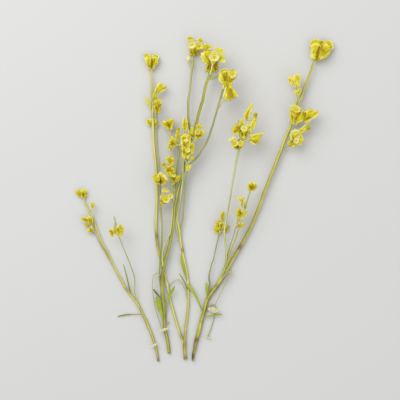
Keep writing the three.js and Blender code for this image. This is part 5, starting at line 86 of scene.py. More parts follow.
# name, carrying stem, root [across, along, height mm], pieces
HEADS = [
  ["florets_s1", "branch_s1", [193.4, 56.2, 5.2], [
    ["fan",[193.4,46.8],[[189.2,47.4],[189.5,51.0],[189.1,54.0],[190.2,56.0],[192.0,55.9],[193.4,55.1],[194.8,55.9],[196.6,56.1],[198.0,54.4],[198.1,50.4],[198.0,47.4]],3.6,-0.25,-3.05,0.05,[-0.3,0.2],"ochre"],
    ["fan",[193.0,50.5],[[189.4,48.8],[188.0,46],[187.9,42.6],[189.4,40.6],[192,39.9],[194.4,40.6],[195.8,43.4],[195.6,47.4]],3.2,0.14,1.55,0.3,4,"pale"],
    ["disc",[191.8,44.4],[3.7,4.1,0],[193.2,52.5],1.4,3.75,5,"pale"],
    ["fan",[194.8,51.5],[[195.2,48.6],[195.4,43.6],[196.6,41.7],[199,41.0],[201.4,42.0],[202.6,45.5],[201.7,48.8],[198.8,50.4]],3.2,0.49,1.35,0.3,4,"bright"],
    ["disc",[198.8,45.7],[3.5,4.2,-8],[195.0,52.5],1.26,4.29,5,"bright"],
    ["fan",[190.4,40.4],[[186.0,40.3],[186.9,38.2],[188.6,36.8],[190.2,35.9],[192.4,37.0],[194.6,38.9],[192.8,39.7]],0.7,3.15,4.55,0,3,"bright"],
    ["fan",[199.9,42.0],[[195.8,39.9],[197.6,38.4],[200.6,38.1],[202.6,39.7],[203.9,42.7],[202.2,42.4]],0.7,4.15,5.35,0,3,"bright"],
    ["fan",[188.8,62.6],[[187.0,59.8],[185.8,56.6],[187.8,55.9],[189.6,56.4],[190.0,60.0]],1.4,-1.8,-1.05,0.3,3,"pale"],
    ["stalk",[[191.8,67.8,0.6],[189.9,64.5,1.2],[188.6,61.0,1.7]],1.7,"lime"],
  ]],
  ["florets_s2", "stem_b", [210.3, 68.2, 15.8], [
    ["fan",[211.6,59.0],[[205.9,61.6],[206.2,66],[205.0,70],[205.4,72.6],[207.4,72.2],[209.2,73.0],[210.8,72.0],[212.2,72.6],[214,72.0],[216.2,73.2],[217.8,71.4],[218.0,68.6],[219.0,65.6],[219.0,61.6]],4.2,3.0,0.6,0.05,[-0.3,0.35],"ochre"],
    ["fan",[211.6,65.6],[[207.4,65.6],[205.6,63.4],[203.8,63.2],[203.0,61.2],[201.2,60.6],[201.4,58.4],[200.2,56.8],[201.0,54.6],[200.4,52.8],[202.2,51.8],[202.8,49.8],[205.2,50.4],[207.4,49.4],[210.0,50.4],[212.6,49.9],[214.4,51.6],[215.4,55.4]],3.6,2.2,5.6,0.06,[-0.62,0.1],"bright"],
    ["disc",[214.0,57.0],[5.3,4.2,8],[212.4,65.0],3.4,7.0,6,"cream"],
    ["fan",[215.6,58.6],[[214.8,53.8],[217.2,52.2],[220.6,52.8],[223.2,55.4],[225.4,58.8],[226.0,61.4],[224.6,63.2],[221.8,62.4],[219,61.0],[217.2,60.4]],1.2,6.4,8.2,0.03,[0.85],"bright"],
    ["fan",[206.0,49.8],[[202.0,49.2],[201.7,46.4],[203.2,44.9],[206.0,43.6],[208.4,44.4],[210.4,45.4],[213.2,46.5],[210.4,48.5],[208.6,49.4]],0.8,6.4,8.2,0,[0.15],"bright"],
    ["fan",[218.4,52.0],[[213.4,48.4],[216.4,47.0],[219.6,47.7],[222,48.4],[223.9,50.3],[225.7,53.4],[222.6,52.8]],0.7,7.6,9.0,0,[0.2],"pale"],
    ["fan",[214.6,54.4],[[212.2,52.8],[213.6,51.0],[216.4,51.2],[218.4,53.0]],0.6,7.4,8.6,0,2,"cream"],
    ["stalk",[[213.4,60.4,8.6],[212.6,64.2,7.0],[211.4,69.4,4.4],[210.2,74.4,1.6]],1.5,"cream"],
    ["stalk",[[209.4,78.4,-0.8],[211.4,78.2,0.2],[214.6,77.6,2.0],[217.2,76.8,4.2],[219.6,76.0,6.8]],1.9,"stem"],
    ["stalk",[[209.9,76.0,-0.8],[211.6,75.2,0],[213.6,73.4,0.6]],1.3,"stem"],
  ]],
  ["florets_s3_upper", "branch_i", [225.6, 86.6, 25.0], [
    ["fan",[226.6,85.0],[[223.6,84.4],[221.8,82.4],[219.6,81.8],[218.3,79.2],[218.5,74.8],[219.5,71.2],[221.4,68.8],[224,67.9],[226.6,68.6],[228.6,70.4],[229.2,75.4]],3.8,-0.8,3.4,0.14,[0.25],"bright"],
    ["fan",[227.0,90.6],[[222.8,89.0],[222.4,86.0],[222.8,82.6],[225.2,80.6],[228.4,80.0],[231.6,80.6],[232.3,83.8],[231.4,88.4]],2.6,-1.6,1.2,0.03,[0.15],"bright"],
    ["fan",[228.6,86.4],[[227.2,78.0],[228.4,71.6],[230.2,69.2],[233.4,68.6],[236.4,71.2],[236.9,75.4],[235.4,79.2],[233.2,81.4],[232.2,84.6]],3.6,-0.8,3.0,0.08,[-0.3],"bright"],
    ["disc",[232.6,73.6],[3.7,4.3,0],[229.4,82.0],1.6,6.2,5,"bright"],
    ["stalk",[[223.4,88.8,-0.8],[224.4,87.4,-0.3],[225.8,85.6,0]],2.4,"lime"],
    ["stalk",[[223.6,90.0,-1.0],[224.4,86.0,0.6],[224.6,82.0,2.4]],1.6,"lime"],
  ]],
  ["florets_s3_lower", "branch_i", [227.6, 88.6, 21.2], [
    ["fan",[228.4,84.8],[[225.0,86.0],[224.4,89.4],[223.8,92.4],[222.6,95.2],[222.4,97.8],[224.2,99.2],[225.4,100.8],[227.8,101.4],[229.6,100.6],[231.6,100.4],[233.6,99.0],[235.4,98.4],[235.8,96.2],[237.6,95.4],[237.0,92.8],[235.4,90.4],[233.4,88.4],[231.8,85.6]],4.2,2.4,3.0,0.05,[-0.35,0.3],"bright"],
    ["fan",[230.6,88.4],[[232.6,88.0],[235.0,90.6],[237.6,93.2],[238.7,96.9],[236.0,96.2],[233.6,96.8]],0.7,6.2,5.2,0,2,"bright"],
    ["stalk",[[219.5,107.0,-2.0],[221.2,104.2,-1.9],[223.0,101.8,-1.0],[225.4,99.2,0.4]],1.6,"lime"],
    ["stalk",[[222.3,91.0,-1.2],[224.6,89.0,0.6],[227.6,86.8,2.2]],1.6,"lime"],
  ]],
  ["florets_z1", "stem_c_left", [151.4, 69.3, 4.8], [
    ["fan",[151.5,66.6],[[151.2,69.3],[149.4,69.7],[147.8,68.6],[147.2,66.4],[146.3,63.8],[144.8,61.4],[144.8,58.4],[142.8,57.2],[143.6,54.9],[145.2,53.2],[146.8,52.7],[148.4,53.0],[149.8,54.1],[151.0,55.6],[152.2,55.0],[153.9,54.8],[155.5,53.6],[157.5,54.2],[159.5,56.4],[158.6,58.4],[158.6,60.8],[158.4,63.0],[157.2,64.7],[155.7,65.5],[155.1,67.6],[154.2,69.3],[152.6,69.6]],4.6,-0.55,-1.0,0.16,[-0.28,-0.02,0.3],"bright"],
    ["fan",[150.4,66.0],[[145.3,61.6],[145.0,58.4],[147.4,57.2],[150.4,57.6],[151.2,60.4]],1.0,2.53,3.2,0,[0.3],"pale"],
    ["fan",[153.2,66.0],[[153.2,60.4],[153.2,57.6],[156.0,57.0],[158.2,58.6],[157.9,62.8]],1.0,2.4,3.0,0,[-0.3],"bright"],
  ]],
  ["florets_z2", "stem_c_left", [153.6, 103.5, 6.2], [
    ["fan",[156.9,93.8],[[155.0,92.4],[154.6,90.4],[155.2,88.6],[156.6,87.2],[156.4,85.2],[157.6,83.4],[159.4,82.5],[161.4,82.8],[162.8,84.2],[163.6,86.0],[165.2,84.5],[166.6,85.6],[167,87.2],[165.8,89.2],[164.2,90.4],[162.4,90.4],[161.4,91.8],[159.5,92.6]],1.9,2.4,3.2,0.04,[-0.55,0.42],"bright"],
    ["fan",[154.4,100.0],[[152.8,97.8],[152.6,95],[153.8,92.8],[155.6,92.6],[156.7,94.4],[156.5,97.2],[155.4,99.6]],1.3,1.2,2.0,0,2,"bright"],
    ["stalk",[[153.3,104.4,-0.6],[154.2,101.5,0.4],[156.2,98.6,1.4],[158.3,96.2,2.0],[157.6,94.4,2.3],[157.0,92.6,2.6]],1.6,"lime"],
  ]],
  ["florets_z5", "branch_e", [157.4, 112.6, 9.8], [
    ["fan",[157.2,109.0],[[157.2,112.9],[155.9,113.3],[155.0,111.8],[154.6,109.6],[153.5,106.8],[153.6,104.0],[154.6,101.9],[157,101.2],[159.4,101.6],[160.4,103.4],[162.0,104.6],[161.2,106.4],[161.0,109],[160.4,111.6],[159.4,113.4],[158.0,113.0]],2.9,0.6,1.6,0.1,[-0.3,0.3],"ochre"],
    ["fan",[157.6,104.2],[[154.4,102.4],[154.8,100.4],[156.6,99.8],[158.4,98.6],[160.2,98.9],[161.6,100.3],[163.2,101.7],[161.0,102.6],[159.6,103.2]],0.8,3.6,4.6,0,3,"bright"],
    ["stalk",[[157.0,119.6,-0.8],[156.6,117.2,-0.4],[155.6,115.0,0.2],[154.6,112.8,0.8]],0.9,"stem"],
  ]],
  ["petals_z4", "stem_c_left", [151.2, 108.5, 5.4], [
    ["fan",[150.9,110.4],[[150.0,109.8],[149.0,107],[148.0,104.3],[146.6,101.4],[145.2,98.9],[144.9,96.8],[146.4,98.3],[148.2,98.2],[149.5,99.9],[150.3,102.2],[150.9,104.6],[151.0,108]],1.3,0.4,1.6,0.02,[0.85],"bright"],
  ]],
  ["florets_z6", "stem_c_left", [153.0, 126.5, 6.0], [
    ["fan",[153.0,126.9],[[150,126.3],[148,125.2],[146.8,123.6],[145.9,121.1],[146.4,119.3],[148,118.8],[150,119.3],[150.7,117.2],[152,116.6],[154.6,117.8],[156.4,120.0],[157.7,122.6],[158.2,125.1],[157.2,127.4],[155.2,127.4]],1.2,-3.4,-3.0,0.1,4,"olive"],
  ]],
  ["florets_c_mid", "branch_e", [160.6, 186.5, 12.0], [
    ["fan",[160.5,182.0],[[160.4,185.6],[158.2,184.3],[155.9,183.6],[154.1,181.8],[153.6,179.4],[151.8,177.9],[152.9,175.1],[155.2,173.7],[157.4,173.4],[158.5,172.1],[160,171.4],[161.6,172.0],[162.4,173.7],[164.4,174.1],[166.4,176.1],[168.2,179.7],[167.0,181.8],[166.0,184.1],[163.8,184.6],[161.8,185.7]],3.9,1.8,4.0,0.12,[-0.1],"bright"],
    ["fan",[159.2,181.6],[[154.6,180.6],[154.8,177.6],[157.0,176.0],[159.6,176.6],[160.2,179.0]],0.9,4.4,6.4,0,2,"pale"],
    ["fan",[162.2,181.6],[[161.4,178.6],[162.2,175.8],[164.6,175.6],[166.8,178.2],[166.0,181.2]],0.9,4.4,6.2,0,2,"pale"],
    ["fan",[156.6,176.2],[[152.4,177.6],[153.4,175.0],[155.6,173.9],[157.8,174.2]],0.6,6.0,6.6,0,2,"bright"],
  ]],
  ["florets_z7", "branch_e", [161.0, 205.5, 10.5], [
    ["disc",[166.0,199.2],[3.9,3.6,0],[164.0,203.6],2.2,5.6,5,"bright"],
    ["disc",[170.6,196.2],[2.7,2.7,0],[168.6,200.6],2.6,4.8,4,"bright"],
    ["fan",[161.9,202.2],[[160.4,199.6],[160.0,197.0],[161.0,195.0],[162.6,194.9],[163.4,197.0],[163.2,200.2]],1.6,1.6,2.6,0.15,[0.2],"pale"],
    ["fan",[161.6,206.2],[[160.6,204.4],[160.6,202.2],[161.8,201.2],[163.4,201.6],[163.9,203.6],[163.0,205.4]],1.3,0.4,1.2,0.1,[0.1],"olive"],
    ["fan",[164.4,193.2],[[162.2,192.0],[161.6,190.0],[162.8,188.3],[164.6,187.6],[166.2,188.0],[167.7,189.2],[169.0,191.6],[167,192.4]],1.4,4.6,5.8,0.35,4,"bright"],
    ["stalk",[[164.2,191.6,4.8],[163.9,193.8,4.4],[164.3,197.0,3.8],[164.2,201.0,2.8]],1.7,"bright"],
    ["stalk",[[161.0,206.0,0],[163.5,203.6,1.6],[168.3,200.8,2.5]],1.4,"lime"],
    ["stalk",[[161.0,206.2,0],[161.9,203.6,0.8],[163.2,202.6,2.0]],1.6,"ochre"],
  ]],
  ["florets_p1", "stem_c", [169.8, 130.4, 6.6], [
    ["fan",[169.0,127.0],[[169.4,130.2],[167.6,129.9],[166.6,128.4],[164.6,127.4],[163.2,125.8],[162.6,123.9],[161.4,122.4],[163,120.8],[166,120.3],[167.6,119.7],[169.2,119.3],[170.6,118.4],[172.2,118.2],[173.6,119.3],[175.2,120.5],[173.7,121.8],[173.4,124],[173.1,127],[172.6,129.6],[171.0,130.4]],3.5,0.8,2.4,0.03,[-0.45,0.45],"bright"],
  ]],
  ["florets_p2", "branch_t", [178.6, 142.2, 11.5], [
    ["fan",[173.6,143.6],[[176.0,146.6],[173.6,148.5],[170.9,147.8],[169.6,145.8],[168.4,144],[168.9,141],[169.8,138.4],[171,136.7],[172.6,136.0],[174.2,137.2],[175.8,138.5],[177.4,139.6],[177.6,142.4]],2.6,1.6,2.6,0.06,[-0.4,0.1,0.5],"bright"],
    ["fan",[174.6,143.4],[[170.2,141.2],[171.2,138.6],[173.4,138.0],[175.6,139.8],[176.2,142.2]],0.9,3.6,4.6,0,2,"bright"],
    ["fan",[171.4,146.2],[[170.2,148.6],[168.0,148.8],[167.2,146.8],[168.4,145.0],[170.4,144.8]],0.8,0.8,1.0,0,2,"bright"],
    ["bud",177.3,133.4,178.1,127.2,1.9,2.2,"bud"],
    ["fan",[177.7,140.4],[[175.8,138.2],[175.3,135.0],[175.9,132.2],[177.8,131.2],[179.4,132.4],[179.4,135.6],[179.0,138.4]],1.9,0.6,1.8,0.05,[0.2],"bright"],
    ["fan",[184.8,130.0],[[183.3,129.8],[182.2,127],[182.2,124],[182.9,120],[184.4,116.2],[185.7,118.6],[186.9,120.4],[188.2,120.9],[188.2,127],[187.2,129.3],[185.8,131.3],[184.4,131.5]],1.2,3.4,4.4,0,[-0.1,0.3],"bright"],
    ["stalk",[[179.4,138.5,0.8],[179.9,135.0,1.6],[180.9,131.5,2.4],[182.2,128.5,3.2],[183.0,125.4,4.2]],1.3,"lime"],
    ["stalk",[[184.6,131.4,3.4],[182.0,134.0,2.2],[180.0,137.0,1.2]],1.2,"lime"],
    ["stalk",[[179.4,145.5,-0.5],[178.4,145.0,-0.2],[176.0,145.4,0.4]],3.6,"lime"],
    ["stalk",[[179.2,143.2,0.0],[178.2,140.6,0.8],[177.3,137.0,1.2]],2.2,"lime"],
    ["stalk",[[178.9,143.0,0.0],[179.6,140.0,0.6],[179.6,137.6,0.8]],1.8,"lime"],
  ]],
  ["florets_centre", "branch_hj", [183.4, 156.3, 14.41], [
    ["fan",[198.4,134.8],[[195.0,134.0],[194.4,137.2],[195.4,139.6],[197.4,140.0],[199.8,139.2],[202.0,137.6],[202.6,134.4]],2.2,4.8,3.2,0.04,[0.1],"ochre"],
    ["fan",[198.4,136.6],[[194.8,134.8],[194.6,131.4],[195.6,129.0],[198.0,128.0],[200.2,129.2],[201.6,132.0],[201.2,134.8]],2.3,4.4,6.2,0.2,[0.2],"bright"],
    ["disc",[198.1,131.9],[2.3,2.8,0],[198.0,137.0],3.8,5.4,5,"bright"],
    ["fan",[199.0,128.6],[[195.8,127.2],[196.4,125.2],[198.4,123.8],[200.6,124.6],[202.6,126.8],[201.4,127.8]],0.7,8.4,9.6,0,3,"bright"],
    ["fan",[199.6,133.4],[[199.8,130.0],[202.2,128.8],[203.8,130.6],[205.4,134.0],[203.4,134.6],[201.4,135.4]],1.0,6.8,7.4,0,3,"bright"],
    ["fan",[192.6,131.4],[[190.9,130.6],[190.6,128.0],[192.0,126.8],[193.6,127.6],[193.8,130.2]],0.8,5.0,5.8,0,2,"pale"],
    ["fan",[193.0,135.4],[[191.0,134.0],[190.8,131.8],[192.2,130.8],[193.6,131.8],[194.0,134.0]],0.9,4.6,5.2,0,2,"bright"],
    ["fan",[184.8,141.6],[[181.4,141.4],[180.4,138.4],[181.0,135.6],[183.0,133.7],[185.4,133.6],[187.0,134.8],[187.4,138.4],[187.2,141.4]],2.2,2.6,3.6,0.1,[-0.3,0.3],"bright"],
    ["fan",[188.2,142.0],[[185.6,138.6],[186.0,135.4],[187.4,133.8],[189.6,133.2],[190.9,135.0],[191.0,138.4],[190.6,141.6]],2.2,3.0,4.2,0.15,[0.1],"bright"],
    ["fan",[189.6,134.8],[[188.1,133.4],[188.1,131.0],[189.4,129.8],[190.8,131.0],[190.9,133.8]],1.0,3.8,4.6,0,2,"bright"],
    ["fan",[185.8,147.6],[[181.8,147.6],[180.8,144.0],[181.4,141.0],[183.0,139.2],[185.4,138.6],[188.0,138.4],[190.4,139.2],[191.2,142.0],[191.1,146.0],[189.0,148.2]],2.4,3.6,4.8,0.08,[-0.35,0.25],"bright"],
    ["fan",[184.2,151.6],[[181.9,150.8],[181.4,147.8],[182.2,145.6],[184.2,145.0],[186.0,146.4],[186.2,149.4],[185.4,151.6]],1.5,3.4,4.6,0.1,[0.0],"pale"],
    ["disc",[188.2,145.4],[2.0,1.9,0],[187.2,149.6],4.6,4.0,5,"bright"],
    ["disc",[188.0,150.0],[2.5,2.4,0],[187.2,154.6],4.0,4.2,4,"pale"],
    ["fan",[186.4,155.2],[[184.8,159.9],[182.8,158.2],[181.6,155.0],[182.0,151.2],[184.0,149.0],[186.0,150.4],[188.2,151.6],[190.4,152.2],[190.5,155.4],[189.0,158.0],[187.6,159.8],[186.4,158.4]],2.0,2.4,3.2,0.05,[-0.3,0.3],"pale"],
    ["fan",[192.0,146.4],[[190.2,145.2],[190.8,143.2],[192.8,142.8],[194.8,144.8],[196.0,148.0],[193.8,147.6]],0.8,6.2,7.0,0,3,"bright"],
    ["fan",[191.8,147.4],[[190.2,148.8],[190.3,152.2],[191.8,154.6],[193.8,153.6],[194.4,150.0],[193.6,147.6]],0.9,5.6,5.8,0,2,"bright"],
    ["fan",[192.5,161.4],[[190.9,160.0],[190.5,157.4],[192.2,156.1],[194.2,157.3],[194.1,160.0]],1.3,2.8,3.8,0.15,3,"bright"],
    ["fan",[187.2,170.4],[[186.4,171.9],[185.6,169.4],[186.6,166.6],[188.4,165.0],[190.2,164.2],[191.8,165.8],[190.8,167.6],[189.6,169.6],[188.0,171.6]],1.4,2.2,2.8,0.1,[0.0],"pale"],
    ["stalk",[[184.0,157.0,0.6],[187.0,163.0,1.2],[190.0,161.6,2.0],[192.4,160.8,2.6]],1.2,"lime"],
    ["stalk",[[186.6,163.4,1.2],[186.0,167,1.6],[186.8,171.0,2.0]],1.2,"stem"],
    ["stalk",[[183.6,156.5,0.4],[187.6,151.0,3.0],[190.4,145.0,4.0],[194.4,140.8,3.8],[197.2,138.4,3.6]],1.6,"lime"],
    ["stalk",[[190.4,145.0,4.0],[191.2,149.0,4.8],[190.6,153.6,4.6]],1.3,"lime"],
    ["stalk",[[180.0,146.4,1.0],[181.0,141.5,1.6],[181.6,137.4,2.2]],2.0,"lime"],
    ["stalk",[[182.6,156.0,0.4],[180.6,150.0,0.8],[180.0,146.0,1.0]],1.2,"stem"],
  ]],
  ["florets_w", "branch_k", [170.6, 176.0, 12.6], [
    ["fan",[170.4,163.2],[[169.4,165.4],[167.6,163.0],[166.6,160.4],[166.0,157.6],[167.4,155.6],[169.4,155.4],[170.8,157.4],[172.4,157.2],[174.2,158.2],[174.6,161.4],[173.8,164.2],[172.4,165.8],[170.6,166.2]],1.9,3.8,5.0,0.08,[-0.05],"bright"],
    ["fan",[169.8,172.0],[[168.4,174.9],[165.8,173.0],[164.2,171.4],[164.6,168.8],[166.2,167.0],[168,165.6],[170.6,165.0],[172.0,166.2],[173.2,167.8],[175.2,168.2],[175.8,170.2],[175.2,172.6],[173.4,174.6],[171.4,175.2]],2.8,2.4,3.4,0.06,[-0.4,0.05,0.45],"bright"],
    ["bud",165.6,168.4,163.0,162.9,2.1,2.2,"bright"],
    ["fan",[169.4,177.2],[[167.2,175.6],[166.8,173.2],[168.4,171.4],[170.8,171.8],[171.8,174.6]],1.2,1.6,3.4,0,2,"pale"],
    ["stalk",[[169.6,173.0,2.0],[167.6,166.4,3.8],[167.8,161.5,4.6]],1.3,"lime"],
    ["stalk",[[170.6,175.0,1.4],[170.8,170.5,2.6],[171.0,166.0,3.4]],1.8,"olive"],
  ]],
  ["florets_w_low", "branch_k", [172.6, 184.0, 14.2], [
    ["fan",[173.8,179.4],[[173.6,182.8],[171.8,181.6],[170.6,179.4],[170.6,176.2],[171.8,174.0],[174.2,173.2],[176.6,174.6],[177.3,177.6],[176.9,180.6],[175.4,182.4]],2.6,1.2,2.2,0.1,[0.1],"ochre"],
    ["fan",[173.8,177.8],[[171.2,176.4],[172.4,174.6],[174.8,174.4],[176.4,176.2]],0.7,3.6,4.4,0,2,"cream"],
    ["fan",[177.0,181.2],[[176.6,179.6],[176.8,177.2],[178.2,175.6],[180.6,175.5],[180.0,178.0],[178.8,180.6]],1.0,2.8,3.8,0,2,"bright"],
    ["stalk",[[171.6,183.4,-1.2],[172.6,184.4,-0.4],[174.0,183.0,0.6]],1.2,"lime"],
  ]],
  ["florets_x", "branch_x", [239.2, 150.4, 16.8], [
    ["fan",[238.0,142.2],[[233.2,144.6],[234.0,147.4],[235.0,149.6],[236.6,149.7],[238.0,148.2],[239.4,148.6],[241.0,149.0],[242.0,147.0],[243.0,144.6]],2.8,2.2,0.4,0.03,[0.0],"ochre"],
    ["fan",[237.0,149.0],[[232.2,147.2],[231.4,144.0],[230.9,140.8],[233.2,140.0],[235.8,140.0],[237.8,141.2],[237.8,144.6]],2.4,1.0,4.0,0.3,[0.1],"bright"],
    ["fan",[239.4,149.0],[[238.2,145.0],[237.6,141.4],[239.4,140.2],[242.0,140.2],[243.9,141.8],[243.8,145.0],[242.4,147.8]],2.4,1.0,4.0,0.3,[-0.1],"bright"],
    ["disc",[234.8,143.4],[3.1,3.1,0],[237.2,148.8],1.2,4.6,5,"bright"],
    ["disc",[240.6,143.4],[2.8,2.9,0],[239.2,148.8],1.2,4.9,5,"bright"],
    ["fan",[235.4,140.8],[[230.4,141.0],[228.8,139.9],[230.8,137.9],[233.4,136.6],[235.8,137.2],[235.6,139.0]],0.7,4.4,5.2,0,[0.2],"pale"],
    ["fan",[239.0,140.6],[[237.8,140.4],[238.2,138.8],[240.2,138.4],[241.8,139.6],[241.4,140.9]],0.7,4.2,4.8,0,2,"ochre"],
    ["fan",[244.0,130.2],[[239.8,131.4],[239.6,134.8],[240.2,137.4],[241.6,139.3],[243.6,140.0],[245.8,139.4],[247.4,137.2],[248.2,134.0],[248.0,130.8]],3.0,5.4,2.6,0.04,[-0.4,0.35],"bright"],
    ["disc",[244.2,128.4],[3.4,3.0,0],[243.8,135.0],4.0,6.0,5,"cream"],
    ["fan",[242.4,135.6],[[239.0,135.4],[237.4,132.9],[235.4,133.6],[233.6,133.9],[231.6,132.4],[230.9,130.2],[232.4,128.0],[233.6,125.6],[235.2,123.9],[237.2,123.6],[238.6,122.0],[241.0,122.6],[243.4,123.6],[245.4,125.6]],3.4,2.2,4.6,0.08,[-0.3,0.35],"ochre"],
    ["fan",[242.0,126.2],[[239.8,124.8],[239.4,121.6],[240.2,119.4],[241.8,118.5],[243.0,120.6],[243.6,122.4],[244.9,124.0],[243.6,125.0]],1.2,6.4,7.4,0.1,[0.1],"bright"],
    ["fan",[238.9,123.0],[[238.1,122.4],[238.0,120.4],[238.4,118.6],[238.9,120.4],[239.3,122.4]],0.5,4.8,5.4,0,2,"olive"],
    ["fan",[249.6,133.8],[[247.4,131.4],[247.0,128.6],[247.8,126.9],[249.8,126.9],[251.6,128.2],[252.0,130.6],[251.2,132.8]],2.2,3.6,5.8,0.25,[0.0],"bright"],
    ["fan",[249.4,127.4],[[246.6,126.2],[246.5,124.4],[248.4,123.6],[250.4,124.4],[250.8,126.0]],0.7,6.2,6.8,0,2,"cream"],
    ["fan",[250.6,132.6],[[249.8,128.8],[250.4,124.4],[251.4,121.4],[253.2,119.8],[255.8,119.8],[256.8,122.4],[256.2,125.4],[254.4,127.8],[252.8,130.4]],2.1,3.4,5.2,0.05,[-0.1,0.4],"calyx"],
    ["bud",254.4,121.8,255.8,112.6,2.2,5.0,"bright"],
    ["fan",[247.6,120.8],[[244.6,120.6],[244.0,118.0],[244.4,114.8],[245.8,111.6],[247.6,109.2],[249.4,106.6],[250.6,104.0],[251.8,102.2],[252.9,104.6],[252.4,108.0],[251.0,111.6],[249.8,114.4],[249.0,117.4]],1.2,5.0,6.6,0,[-0.25],"bright"],
    ["stalk",[[252.0,127,4.6],[251.2,122,5.6],[250.6,117,6.2],[250.6,111.6,6.4]],1.2,"lime"],
    ["stalk",[[250.2,132.4,2.6],[250.6,128.0,3.8],[251.6,124.6,4.6],[253.0,122.0,5.0]],2.2,"lime"],
    ["fan",[249.4,139.2],[[250.0,135.8],[251.6,133.4],[254.0,134.2],[256.4,133.6],[259.4,132.8],[262.4,132.4],[264.4,133.4],[262.4,135.4],[261.2,137.4],[260.8,140.2],[259.2,142.6],[258.6,144.6],[256.4,145.8],[253.6,144.9],[251.4,143.6],[250.2,141.6]],3.1,2.4,3.6,0.06,[0.45],"bright"],
    ["stalk",[[243.4,141.2,1.8],[246.6,140.2,2.8],[249.8,138.8,3.6],[251.6,137.8,4.0]],2.5,"lime"],
    ["stalk",[[239.2,150.2,0.2],[240.8,145.2,0.6],[243.4,140.4,1.6],[247.4,134.8,3.2],[250.6,131.4,3.4]],2.0,"lime"],
    ["stalk",[[243.0,140.8,1.6],[240.4,136.4,3.6],[237.8,132.6,5.8]],1.8,"lime"],
  ]],
  ["florets_d_left", "branch_d_left", [218.8, 234.2, 4.4], [
    ["fan",[218.6,226.6],[[219.6,229.6],[217.0,229.2],[214.6,226.6],[215.6,223],[217.9,220.2],[220.4,219.5],[221.6,222],[222.2,225.6]],2.4,0.4,1.4,0.06,[-0.1,0.4],"bright"],
    ["fan",[221.4,226.2],[[220.2,229.4],[219.2,226.6],[219.0,223.6],[220.8,221.9],[224.3,222.2],[225.1,225.4],[224.0,228.4],[222.0,229.8]],1.9,1.4,2.4,0.1,[0.0],"bright"],
    ["fan",[218.3,231.6],[[218.7,234.6],[216.5,233.6],[215.6,231.2],[217.4,229.6],[220.0,230.0],[220.8,232.6],[219.8,234.4]],1.4,0.2,0.6,0.06,[0.0],"bright"],
    ["fan",[218.8,230.4],[[216.0,231.2],[213.4,230.4],[213.0,228.2],[216.5,227.5],[219.8,228.2]],0.8,1.8,2.4,0,3,"bright"],
    ["fan",[222.6,220.4],[[220.8,219.2],[219.6,216.0],[221.2,213.0],[223.6,210.2],[224.6,212.4],[224.2,216.0],[223.2,219.4]],1.0,2.2,3.2,0,2,"ochre"],
    ["stalk",[[223.4,217,2.2],[222.8,221.0,1.8],[221.6,225.0,0.8],[220.2,229.5,0.2],[218.9,233.8,0.0]],1.2,"lime"],
    ["fan",[225.9,231.6],[[224.4,231.4],[224.4,228],[225.4,226.2],[228.4,225.2],[229.7,225.9],[228.3,228.6],[227.9,231.8],[226.0,232.6]],1.0,-2.6,-2.2,0,2,"ochre"],
    ["stalk",[[219.4,232.6,0.0],[221.6,231.6,-1.2],[225.0,231.9,-2.5]],1.1,"lime"],
  ]],
  ["florets_d_mid", "branch_d_mid", [238.8, 228.2, 12.4], [
    ["fan",[242.6,203.4],[[241.2,202.2],[239.0,200.8],[237.5,198.8],[238.0,196.8],[239.8,196.2],[241.2,197.6],[242.2,196.2],[243.9,196.3],[244.6,198.4],[244.2,200.8],[243.4,202.8]],1.7,3.6,4.2,0.04,[0.0],"bright"],
    ["fan",[245.2,208.8],[[243.8,206.8],[243.4,204.6],[244.4,203.0],[246.2,203.2],[247.0,205.0],[246.4,207.4]],1.5,2.4,3.0,0.1,3,"ochre"],
    ["fan",[242.4,207.4],[[241.1,205.6],[240.9,203.6],[242.0,202.6],[243.1,204.6]],0.8,2.4,2.8,0,2,"olive"],
    ["fan",[241.0,214.4],[[241.4,217.8],[239.6,218.4],[237.2,218.2],[236.4,216.2],[236.8,214.0],[235.7,212.4],[235.8,210.6],[237.0,209.2],[237.4,208.0],[239.2,207.8],[240.4,208.8],[241.2,210.6],[242.8,210.9],[244.6,211.2],[244.8,213.6],[244.2,215.8],[243.0,217.4]],2.7,2.0,2.8,0.03,[0.1],"bright"],
    ["fan",[243.4,214.4],[[243.2,211.4],[246.0,210.8],[248.3,210.5],[247.2,212.6],[246.0,214.4],[244.4,215.6]],0.8,4.2,4.6,0,2,"bright"],
    ["fan",[241.4,220.0],[[240.6,218.4],[241.0,216.6],[242.6,215.8],[243.9,217.2],[243.2,219.0]],1.0,1.6,2.0,0,2,"pale"],
    ["fan",[239.8,222.8],[[238.4,221.8],[238.3,219.8],[239.6,218.6],[241.1,219.4],[241.2,221.4]],1.0,1.0,1.6,0,2,"bright"],
    ["fan",[241.0,227.6],[[240.7,224.8],[241.9,222.9],[243.9,222.6],[244.6,225],[243.3,227.5],[242.0,227.9]],1.3,1.2,1.8,0.05,2,"bright"],
    ["fan",[239.1,227.8],[[237.6,227.2],[237.2,225.2],[237.9,223.4],[239.4,222.7],[240.7,224.0],[240.6,226.4]],1.3,0.4,1.0,0.05,[0.1],"ochre"],
    ["stalk",[[238.7,228.6,0],[239.3,225.5,0.4],[240.0,222.5,0.8],[241.2,219.5,1.2],[242.4,216.5,1.8],[243.3,212.5,2.0],[243.5,208.8,2.2],[243.3,206,2.8],[242.9,202.8,3.2]],2.1,"lime"],
    ["stalk",[[237.0,228.0,-0.2],[237.1,224.5,0],[237.6,221,0.4],[238.2,218.0,1.0],[239.2,216.2,1.6]],1.0,"stem"],
  ]],
  ["floret_251", "branch_d_mid", [250.0, 191.9, 20.3], [
    ["stalk",[[244.9,206.6,-5.6],[246.0,204.2,-4.4],[247.4,200,-2.6],[248.6,196.4,-1.2],[250.1,191.8,0]],1.5,"stem"],
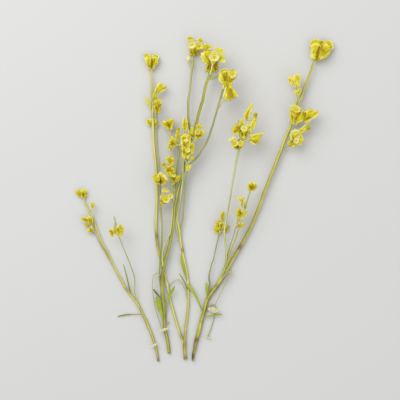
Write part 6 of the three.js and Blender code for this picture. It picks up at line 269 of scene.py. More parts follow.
    ["fan",[252.2,188.4],[[250.6,192.0],[249.0,190.8],[247.5,188.6],[247.4,185.4],[248.2,182.8],[250.4,181.6],[252.8,182.2],[255.0,182.8],[256.4,184.4],[257.8,186.2],[256.6,188.4],[255.0,190.0],[253.4,191.2],[251.8,191.8]],3.2,1.6,2.6,0.03,[-0.5,0.5],"bright"],
  ]],
  ["florets_d_top", "stem_d", [315.2, 59.4, 7.1], [
    ["fan",[316.2,61.0],[[313.8,59.2],[311.6,58.6],[310.5,56.6],[310.3,50],[311.0,46.8],[309.3,43.5],[311.0,40.6],[313.8,39.3],[316.5,38.8],[319.4,39.6],[322.6,39.8],[324.2,40.8],[325.4,40.1],[329,40.0],[332.0,41.6],[334.0,47.8],[331.4,49.2],[329.8,50.2],[330.9,52.2],[328.5,56.5],[325,57.8],[322,57.4],[319.7,60.3]],6.0,-1.1,-1.6,0.2,[-0.5,-0.08,0.42],"bright"],
    ["fan",[315.0,59.6],[[312.0,57.8],[311.2,52.0],[311.9,47.6],[313.4,45.2],[316.6,44.6],[319.2,45.6],[318.4,50.0],[316.8,55.0]],1.3,3.1,1.8,0,[-0.2,0.3],"calyx"],
    ["fan",[318.2,58.6],[[320.4,51.0],[323.0,48.2],[326.4,48.6],[329.8,49.8],[330.2,52.4],[328.6,54.8],[326.8,56.2],[323.6,56.7],[321.4,57.0]],1.3,2.67,1.2,0,[-0.1,0.4],"calyx"],
    ["fan",[319.4,54.0],[[319.8,49.0],[321.0,44.4],[323.2,43.0],[325.4,45.0],[325.0,48.4],[322.4,51.6]],1.1,0.27,2.2,0,2,"ochre"],
  ]],
  ["florets_d5", "stem_d", [296.0, 106.5, 7.4], [
    ["fan",[296.6,87.8],[[293.4,86.0],[289.9,83.4],[288.0,80.6],[287.8,78],[290.5,75.0],[292.8,77.6],[294.4,80.6]],1.1,3.2,4.6,0,3,"bright"],
    ["fan",[297.4,88.2],[[295.0,87.0],[293.6,82],[293.1,78],[293.9,74.8],[296,73.7],[299.2,73.7],[300.5,76],[300.5,84],[299.1,87.0]],1.3,3.4,5.0,0.06,3,"bright"],
    ["fan",[297.0,96.8],[[295.0,94.6],[294.2,91.6],[295.4,89.4],[297.0,88.8],[298.4,91.0],[298.2,94.6]],1.5,2.0,2.8,0.1,2,"pale"],
    ["fan",[297.6,95.6],[[297.2,92.6],[297.8,89.8],[299.4,88.0],[301.0,87.4],[301.0,91.0],[299.8,93.8],[298.6,95.4]],1.3,2.4,3.6,0.1,2,"bright"],
    ["stalk",[[295.6,107.0,0.2],[296.2,102.5,1.2],[296.7,97.5,1.8],[297.0,92.0,2.4],[297.2,87.2,3.0]],1.7,"lime"],
  ]],
  ["florets_d2", "stem_d", [293.6, 122.0, 10.6], [
    ["fan",[295.6,120.0],[[294.0,125.6],[292,123.6],[290.4,120.6],[289.3,117],[289.3,113.4],[290.8,111.4],[294,111.0],[298,111.2],[301.5,112.4],[304.2,114.4],[304.6,118],[303.0,121.0],[300.2,122.8],[297.8,123.6],[295.6,126.4]],4.2,0.8,2.0,0.04,[-0.45,0.1],"bright"],
    ["disc",[296.2,109.6],[4.4,2.8,10],[295.4,117.0],1.6,5.6,5,"bright"],
    ["fan",[294.6,108.2],[[289.4,106.5],[291.0,105.1],[294.0,104.5],[297.0,105.3],[299.8,107.2],[302.0,109.4],[299.2,109.4]],0.7,5.8,6.8,0,4,"cream"],
    ["fan",[293.6,112.6],[[290.4,112.6],[288.4,111.3],[290.2,109.7],[292.4,108.4],[294.4,109.2]],0.7,4.4,5.0,0,2,"bright"],
    ["fan",[303.6,121.0],[[303.0,122.6],[301.4,119.6],[300.6,115.6],[300.8,111.4],[302.2,109.4],[304.4,109.8],[306,110.5],[308.2,109.0],[310.2,108.3],[311.8,108.9],[313.0,110.8],[315,111.4],[317.9,110.0],[318.7,112.8],[318.1,115.2],[316.5,117.3],[314.2,118.6],[312.1,119.6],[310,121.4],[307.4,122.8],[304.8,123.0]],3.4,1.4,2.8,0.03,[-0.35,0.3],"bright"],
    ["fan",[310.4,117.6],[[310.2,113.4],[313.0,111.4],[317.9,110.0],[318.7,113],[318.1,115.3],[314.6,118.2]],0.9,4.8,5.4,0,[0.1],"bright"],
    ["stalk",[[293.0,124.4,2.4],[293.7,119.5,3.4],[294.4,116.0,3.8]],1.0,"bright"],
  ]],
  ["florets_d4", "stem_d", [290.6, 133.8, 7.6], [
    ["bud",302.6,130.6,310.4,126.6,2.4,3.2,"bright"],
    ["fan",[297.2,131.4],[[296.6,133.8],[299.8,134.2],[302.8,133.0],[304.8,131.4],[304.4,128.8],[301.8,128.0],[298.8,129.2],[296.4,129.6]],2.2,2.0,2.8,0.03,[0.0],"calyx"],
    ["stalk",[[291.0,132.4,0.8],[294.6,131.3,1.8],[299.4,131.0,2.6]],3.4,"lime"],
    ["fan",[296.2,131.2],[[292.8,131.6],[293.4,129.4],[295.0,128.4],[297.2,129.6]],0.9,2.4,3.0,0,2,"cream"],
    ["stalk",[[297.6,131.0,2.6],[301.5,128.4,3.4],[304,126.3,3.8],[306.6,123.7,4.2],[309.2,121,4.8],[311.6,118.6,5.2]],1.5,"lime"],
    ["fan",[294.4,139.8],[[291.4,142.6],[290.2,139.2],[289.8,135.8],[290.2,132.8],[293.2,132.2],[296.4,132.5],[298.8,134.0],[300.2,136.8],[299.8,140.0],[298.4,142.6]],2.8,2.8,3.6,0.05,[-0.2,0.3],"bright"],
    ["disc",[296.4,140.6],[2.7,2.9,0],[293.6,144.4],3.0,5.2,5,"pale"],
    ["fan",[292.4,143.6],[[290.6,140.6],[288.4,141.2],[287.5,143.1],[288.3,145.1],[290.3,145.3],[290.8,147],[292.8,147.8],[295.2,147.1],[296.2,145.2],[295.6,143.0],[293.6,141.8]],1.8,3.4,3.8,0.04,[-0.1],"bright"],
    ["fan",[298.4,140.0],[[299.2,138.4],[301.4,139.0],[302.5,141.5],[301.9,144.4],[300,146.1],[298.3,144.8],[297.7,142]],1.1,5.2,5.8,0,2,"bright"],
    ["fan",[300.8,136.6],[[299.6,134.2],[301.6,134.6],[303.6,137.4],[304.4,141.6],[302.6,140.4],[300.8,138.4]],0.7,5.0,5.6,0,2,"bright"],
    ["stalk",[[284.8,148.8,-1.6],[287.4,147.0,0.4],[290.4,145.4,1.8]],1.6,"stem"],
    ["stalk",[[291.4,145.2,2.2],[296.6,141.0,4.0],[298.8,138.8,4.8],[300.4,135.6,5.0]],1.2,"lime"],
    ["stalk",[[292.0,144.0,2.2],[293.2,138.0,2.4],[293.6,133.0,2.0]],1.6,"lime"],
  ]],
  ["florets_a_top", "stem_a", [84.3, 198.4, 2.2], [
    ["fan",[83.6,195.2],[[83.6,199.0],[82.2,198.0],[81.0,196.0],[80.4,193.4],[81.0,191.4],[83,190.8],[85.2,191.0],[86.5,193.1],[86.5,195.6],[85.9,197.6],[84.6,199.0]],2.3,0.14,-0.2,0.04,[-0.05],"bright"],
    ["fan",[80.6,195.6],[[79.4,197.0],[77.6,196.1],[76.7,193.9],[74.8,192.6],[76.1,190.3],[78,189.4],[79.9,189.9],[81.1,191.6],[81.6,195.0]],2.0,-0.33,0.4,0.1,[-0.1,0.4],"bright"],
    ["fan",[83.4,194.0],[[80.4,192.4],[81.0,189.8],[83,188.5],[85.4,189.0],[87.2,191.3],[85.8,192.8]],0.9,2.5,2.8,0,3,"bright"],
    ["stalk",[[84.3,198.8,0.2],[82.8,197.8,0.4],[81.0,197.0,0.6]],1.3,"lime"],
  ]],
  ["florets_a_mid", "stem_a", [91.6, 222.0, 5.4], [
    ["fan",[91.0,222.6],[[87,223.0],[84,221.9],[81.3,219.8],[79.9,217.1],[83,217.4],[86,217.6],[88.6,218.8]],1.1,0.6,1.6,0,3,"ochre"],
    ["fan",[91.4,224.2],[[89.4,224.2],[87.6,222.2],[87.0,219],[87.7,216.4],[90,215.6],[91.9,216.3],[93.0,219.7],[93.2,222.6]],1.6,0,1.4,0.1,3,"bright"],
    ["fan",[92.7,232.4],[[91.3,233.1],[89.5,232.2],[86.9,231.9],[86.9,229.3],[88.6,227.7],[89.9,225.7],[92.3,226.1],[93.6,229],[93.4,231.8]],1.6,-2.0,-1.2,0.1,4,"bright"],
    ["fan",[90.6,225.8],[[88.4,226.3],[85.6,225.8],[82.8,224.6],[85.6,223.9],[88.6,224.4]],0.6,-0.8,-0.4,0,2,"ochre"],
    ["fan",[92.2,208.6],[[90.9,206.8],[90.3,204.5],[91.1,202.9],[93,202.4],[95.0,203.3],[94.8,205.6],[93.4,207.8]],1.4,1.2,1.8,0.2,3,"bright"],
    ["stalk",[[92.1,208.4,1.4],[92.2,212,1.2],[92.0,216.5,0.8],[91.6,221.0,0.2]],1.6,"lime"],
    ["stalk",[[91.6,222.0,0],[92.0,226.0,-1.0],[92.6,229.0,-1.8],[92.6,231.8,-2.0]],1.1,"lime"],
    ["stalk",[[92.0,226.0,-1.0],[90.6,225.7,-1.0]],0.9,"lime"],
  ]],
  ["florets_a_side", "branch_a_side", [119.3, 236.5, 17.2], [
    ["fan",[119.4,233.2],[[119.2,237.2],[117.3,236.0],[116.6,233],[115.2,230.4],[115.2,227.0],[117.4,226.6],[119.4,228.2],[121.8,228.6],[123.2,231.6],[122.4,234.5],[120.7,236.9]],2.4,1.0,1.8,0.03,[0.1],"bright"],
    ["fan",[120.4,230.6],[[118.4,227.8],[119.0,224.6],[120.4,223.8],[121.8,225.8],[124.4,228.6],[122.8,231.0]],0.9,3.4,4.4,0,3,"bright"],
    ["fan",[112.8,233.2],[[113.6,236.2],[112.4,237.5],[110.9,235.7],[109.4,232.9],[108.4,229.7],[111.5,229.2],[114.4,229.4],[115.2,232.3],[114.6,234.6]],1.6,1.4,1.8,0.05,[0.0],"bright"],
    ["stalk",[[118.6,235.4,0.4],[116.2,233.6,0.8],[113.8,234.0,1.0]],1.4,"lime"],
    ["stalk",[[115.6,233.4,0.8],[114.6,230,1.6],[114.6,226,2.4],[115.1,223,3],[114.9,220,3.4],[114.2,216.8,3.8]],1.4,"olive"],
    ["stalk",[[115.4,226.0,2.6],[116.6,224.8,2.8],[115.6,221.8,3.2]],0.9,"olive"],
  ]],
]

SPENT = [
  ["pedicel_a",[[150.9,346.6,1.4,0],[152.6,345.9,2.4,0.3],[154.2,345.2,2.6,0.4],[155.8,344.3,2.0,0.3],[157.2,343.2,0.9,0.2]]],
  ["pedicel_n",[[158.8,331.0,1.6,0],[160.6,330.6,2.6,0.3],[163.2,330.0,3.0,0.5],[165.6,329.2,2.8,0.3],[167.8,328.2,1.2,0.1]]],
  ["pedicel_d1",[[207.9,309.0,1.6,0.8],[209.8,309.1,3.4,0.8],[212.0,309.5,4.2,0.8],[214.4,310.3,5.4,0.6],[216.2,310.5,4.8,0.4],[217.9,310.8,2.2,0.3]]],
  ["pedicel_d2",[[204.9,336.1,1.0,0],[206.4,336.7,1.9,0.1],[208.1,337.4,2.2,0.2],[209.5,338.0,1.8,0.1],[210.6,338.5,0.9,0]]],
]

# ------------------------------------------------------------------ colours and patches
FLORET_RAMP = [(0.02, (0.88, 0.86, 0.58)), (0.15, (0.80, 0.765, 0.30)), (0.275, (0.73, 0.67, 0.02)), (0.365, (0.64, 0.565, 0.011)), (0.45, (0.53, 0.445, 0.008)), (0.57, (0.37, 0.28, 0.005)), (0.72, (0.19, 0.125, 0.005)), (0.95, (0.065, 0.042, 0.004))]
STEM_RAMP = [(0.0, (0.84, 0.81, 0.38)), (0.25, (0.64, 0.61, 0.16)), (0.42, (0.47, 0.445, 0.08)), (0.58, (0.31, 0.29, 0.04)), (0.74, (0.19, 0.16, 0.03)), (0.9, (0.08, 0.06, 0.025))]
BRANCH_RAMP = [(0.0, (0.74, 0.75, 0.42)), (0.25, (0.54, 0.555, 0.20)), (0.42, (0.37, 0.385, 0.115)), (0.58, (0.24, 0.25, 0.06)), (0.74, (0.15, 0.14, 0.035)), (0.9, (0.07, 0.055, 0.025))]
GREEN_RAMP = [(0.0, (0.72, 0.72, 0.28)), (0.25, (0.49, 0.495, 0.105)), (0.42, (0.34, 0.345, 0.045)), (0.6, (0.21, 0.22, 0.02)), (0.78, (0.15, 0.13, 0.03)), (0.92, (0.08, 0.06, 0.025))]
THREAD_RAMP = [(0.0, (0.74, 0.71, 0.40)), (0.3, (0.46, 0.46, 0.19)), (0.5, (0.29, 0.30, 0.10)), (0.75, (0.16, 0.16, 0.05)), (0.95, (0.07, 0.06, 0.03))]
LEAF_RAMP = [(0.0, (0.66, 0.70, 0.16)), (0.25, (0.44, 0.52, 0.055)), (0.45, (0.30, 0.37, 0.025)), (0.65, (0.18, 0.23, 0.02)), (0.9, (0.11, 0.10, 0.03))]
DRY_RAMP = [(0.0, (0.52, 0.54, 0.13)), (0.3, (0.275, 0.325, 0.018)), (0.5, (0.17, 0.20, 0.003)), (0.7, (0.098, 0.105, 0.001)), (0.92, (0.045, 0.036, 0.001))]
SPENT_RAMP = [(0.0, (0.90, 0.86, 0.64)), (0.3, (0.80, 0.74, 0.47)), (0.5, (0.66, 0.56, 0.33)), (0.75, (0.42, 0.30, 0.16)), (0.95, (0.16, 0.09, 0.05))]
WARM_FLORET = (0.70, 0.41, 0.006)
WARM_STEM = (0.30, 0.12, 0.05)
WARM_SPENT = (0.55, 0.30, 0.18)
FLOOR_COLOUR = (0.66, 0.66, 0.652, 1)
WORLD_LIGHT = 0.64
LIGHTS = [("key", (-0.7, 0.9, 1.3), 1.5, 19.0), ("fill", (0.9, -0.5, 1.2), 1.4, 2.5)]
# marks paint the florets' own ochre spots, cream edges and orange patches, and also painted shade deepening some folds
# and hollows and painted light paling places that lie in shadow
# head, across and along of both ends, size, shade change, warm change
MARKS = [
    ["florets_s3_lower", 224.8, 90.0, 224.6, 97.0, 2.2, -0.11, 0.0], ["florets_s3_lower", 226.6, 87.0, 229.6, 87.4, 1.8, -0.10, 0.0], ["florets_s3_lower", 226.0, 100.6, 231.8, 99.8, 1.0, -0.05, 0.0],
    ["florets_s3_lower", 230.2, 90.6, 231.0, 95.6, 1.6, 0.07, 0.1], ["florets_s3_lower", 234.0, 91.0, 236.8, 95.6, 0.9, -0.16, 0.0],
    ["florets_centre", 195.8, 138.8, 201.4, 137.8, 1.5, -0.22, 0.0], ["florets_centre", 183.6, 136.4, 188.4, 140.4, 2.6, -0.10, 0.0], ["florets_centre", 182.4, 143.6, 183.0, 146.4, 1.8, -0.08, 0.0],
    ["florets_z7", 169.8, 195.6, 171.4, 197.2, 1.8, -0.12, 0.05],
    ["florets_s1", 191.0, 49.4, 191.0, 51.6, 1.1, 0.16, 0.3], ["florets_s1", 195.2, 49.0, 195.2, 52.6, 1.3, 0.18, 0.3], ["florets_s1", 186.2, 40.2, 194.0, 39.6, 0.6, -0.24, 0.0], ["florets_s1", 196.6, 39.8, 199.2, 39.6, 0.8, -0.2, 0.0], ["florets_s1", 191.2, 44.0, 192.2, 46.0, 1.9, -0.10, -0.1], ["florets_s1", 198.6, 44.6, 199.8, 46.2, 1.8, -0.10, 0.15], ["florets_s1", 187.4, 56.8, 188.4, 60.0, 1.6, -0.18, -0.3],
    ["florets_s2", 208.4, 62.6, 209.8, 67.6, 1.4, 0.16, 0.2], ["florets_s2", 216.2, 62.6, 216.4, 68.2, 1.4, 0.16, 0.2], ["florets_s2", 203.6, 54.0, 208.0, 62.6, 1.7, -0.14, 0.0], ["florets_s2", 220.8, 62.2, 225.4, 62.0, 0.6, -0.2, 0.0], ["florets_s2", 211.0, 66.0, 210.8, 69.8, 0.8, 0.3, 0.0],
    ["florets_s2", 205.6, 51.4, 210.6, 51.8, 1.2, 0.10, 0.1], ["florets_s2", 214.0, 57.0, 214.0, 57.0, 2.6, 0.04, 0.12],
    ["florets_s3_upper", 226.4, 72.6, 226.6, 76.4, 1.1, 0.16, 0.2], ["florets_s3_upper", 226.6, 76.4, 226.2, 82.8, 1.1, 0.16, 0.1], ["florets_s3_upper", 231.6, 73.0, 233.4, 74.4, 2.0, -0.12, 0.1], ["florets_s3_upper", 221.6, 77.0, 222.4, 80.0, 1.6, -0.1, 0.0], ["florets_s3_upper", 223.4, 76.0, 223.8, 78.4, 1.2, 0.06, 0.2], ["florets_s3_upper", 222.2, 73.2, 222.8, 73.6, 1.0, 0.12, 0.5],
    ["florets_s3_upper", 228.4, 83.4, 229.0, 86.4, 1.6, -0.14, 0.0],
    ["florets_s3_lower", 229.4, 89.6, 231.2, 96.6, 2.3, 0.18, 0.2], ["florets_s3_lower", 226.0, 89.6, 225.6, 94.6, 1.9, -0.14, -0.2], ["florets_s3_lower", 235.4, 95.8, 236.6, 93.6, 1.2, 0.04, 0.35], ["florets_s3_lower", 228.2, 92.0, 228.6, 97.0, 0.7, 0.12, 0.1],
    ["florets_z1", 152.1, 58.6, 151.9, 61.4, 1.0, 0.20, 0.0], ["florets_z1", 151.4, 59.6, 151.2, 68.0, 1.3, 0.12, 0.25], ["florets_z1", 148.2, 60.2, 148.6, 67.4, 0.9, 0.24, 0.1], ["florets_z1", 154.4, 58.0, 154.2, 62.6, 1.4, 0.10, 0.0], ["florets_z1", 145.6, 55.2, 148.4, 55.2, 0.6, 0.14, 0.4],
    ["florets_c_mid", 159.6, 176.4, 160.2, 178.6, 1.3, 0.2, 0.35], ["florets_c_mid", 160.7, 179.6, 160.6, 184.2, 0.8, 0.26, 0.0], ["florets_c_mid", 155.6, 181.4, 158.8, 183.4, 1.9, 0.14, 0.05], ["florets_c_mid", 162.6, 182.0, 165.4, 181.6, 1.5, 0.12, 0.05], ["florets_c_mid", 163.2, 175.6, 166.8, 179.2, 0.7, -0.26, 0.1], ["florets_c_mid", 157.6, 175.6, 159.4, 176.8, 0.7, -0.22, 0.1],
    ["florets_p1", 167.4, 122.6, 169.6, 125.6, 1.5, 0.16, 0.15], ["florets_p1", 170.4, 122.2, 170.2, 124.4, 0.9, 0.08, 0.1], ["florets_p1", 164.0, 121.6, 168.6, 128.8, 0.8, -0.14, 0.0], ["florets_p1", 171.8, 124.0, 171.2, 129.0, 0.8, -0.12, 0.0],
    ["florets_d_top", 319.4, 46.8, 315.6, 56.4, 0.5, 0.40, 0.05], ["florets_d_top", 321.2, 43.0, 322.4, 50.4, 1.6, 0.18, 0.1], ["florets_d_top", 316.0, 41.0, 316.8, 41.2, 1.0, 0.06, 0.55],
    ["florets_d_top", 328.6, 43.4, 329.0, 43.8, 1.1, 0.06, 0.5], ["florets_d_top", 328.0, 51.0, 328.2, 51.4, 0.9, 0.1, 0.4], ["florets_d_top", 312.6, 44.0, 319.4, 44.0, 0.8, -0.14, 0.1], ["florets_d_top", 324.0, 50.6, 328.0, 53.6, 2.2, 0.07, 0.0], ["florets_d_top", 312.6, 50.0, 314.4, 54.6, 1.6, 0.05, 0.0], ["florets_d_top", 324.8, 42.0, 327.6, 45.6, 0.7, -0.2, 0.0],
    ["florets_d_top", 314.4, 49.6, 313.8, 55.4, 1.4, -0.08, 0.0], ["florets_d_top", 318.2, 57.4, 319.0, 58.4, 1.0, 0.06, 0.1],
    ["florets_x", 236.6, 126.2, 236.8, 126.6, 1.6, 0.12, 0.3], ["florets_x", 234.0, 130.4, 235.4, 130.8, 1.6, 0.10, 0.3], ["florets_x", 242.2, 133.0, 242.4, 135.4, 0.9, 0.28, 0.0], ["florets_x", 246.2, 132.8, 245.6, 136.0, 0.9, 0.24, 0.1],
    ["florets_x", 243.2, 137.6, 243.8, 138.8, 1.4, -0.14, 0.0], ["florets_x", 256.4, 142.6, 256.8, 142.8, 1.2, 0.12, 0.4], ["florets_x", 251.4, 137.0, 252.6, 139.6, 1.6, -0.2, -0.2], ["florets_x", 237.4, 146.8, 238.0, 147.2, 1.1, 0.24, 0.0],
    ["florets_x", 255.4, 114.8, 255.4, 115.8, 0.6, 0.10, 0.3], ["florets_x", 249.4, 131.0, 249.6, 133.2, 1.2, -0.16, 0.1], ["florets_x", 235.0, 143.2, 235.4, 144.2, 1.5, -0.06, 0.18], ["florets_x", 240.2, 143.2, 240.8, 144.2, 1.5, -0.06, 0.18], ["florets_x", 250.6, 104.6, 246.0, 116.6, 2.0, 0.06, 0.06], ["florets_x", 249.6, 129.0, 250.0, 130.6, 1.2, -0.1, 0.0], ["florets_x", 230.6, 139.6, 234.6, 137.6, 0.9, -0.12, 0.0], ["florets_x", 252.6, 143.8, 257.4, 145.2, 0.7, -0.22, 0.0], ["florets_x", 246.2, 113.6, 245.4, 119.4, 0.8, 0.05, 0.2], ["florets_x", 254.8, 120.8, 255.0, 121.6, 0.7, 0.12, 0.2], ["florets_x", 248.8, 126.6, 250.2, 126.8, 0.5, 0.2, 0.1],
    ["florets_c_mid", 163.0, 180.0, 162.6, 183.4, 1.0, 0.12, 0.0], ["florets_z5", 155.4, 103.6, 158.0, 103.8, 0.7, 0.08, 0.3], ["florets_z5", 155.4, 105.6, 158.4, 107.6, 1.6, -0.08, 0.15], ["florets_z5", 157.4, 109.4, 158.6, 111.6, 1.4, -0.08, 0.0], ["florets_z5", 155.4, 105.6, 155.8, 106.6, 0.9, -0.12, 0.0],
    ["florets_z2", 160.6, 85.2, 161.0, 86.2, 1.2, 0.06, 0.4], ["florets_z2", 165.0, 86.8, 165.2, 87.2, 0.9, 0.06, 0.5], ["florets_z6", 148.4, 120.3, 148.6, 120.5, 0.6, 0.3, 0.1],
    ["florets_p2", 171.8, 141.6, 172.6, 145.8, 1.6, 0.12, 0.12], ["florets_p2", 176.4, 133.2, 176.6, 134.0, 0.9, 0.1, 0.5], ["florets_p2", 177.6, 138.6, 177.6, 139.6, 0.8, 0.2, 0.1],
    ["florets_centre", 184.0, 137.2, 184.4, 138.2, 1.0, 0.14, 0.2], ["florets_centre", 182.0, 140.0, 182.4, 141.6, 1.0, -0.10, 0.0], ["florets_centre", 192.2, 150.0, 192.6, 152.8, 1.1, -0.10, 0.1], ["florets_centre", 188.6, 135.8, 188.8, 136.6, 1.3, 0.02, 0.35], ["florets_centre", 183.0, 142.0, 183.2, 144.8, 1.1, 0.08, 0.3],
    ["florets_centre", 186.4, 143.4, 187.0, 146.0, 0.8, 0.12, 0.2], ["florets_centre", 184.2, 150.8, 183.8, 152.6, 0.9, 0.34, 0.1], ["florets_centre", 187.4, 153.8, 187.6, 154.4, 1.0, 0.14, 0.2],
    ["florets_centre", 195.0, 136.0, 201.0, 135.6, 0.7, 0.16, 0.1], ["florets_centre", 196.8, 131.6, 197.8, 132.8, 1.7, 0.0, 0.3], ["florets_centre", 202.0, 129.6, 203.4, 132.4, 0.8, -0.14, 0.0], ["florets_centre", 196.0, 138.4, 200.0, 137.6, 0.9, 0.02, 0.0],
    ["florets_w", 166.6, 169.8, 167.4, 170.4, 1.2, 0.14, 0.3], ["florets_w", 168.8, 168.2, 169.2, 168.8, 1.0, 0.14, 0.3], ["florets_w", 171.6, 172.2, 172.4, 173.6, 1.1, 0.14, 0.0], ["florets_w", 170.6, 157.6, 170.8, 158.2, 0.7, 0.08, 0.4],
    ["florets_w", 173.2, 160.2, 173.4, 160.8, 0.9, 0.06, 0.4], ["florets_w_low", 173.4, 178.2, 173.6, 179.4, 1.2, 0.08, 0.1], ["florets_w_low", 171.4, 177.6, 171.5, 178.6, 0.7, 0.22, 0.0],
    ["florets_w_low", 178.2, 176.3, 178.5, 176.7, 0.6, 0.08, 0.5], ["florets_z7", 161.6, 200.8, 162.4, 201.8, 0.7, 0.24, 0.0], ["florets_z7", 160.6, 197.2, 161.4, 198.0, 0.8, 0.0, 0.2],
    ["florets_z7", 163.2, 190.4, 165.6, 190.8, 1.0, -0.10, 0.2], ["florets_z7", 165.4, 198.0, 166.8, 199.8, 1.8, -0.08, 0.15], ["florets_z7", 162.4, 191.8, 167.8, 191.2, 0.6, -0.16, 0.0],
    ["florets_d_mid", 239.6, 212.0, 240.6, 213.8, 1.5, 0.13, 0.2], ["florets_d_mid", 238.4, 209.4, 238.8, 210.2, 1.2, -0.1, 0.0], ["florets_d_mid", 238.0, 215.6, 239.2, 216.4, 0.9, 0.12, 0.1], ["florets_d_mid", 244.8, 204.8, 245.2, 206.4, 0.8, -0.02, 0.25], ["florets_d_mid", 238.6, 225.6, 239.0, 226.8, 0.9, 0.14, 0.3],
    ["florets_d_mid", 239.4, 198.2, 242.2, 199.0, 1.8, -0.10, 0.05], ["floret_251", 251.8, 186.4, 252.4, 187.4, 1.9, 0.18, 0.15], ["floret_251", 250.6, 189.4, 250.8, 190.2, 0.8, 0.12, 0.2], ["floret_251", 255.6, 184.6, 256.0, 185.2, 0.8, 0.0, 0.35],
    ["floret_251", 253.4, 182.8, 254.6, 183.2, 0.8, -0.2, 0.0], ["floret_251", 248.8, 182.6, 250.6, 182.4, 0.8, -0.14, 0.0],
    ["florets_d_left", 220.9, 225.4, 221.4, 226.2, 0.9, 0.18, 0.3], ["florets_d_left", 226.6, 226.8, 227.4, 231.0, 1.5, -0.16, 0.35], ["florets_d_left", 221.4, 214.0, 222.6, 218.2, 1.4, -0.06, 0.4], ["florets_d_left", 217.0, 225.0, 219.0, 227.4, 1.2, -0.08, 0.2], ["florets_d_left", 219.2, 222.8, 223.6, 222.8, 0.6, -0.22, 0.0], ["florets_d_left", 216.8, 222.6, 217.8, 221.4, 1.0, 0.06, 0.35], ["florets_d_left", 217.4, 231.6, 218.4, 231.8, 0.8, 0.12, 0.2],
    ["florets_d2", 291.6, 117.4, 292.2, 119.4, 1.0, 0.09, 0.3], ["florets_d2", 295.8, 117.6, 296.4, 121.6, 1.3, 0.06, 0.3], ["florets_d2", 298.4, 113.6, 299.0, 115.0, 1.1, 0.10, 0.3], ["florets_d2", 302.2, 114.6, 302.6, 117.0, 1.2, 0.12, 0.25],
    ["florets_d2", 306.0, 116.0, 306.6, 118.0, 1.2, 0.08, 0.05], ["florets_d2", 304.8, 113.0, 305.6, 114.0, 0.7, 0.16, 0.0], ["florets_d2", 301.2, 120.2, 302.0, 120.8, 1.2, -0.06, 0.0], ["florets_d2", 308.6, 114.0, 314.0, 114.8, 2.4, -0.05, 0.05], ["florets_d2", 311.2, 112.0, 311.8, 112.8, 0.9, 0.14, 0.0], ["florets_d2", 295.4, 109.0, 297.0, 110.0, 1.6, -0.10, 0.1],
    ["florets_d2", 318.2, 114.8, 309.4, 121.6, 0.9, -0.30, 0.0], ["florets_d2", 294.4, 115.4, 294.2, 121.6, 0.7, -0.16, 0.0], ["florets_d2", 299.4, 118.6, 300.6, 121.0, 1.2, -0.08, 0.0], ["florets_d2", 293.0, 113.0, 294.4, 114.6, 1.4, -0.04, 0.15],
    ["florets_d4", 291.0, 141.4, 292.2, 142.0, 0.9, 0.30, 0.0], ["florets_d4", 289.0, 142.4, 289.4, 144.4, 1.1, -0.08, 0.0], ["florets_d4", 291.8, 145.8, 294.6, 146.2, 0.9, -0.12, 0.0], ["florets_d4", 293.4, 144.2, 294.2, 144.4, 0.7, 0.12, 0.15], ["florets_d4", 289.2, 142.8, 289.6, 143.2, 0.7, 0.16, 0.1], ["florets_d4", 306.4, 128.8, 308.2, 127.8, 0.6, 0.09, 0.35],
    ["florets_d4", 300.6, 130.4, 302.6, 130.0, 0.7, 0.08, 0.3], ["florets_d4", 302.6, 132.8, 308.6, 131.0, 0.7, -0.2, 0.0], ["florets_d4", 293.6, 134.8, 296.8, 137.0, 2.4, -0.12, -0.1], ["florets_d4", 291.2, 135.6, 291.8, 140.2, 1.0, -0.10, 0.0], ["florets_d4", 299.6, 139.6, 300.4, 143.4, 1.5, -0.13, 0.1], ["florets_d4", 301.6, 135.6, 303.4, 139.8, 0.9, -0.14, 0.15], ["florets_d4", 292.8, 133.4, 293.2, 134.2, 1.0, 0.06, 0.25],
    ["florets_d5", 296.0, 76.2, 297.0, 77.2, 1.2, 0.0, 0.35], ["florets_d5", 294.6, 79.6, 296.4, 84.6, 1.6, -0.10, 0.1], ["florets_d5", 290.6, 78.0, 292.4, 81.0, 1.5, -0.08, 0.1], ["florets_d5", 288.8, 79.2, 289.4, 79.8, 0.8, 0.04, 0.4], ["florets_d5", 297.4, 82.4, 297.8, 84.6, 0.9, -0.22, 0.0], ["florets_d5", 293.2, 80.6, 294.0, 83.0, 0.6, 0.04, 0.2],
    ["florets_a_top", 83.0, 193.4, 83.3, 195.6, 0.9, 0.18, 0.1], ["florets_a_top", 83.2, 198.2, 83.6, 198.4, 0.7, 0.2, 0.1], ["florets_a_top", 78.4, 192.6, 78.8, 193.6, 0.9, -0.08, 0.1], ["florets_a_top", 81.0, 190.6, 84.6, 190.2, 1.0, -0.14, 0.0], ["florets_a_mid", 84.4, 219.0, 86.6, 219.8, 1.0, 0.1, 0.4],
    ["florets_a_mid", 89.4, 219.4, 89.8, 220.6, 1.0, 0.16, 0.1], ["florets_a_mid", 90.4, 229.4, 90.8, 230.2, 1.0, 0.12, 0.2], ["florets_a_side", 112.0, 233.8, 112.6, 234.8, 1.0, 0.1, 0.3], ["florets_a_side", 110.2, 230.6, 110.6, 231.0, 0.8, 0.1, 0.3],
    ["florets_a_side", 117.0, 229.4, 117.6, 230.4, 0.9, 0.10, 0.3], ["florets_a_side", 119.4, 230.4, 119.8, 234.2, 1.4, -0.12, -0.1], ["florets_a_side", 120.2, 225.8, 120.8, 226.8, 0.8, 0.04, 0.45],
]
BASE_SHADE = {"stem_a": 0.38, "stem_b": 0.44, "stem_c": 0.31, "stem_c_left": 0.32, "stem_d": 0.445, "branch_e": 0.50, "branch_k": 0.38, "branch_s1": 0.45, "branch_x": 0.34,
              "branch_t": 0.42, "branch_hj": 0.36, "branch_i": 0.48, "branch_d_left": 0.57, "branch_d_mid": 0.46, "branch_a_side": 0.38,
              "pedicel_a": 0.32, "pedicel_n": 0.34, "pedicel_m": 0.30, "pedicel_m2": 0.42, "pedicel_d1": 0.38, "pedicel_d2": 0.45, "strand_a_pale": 0.36, "strand_d_thin": 0.54}
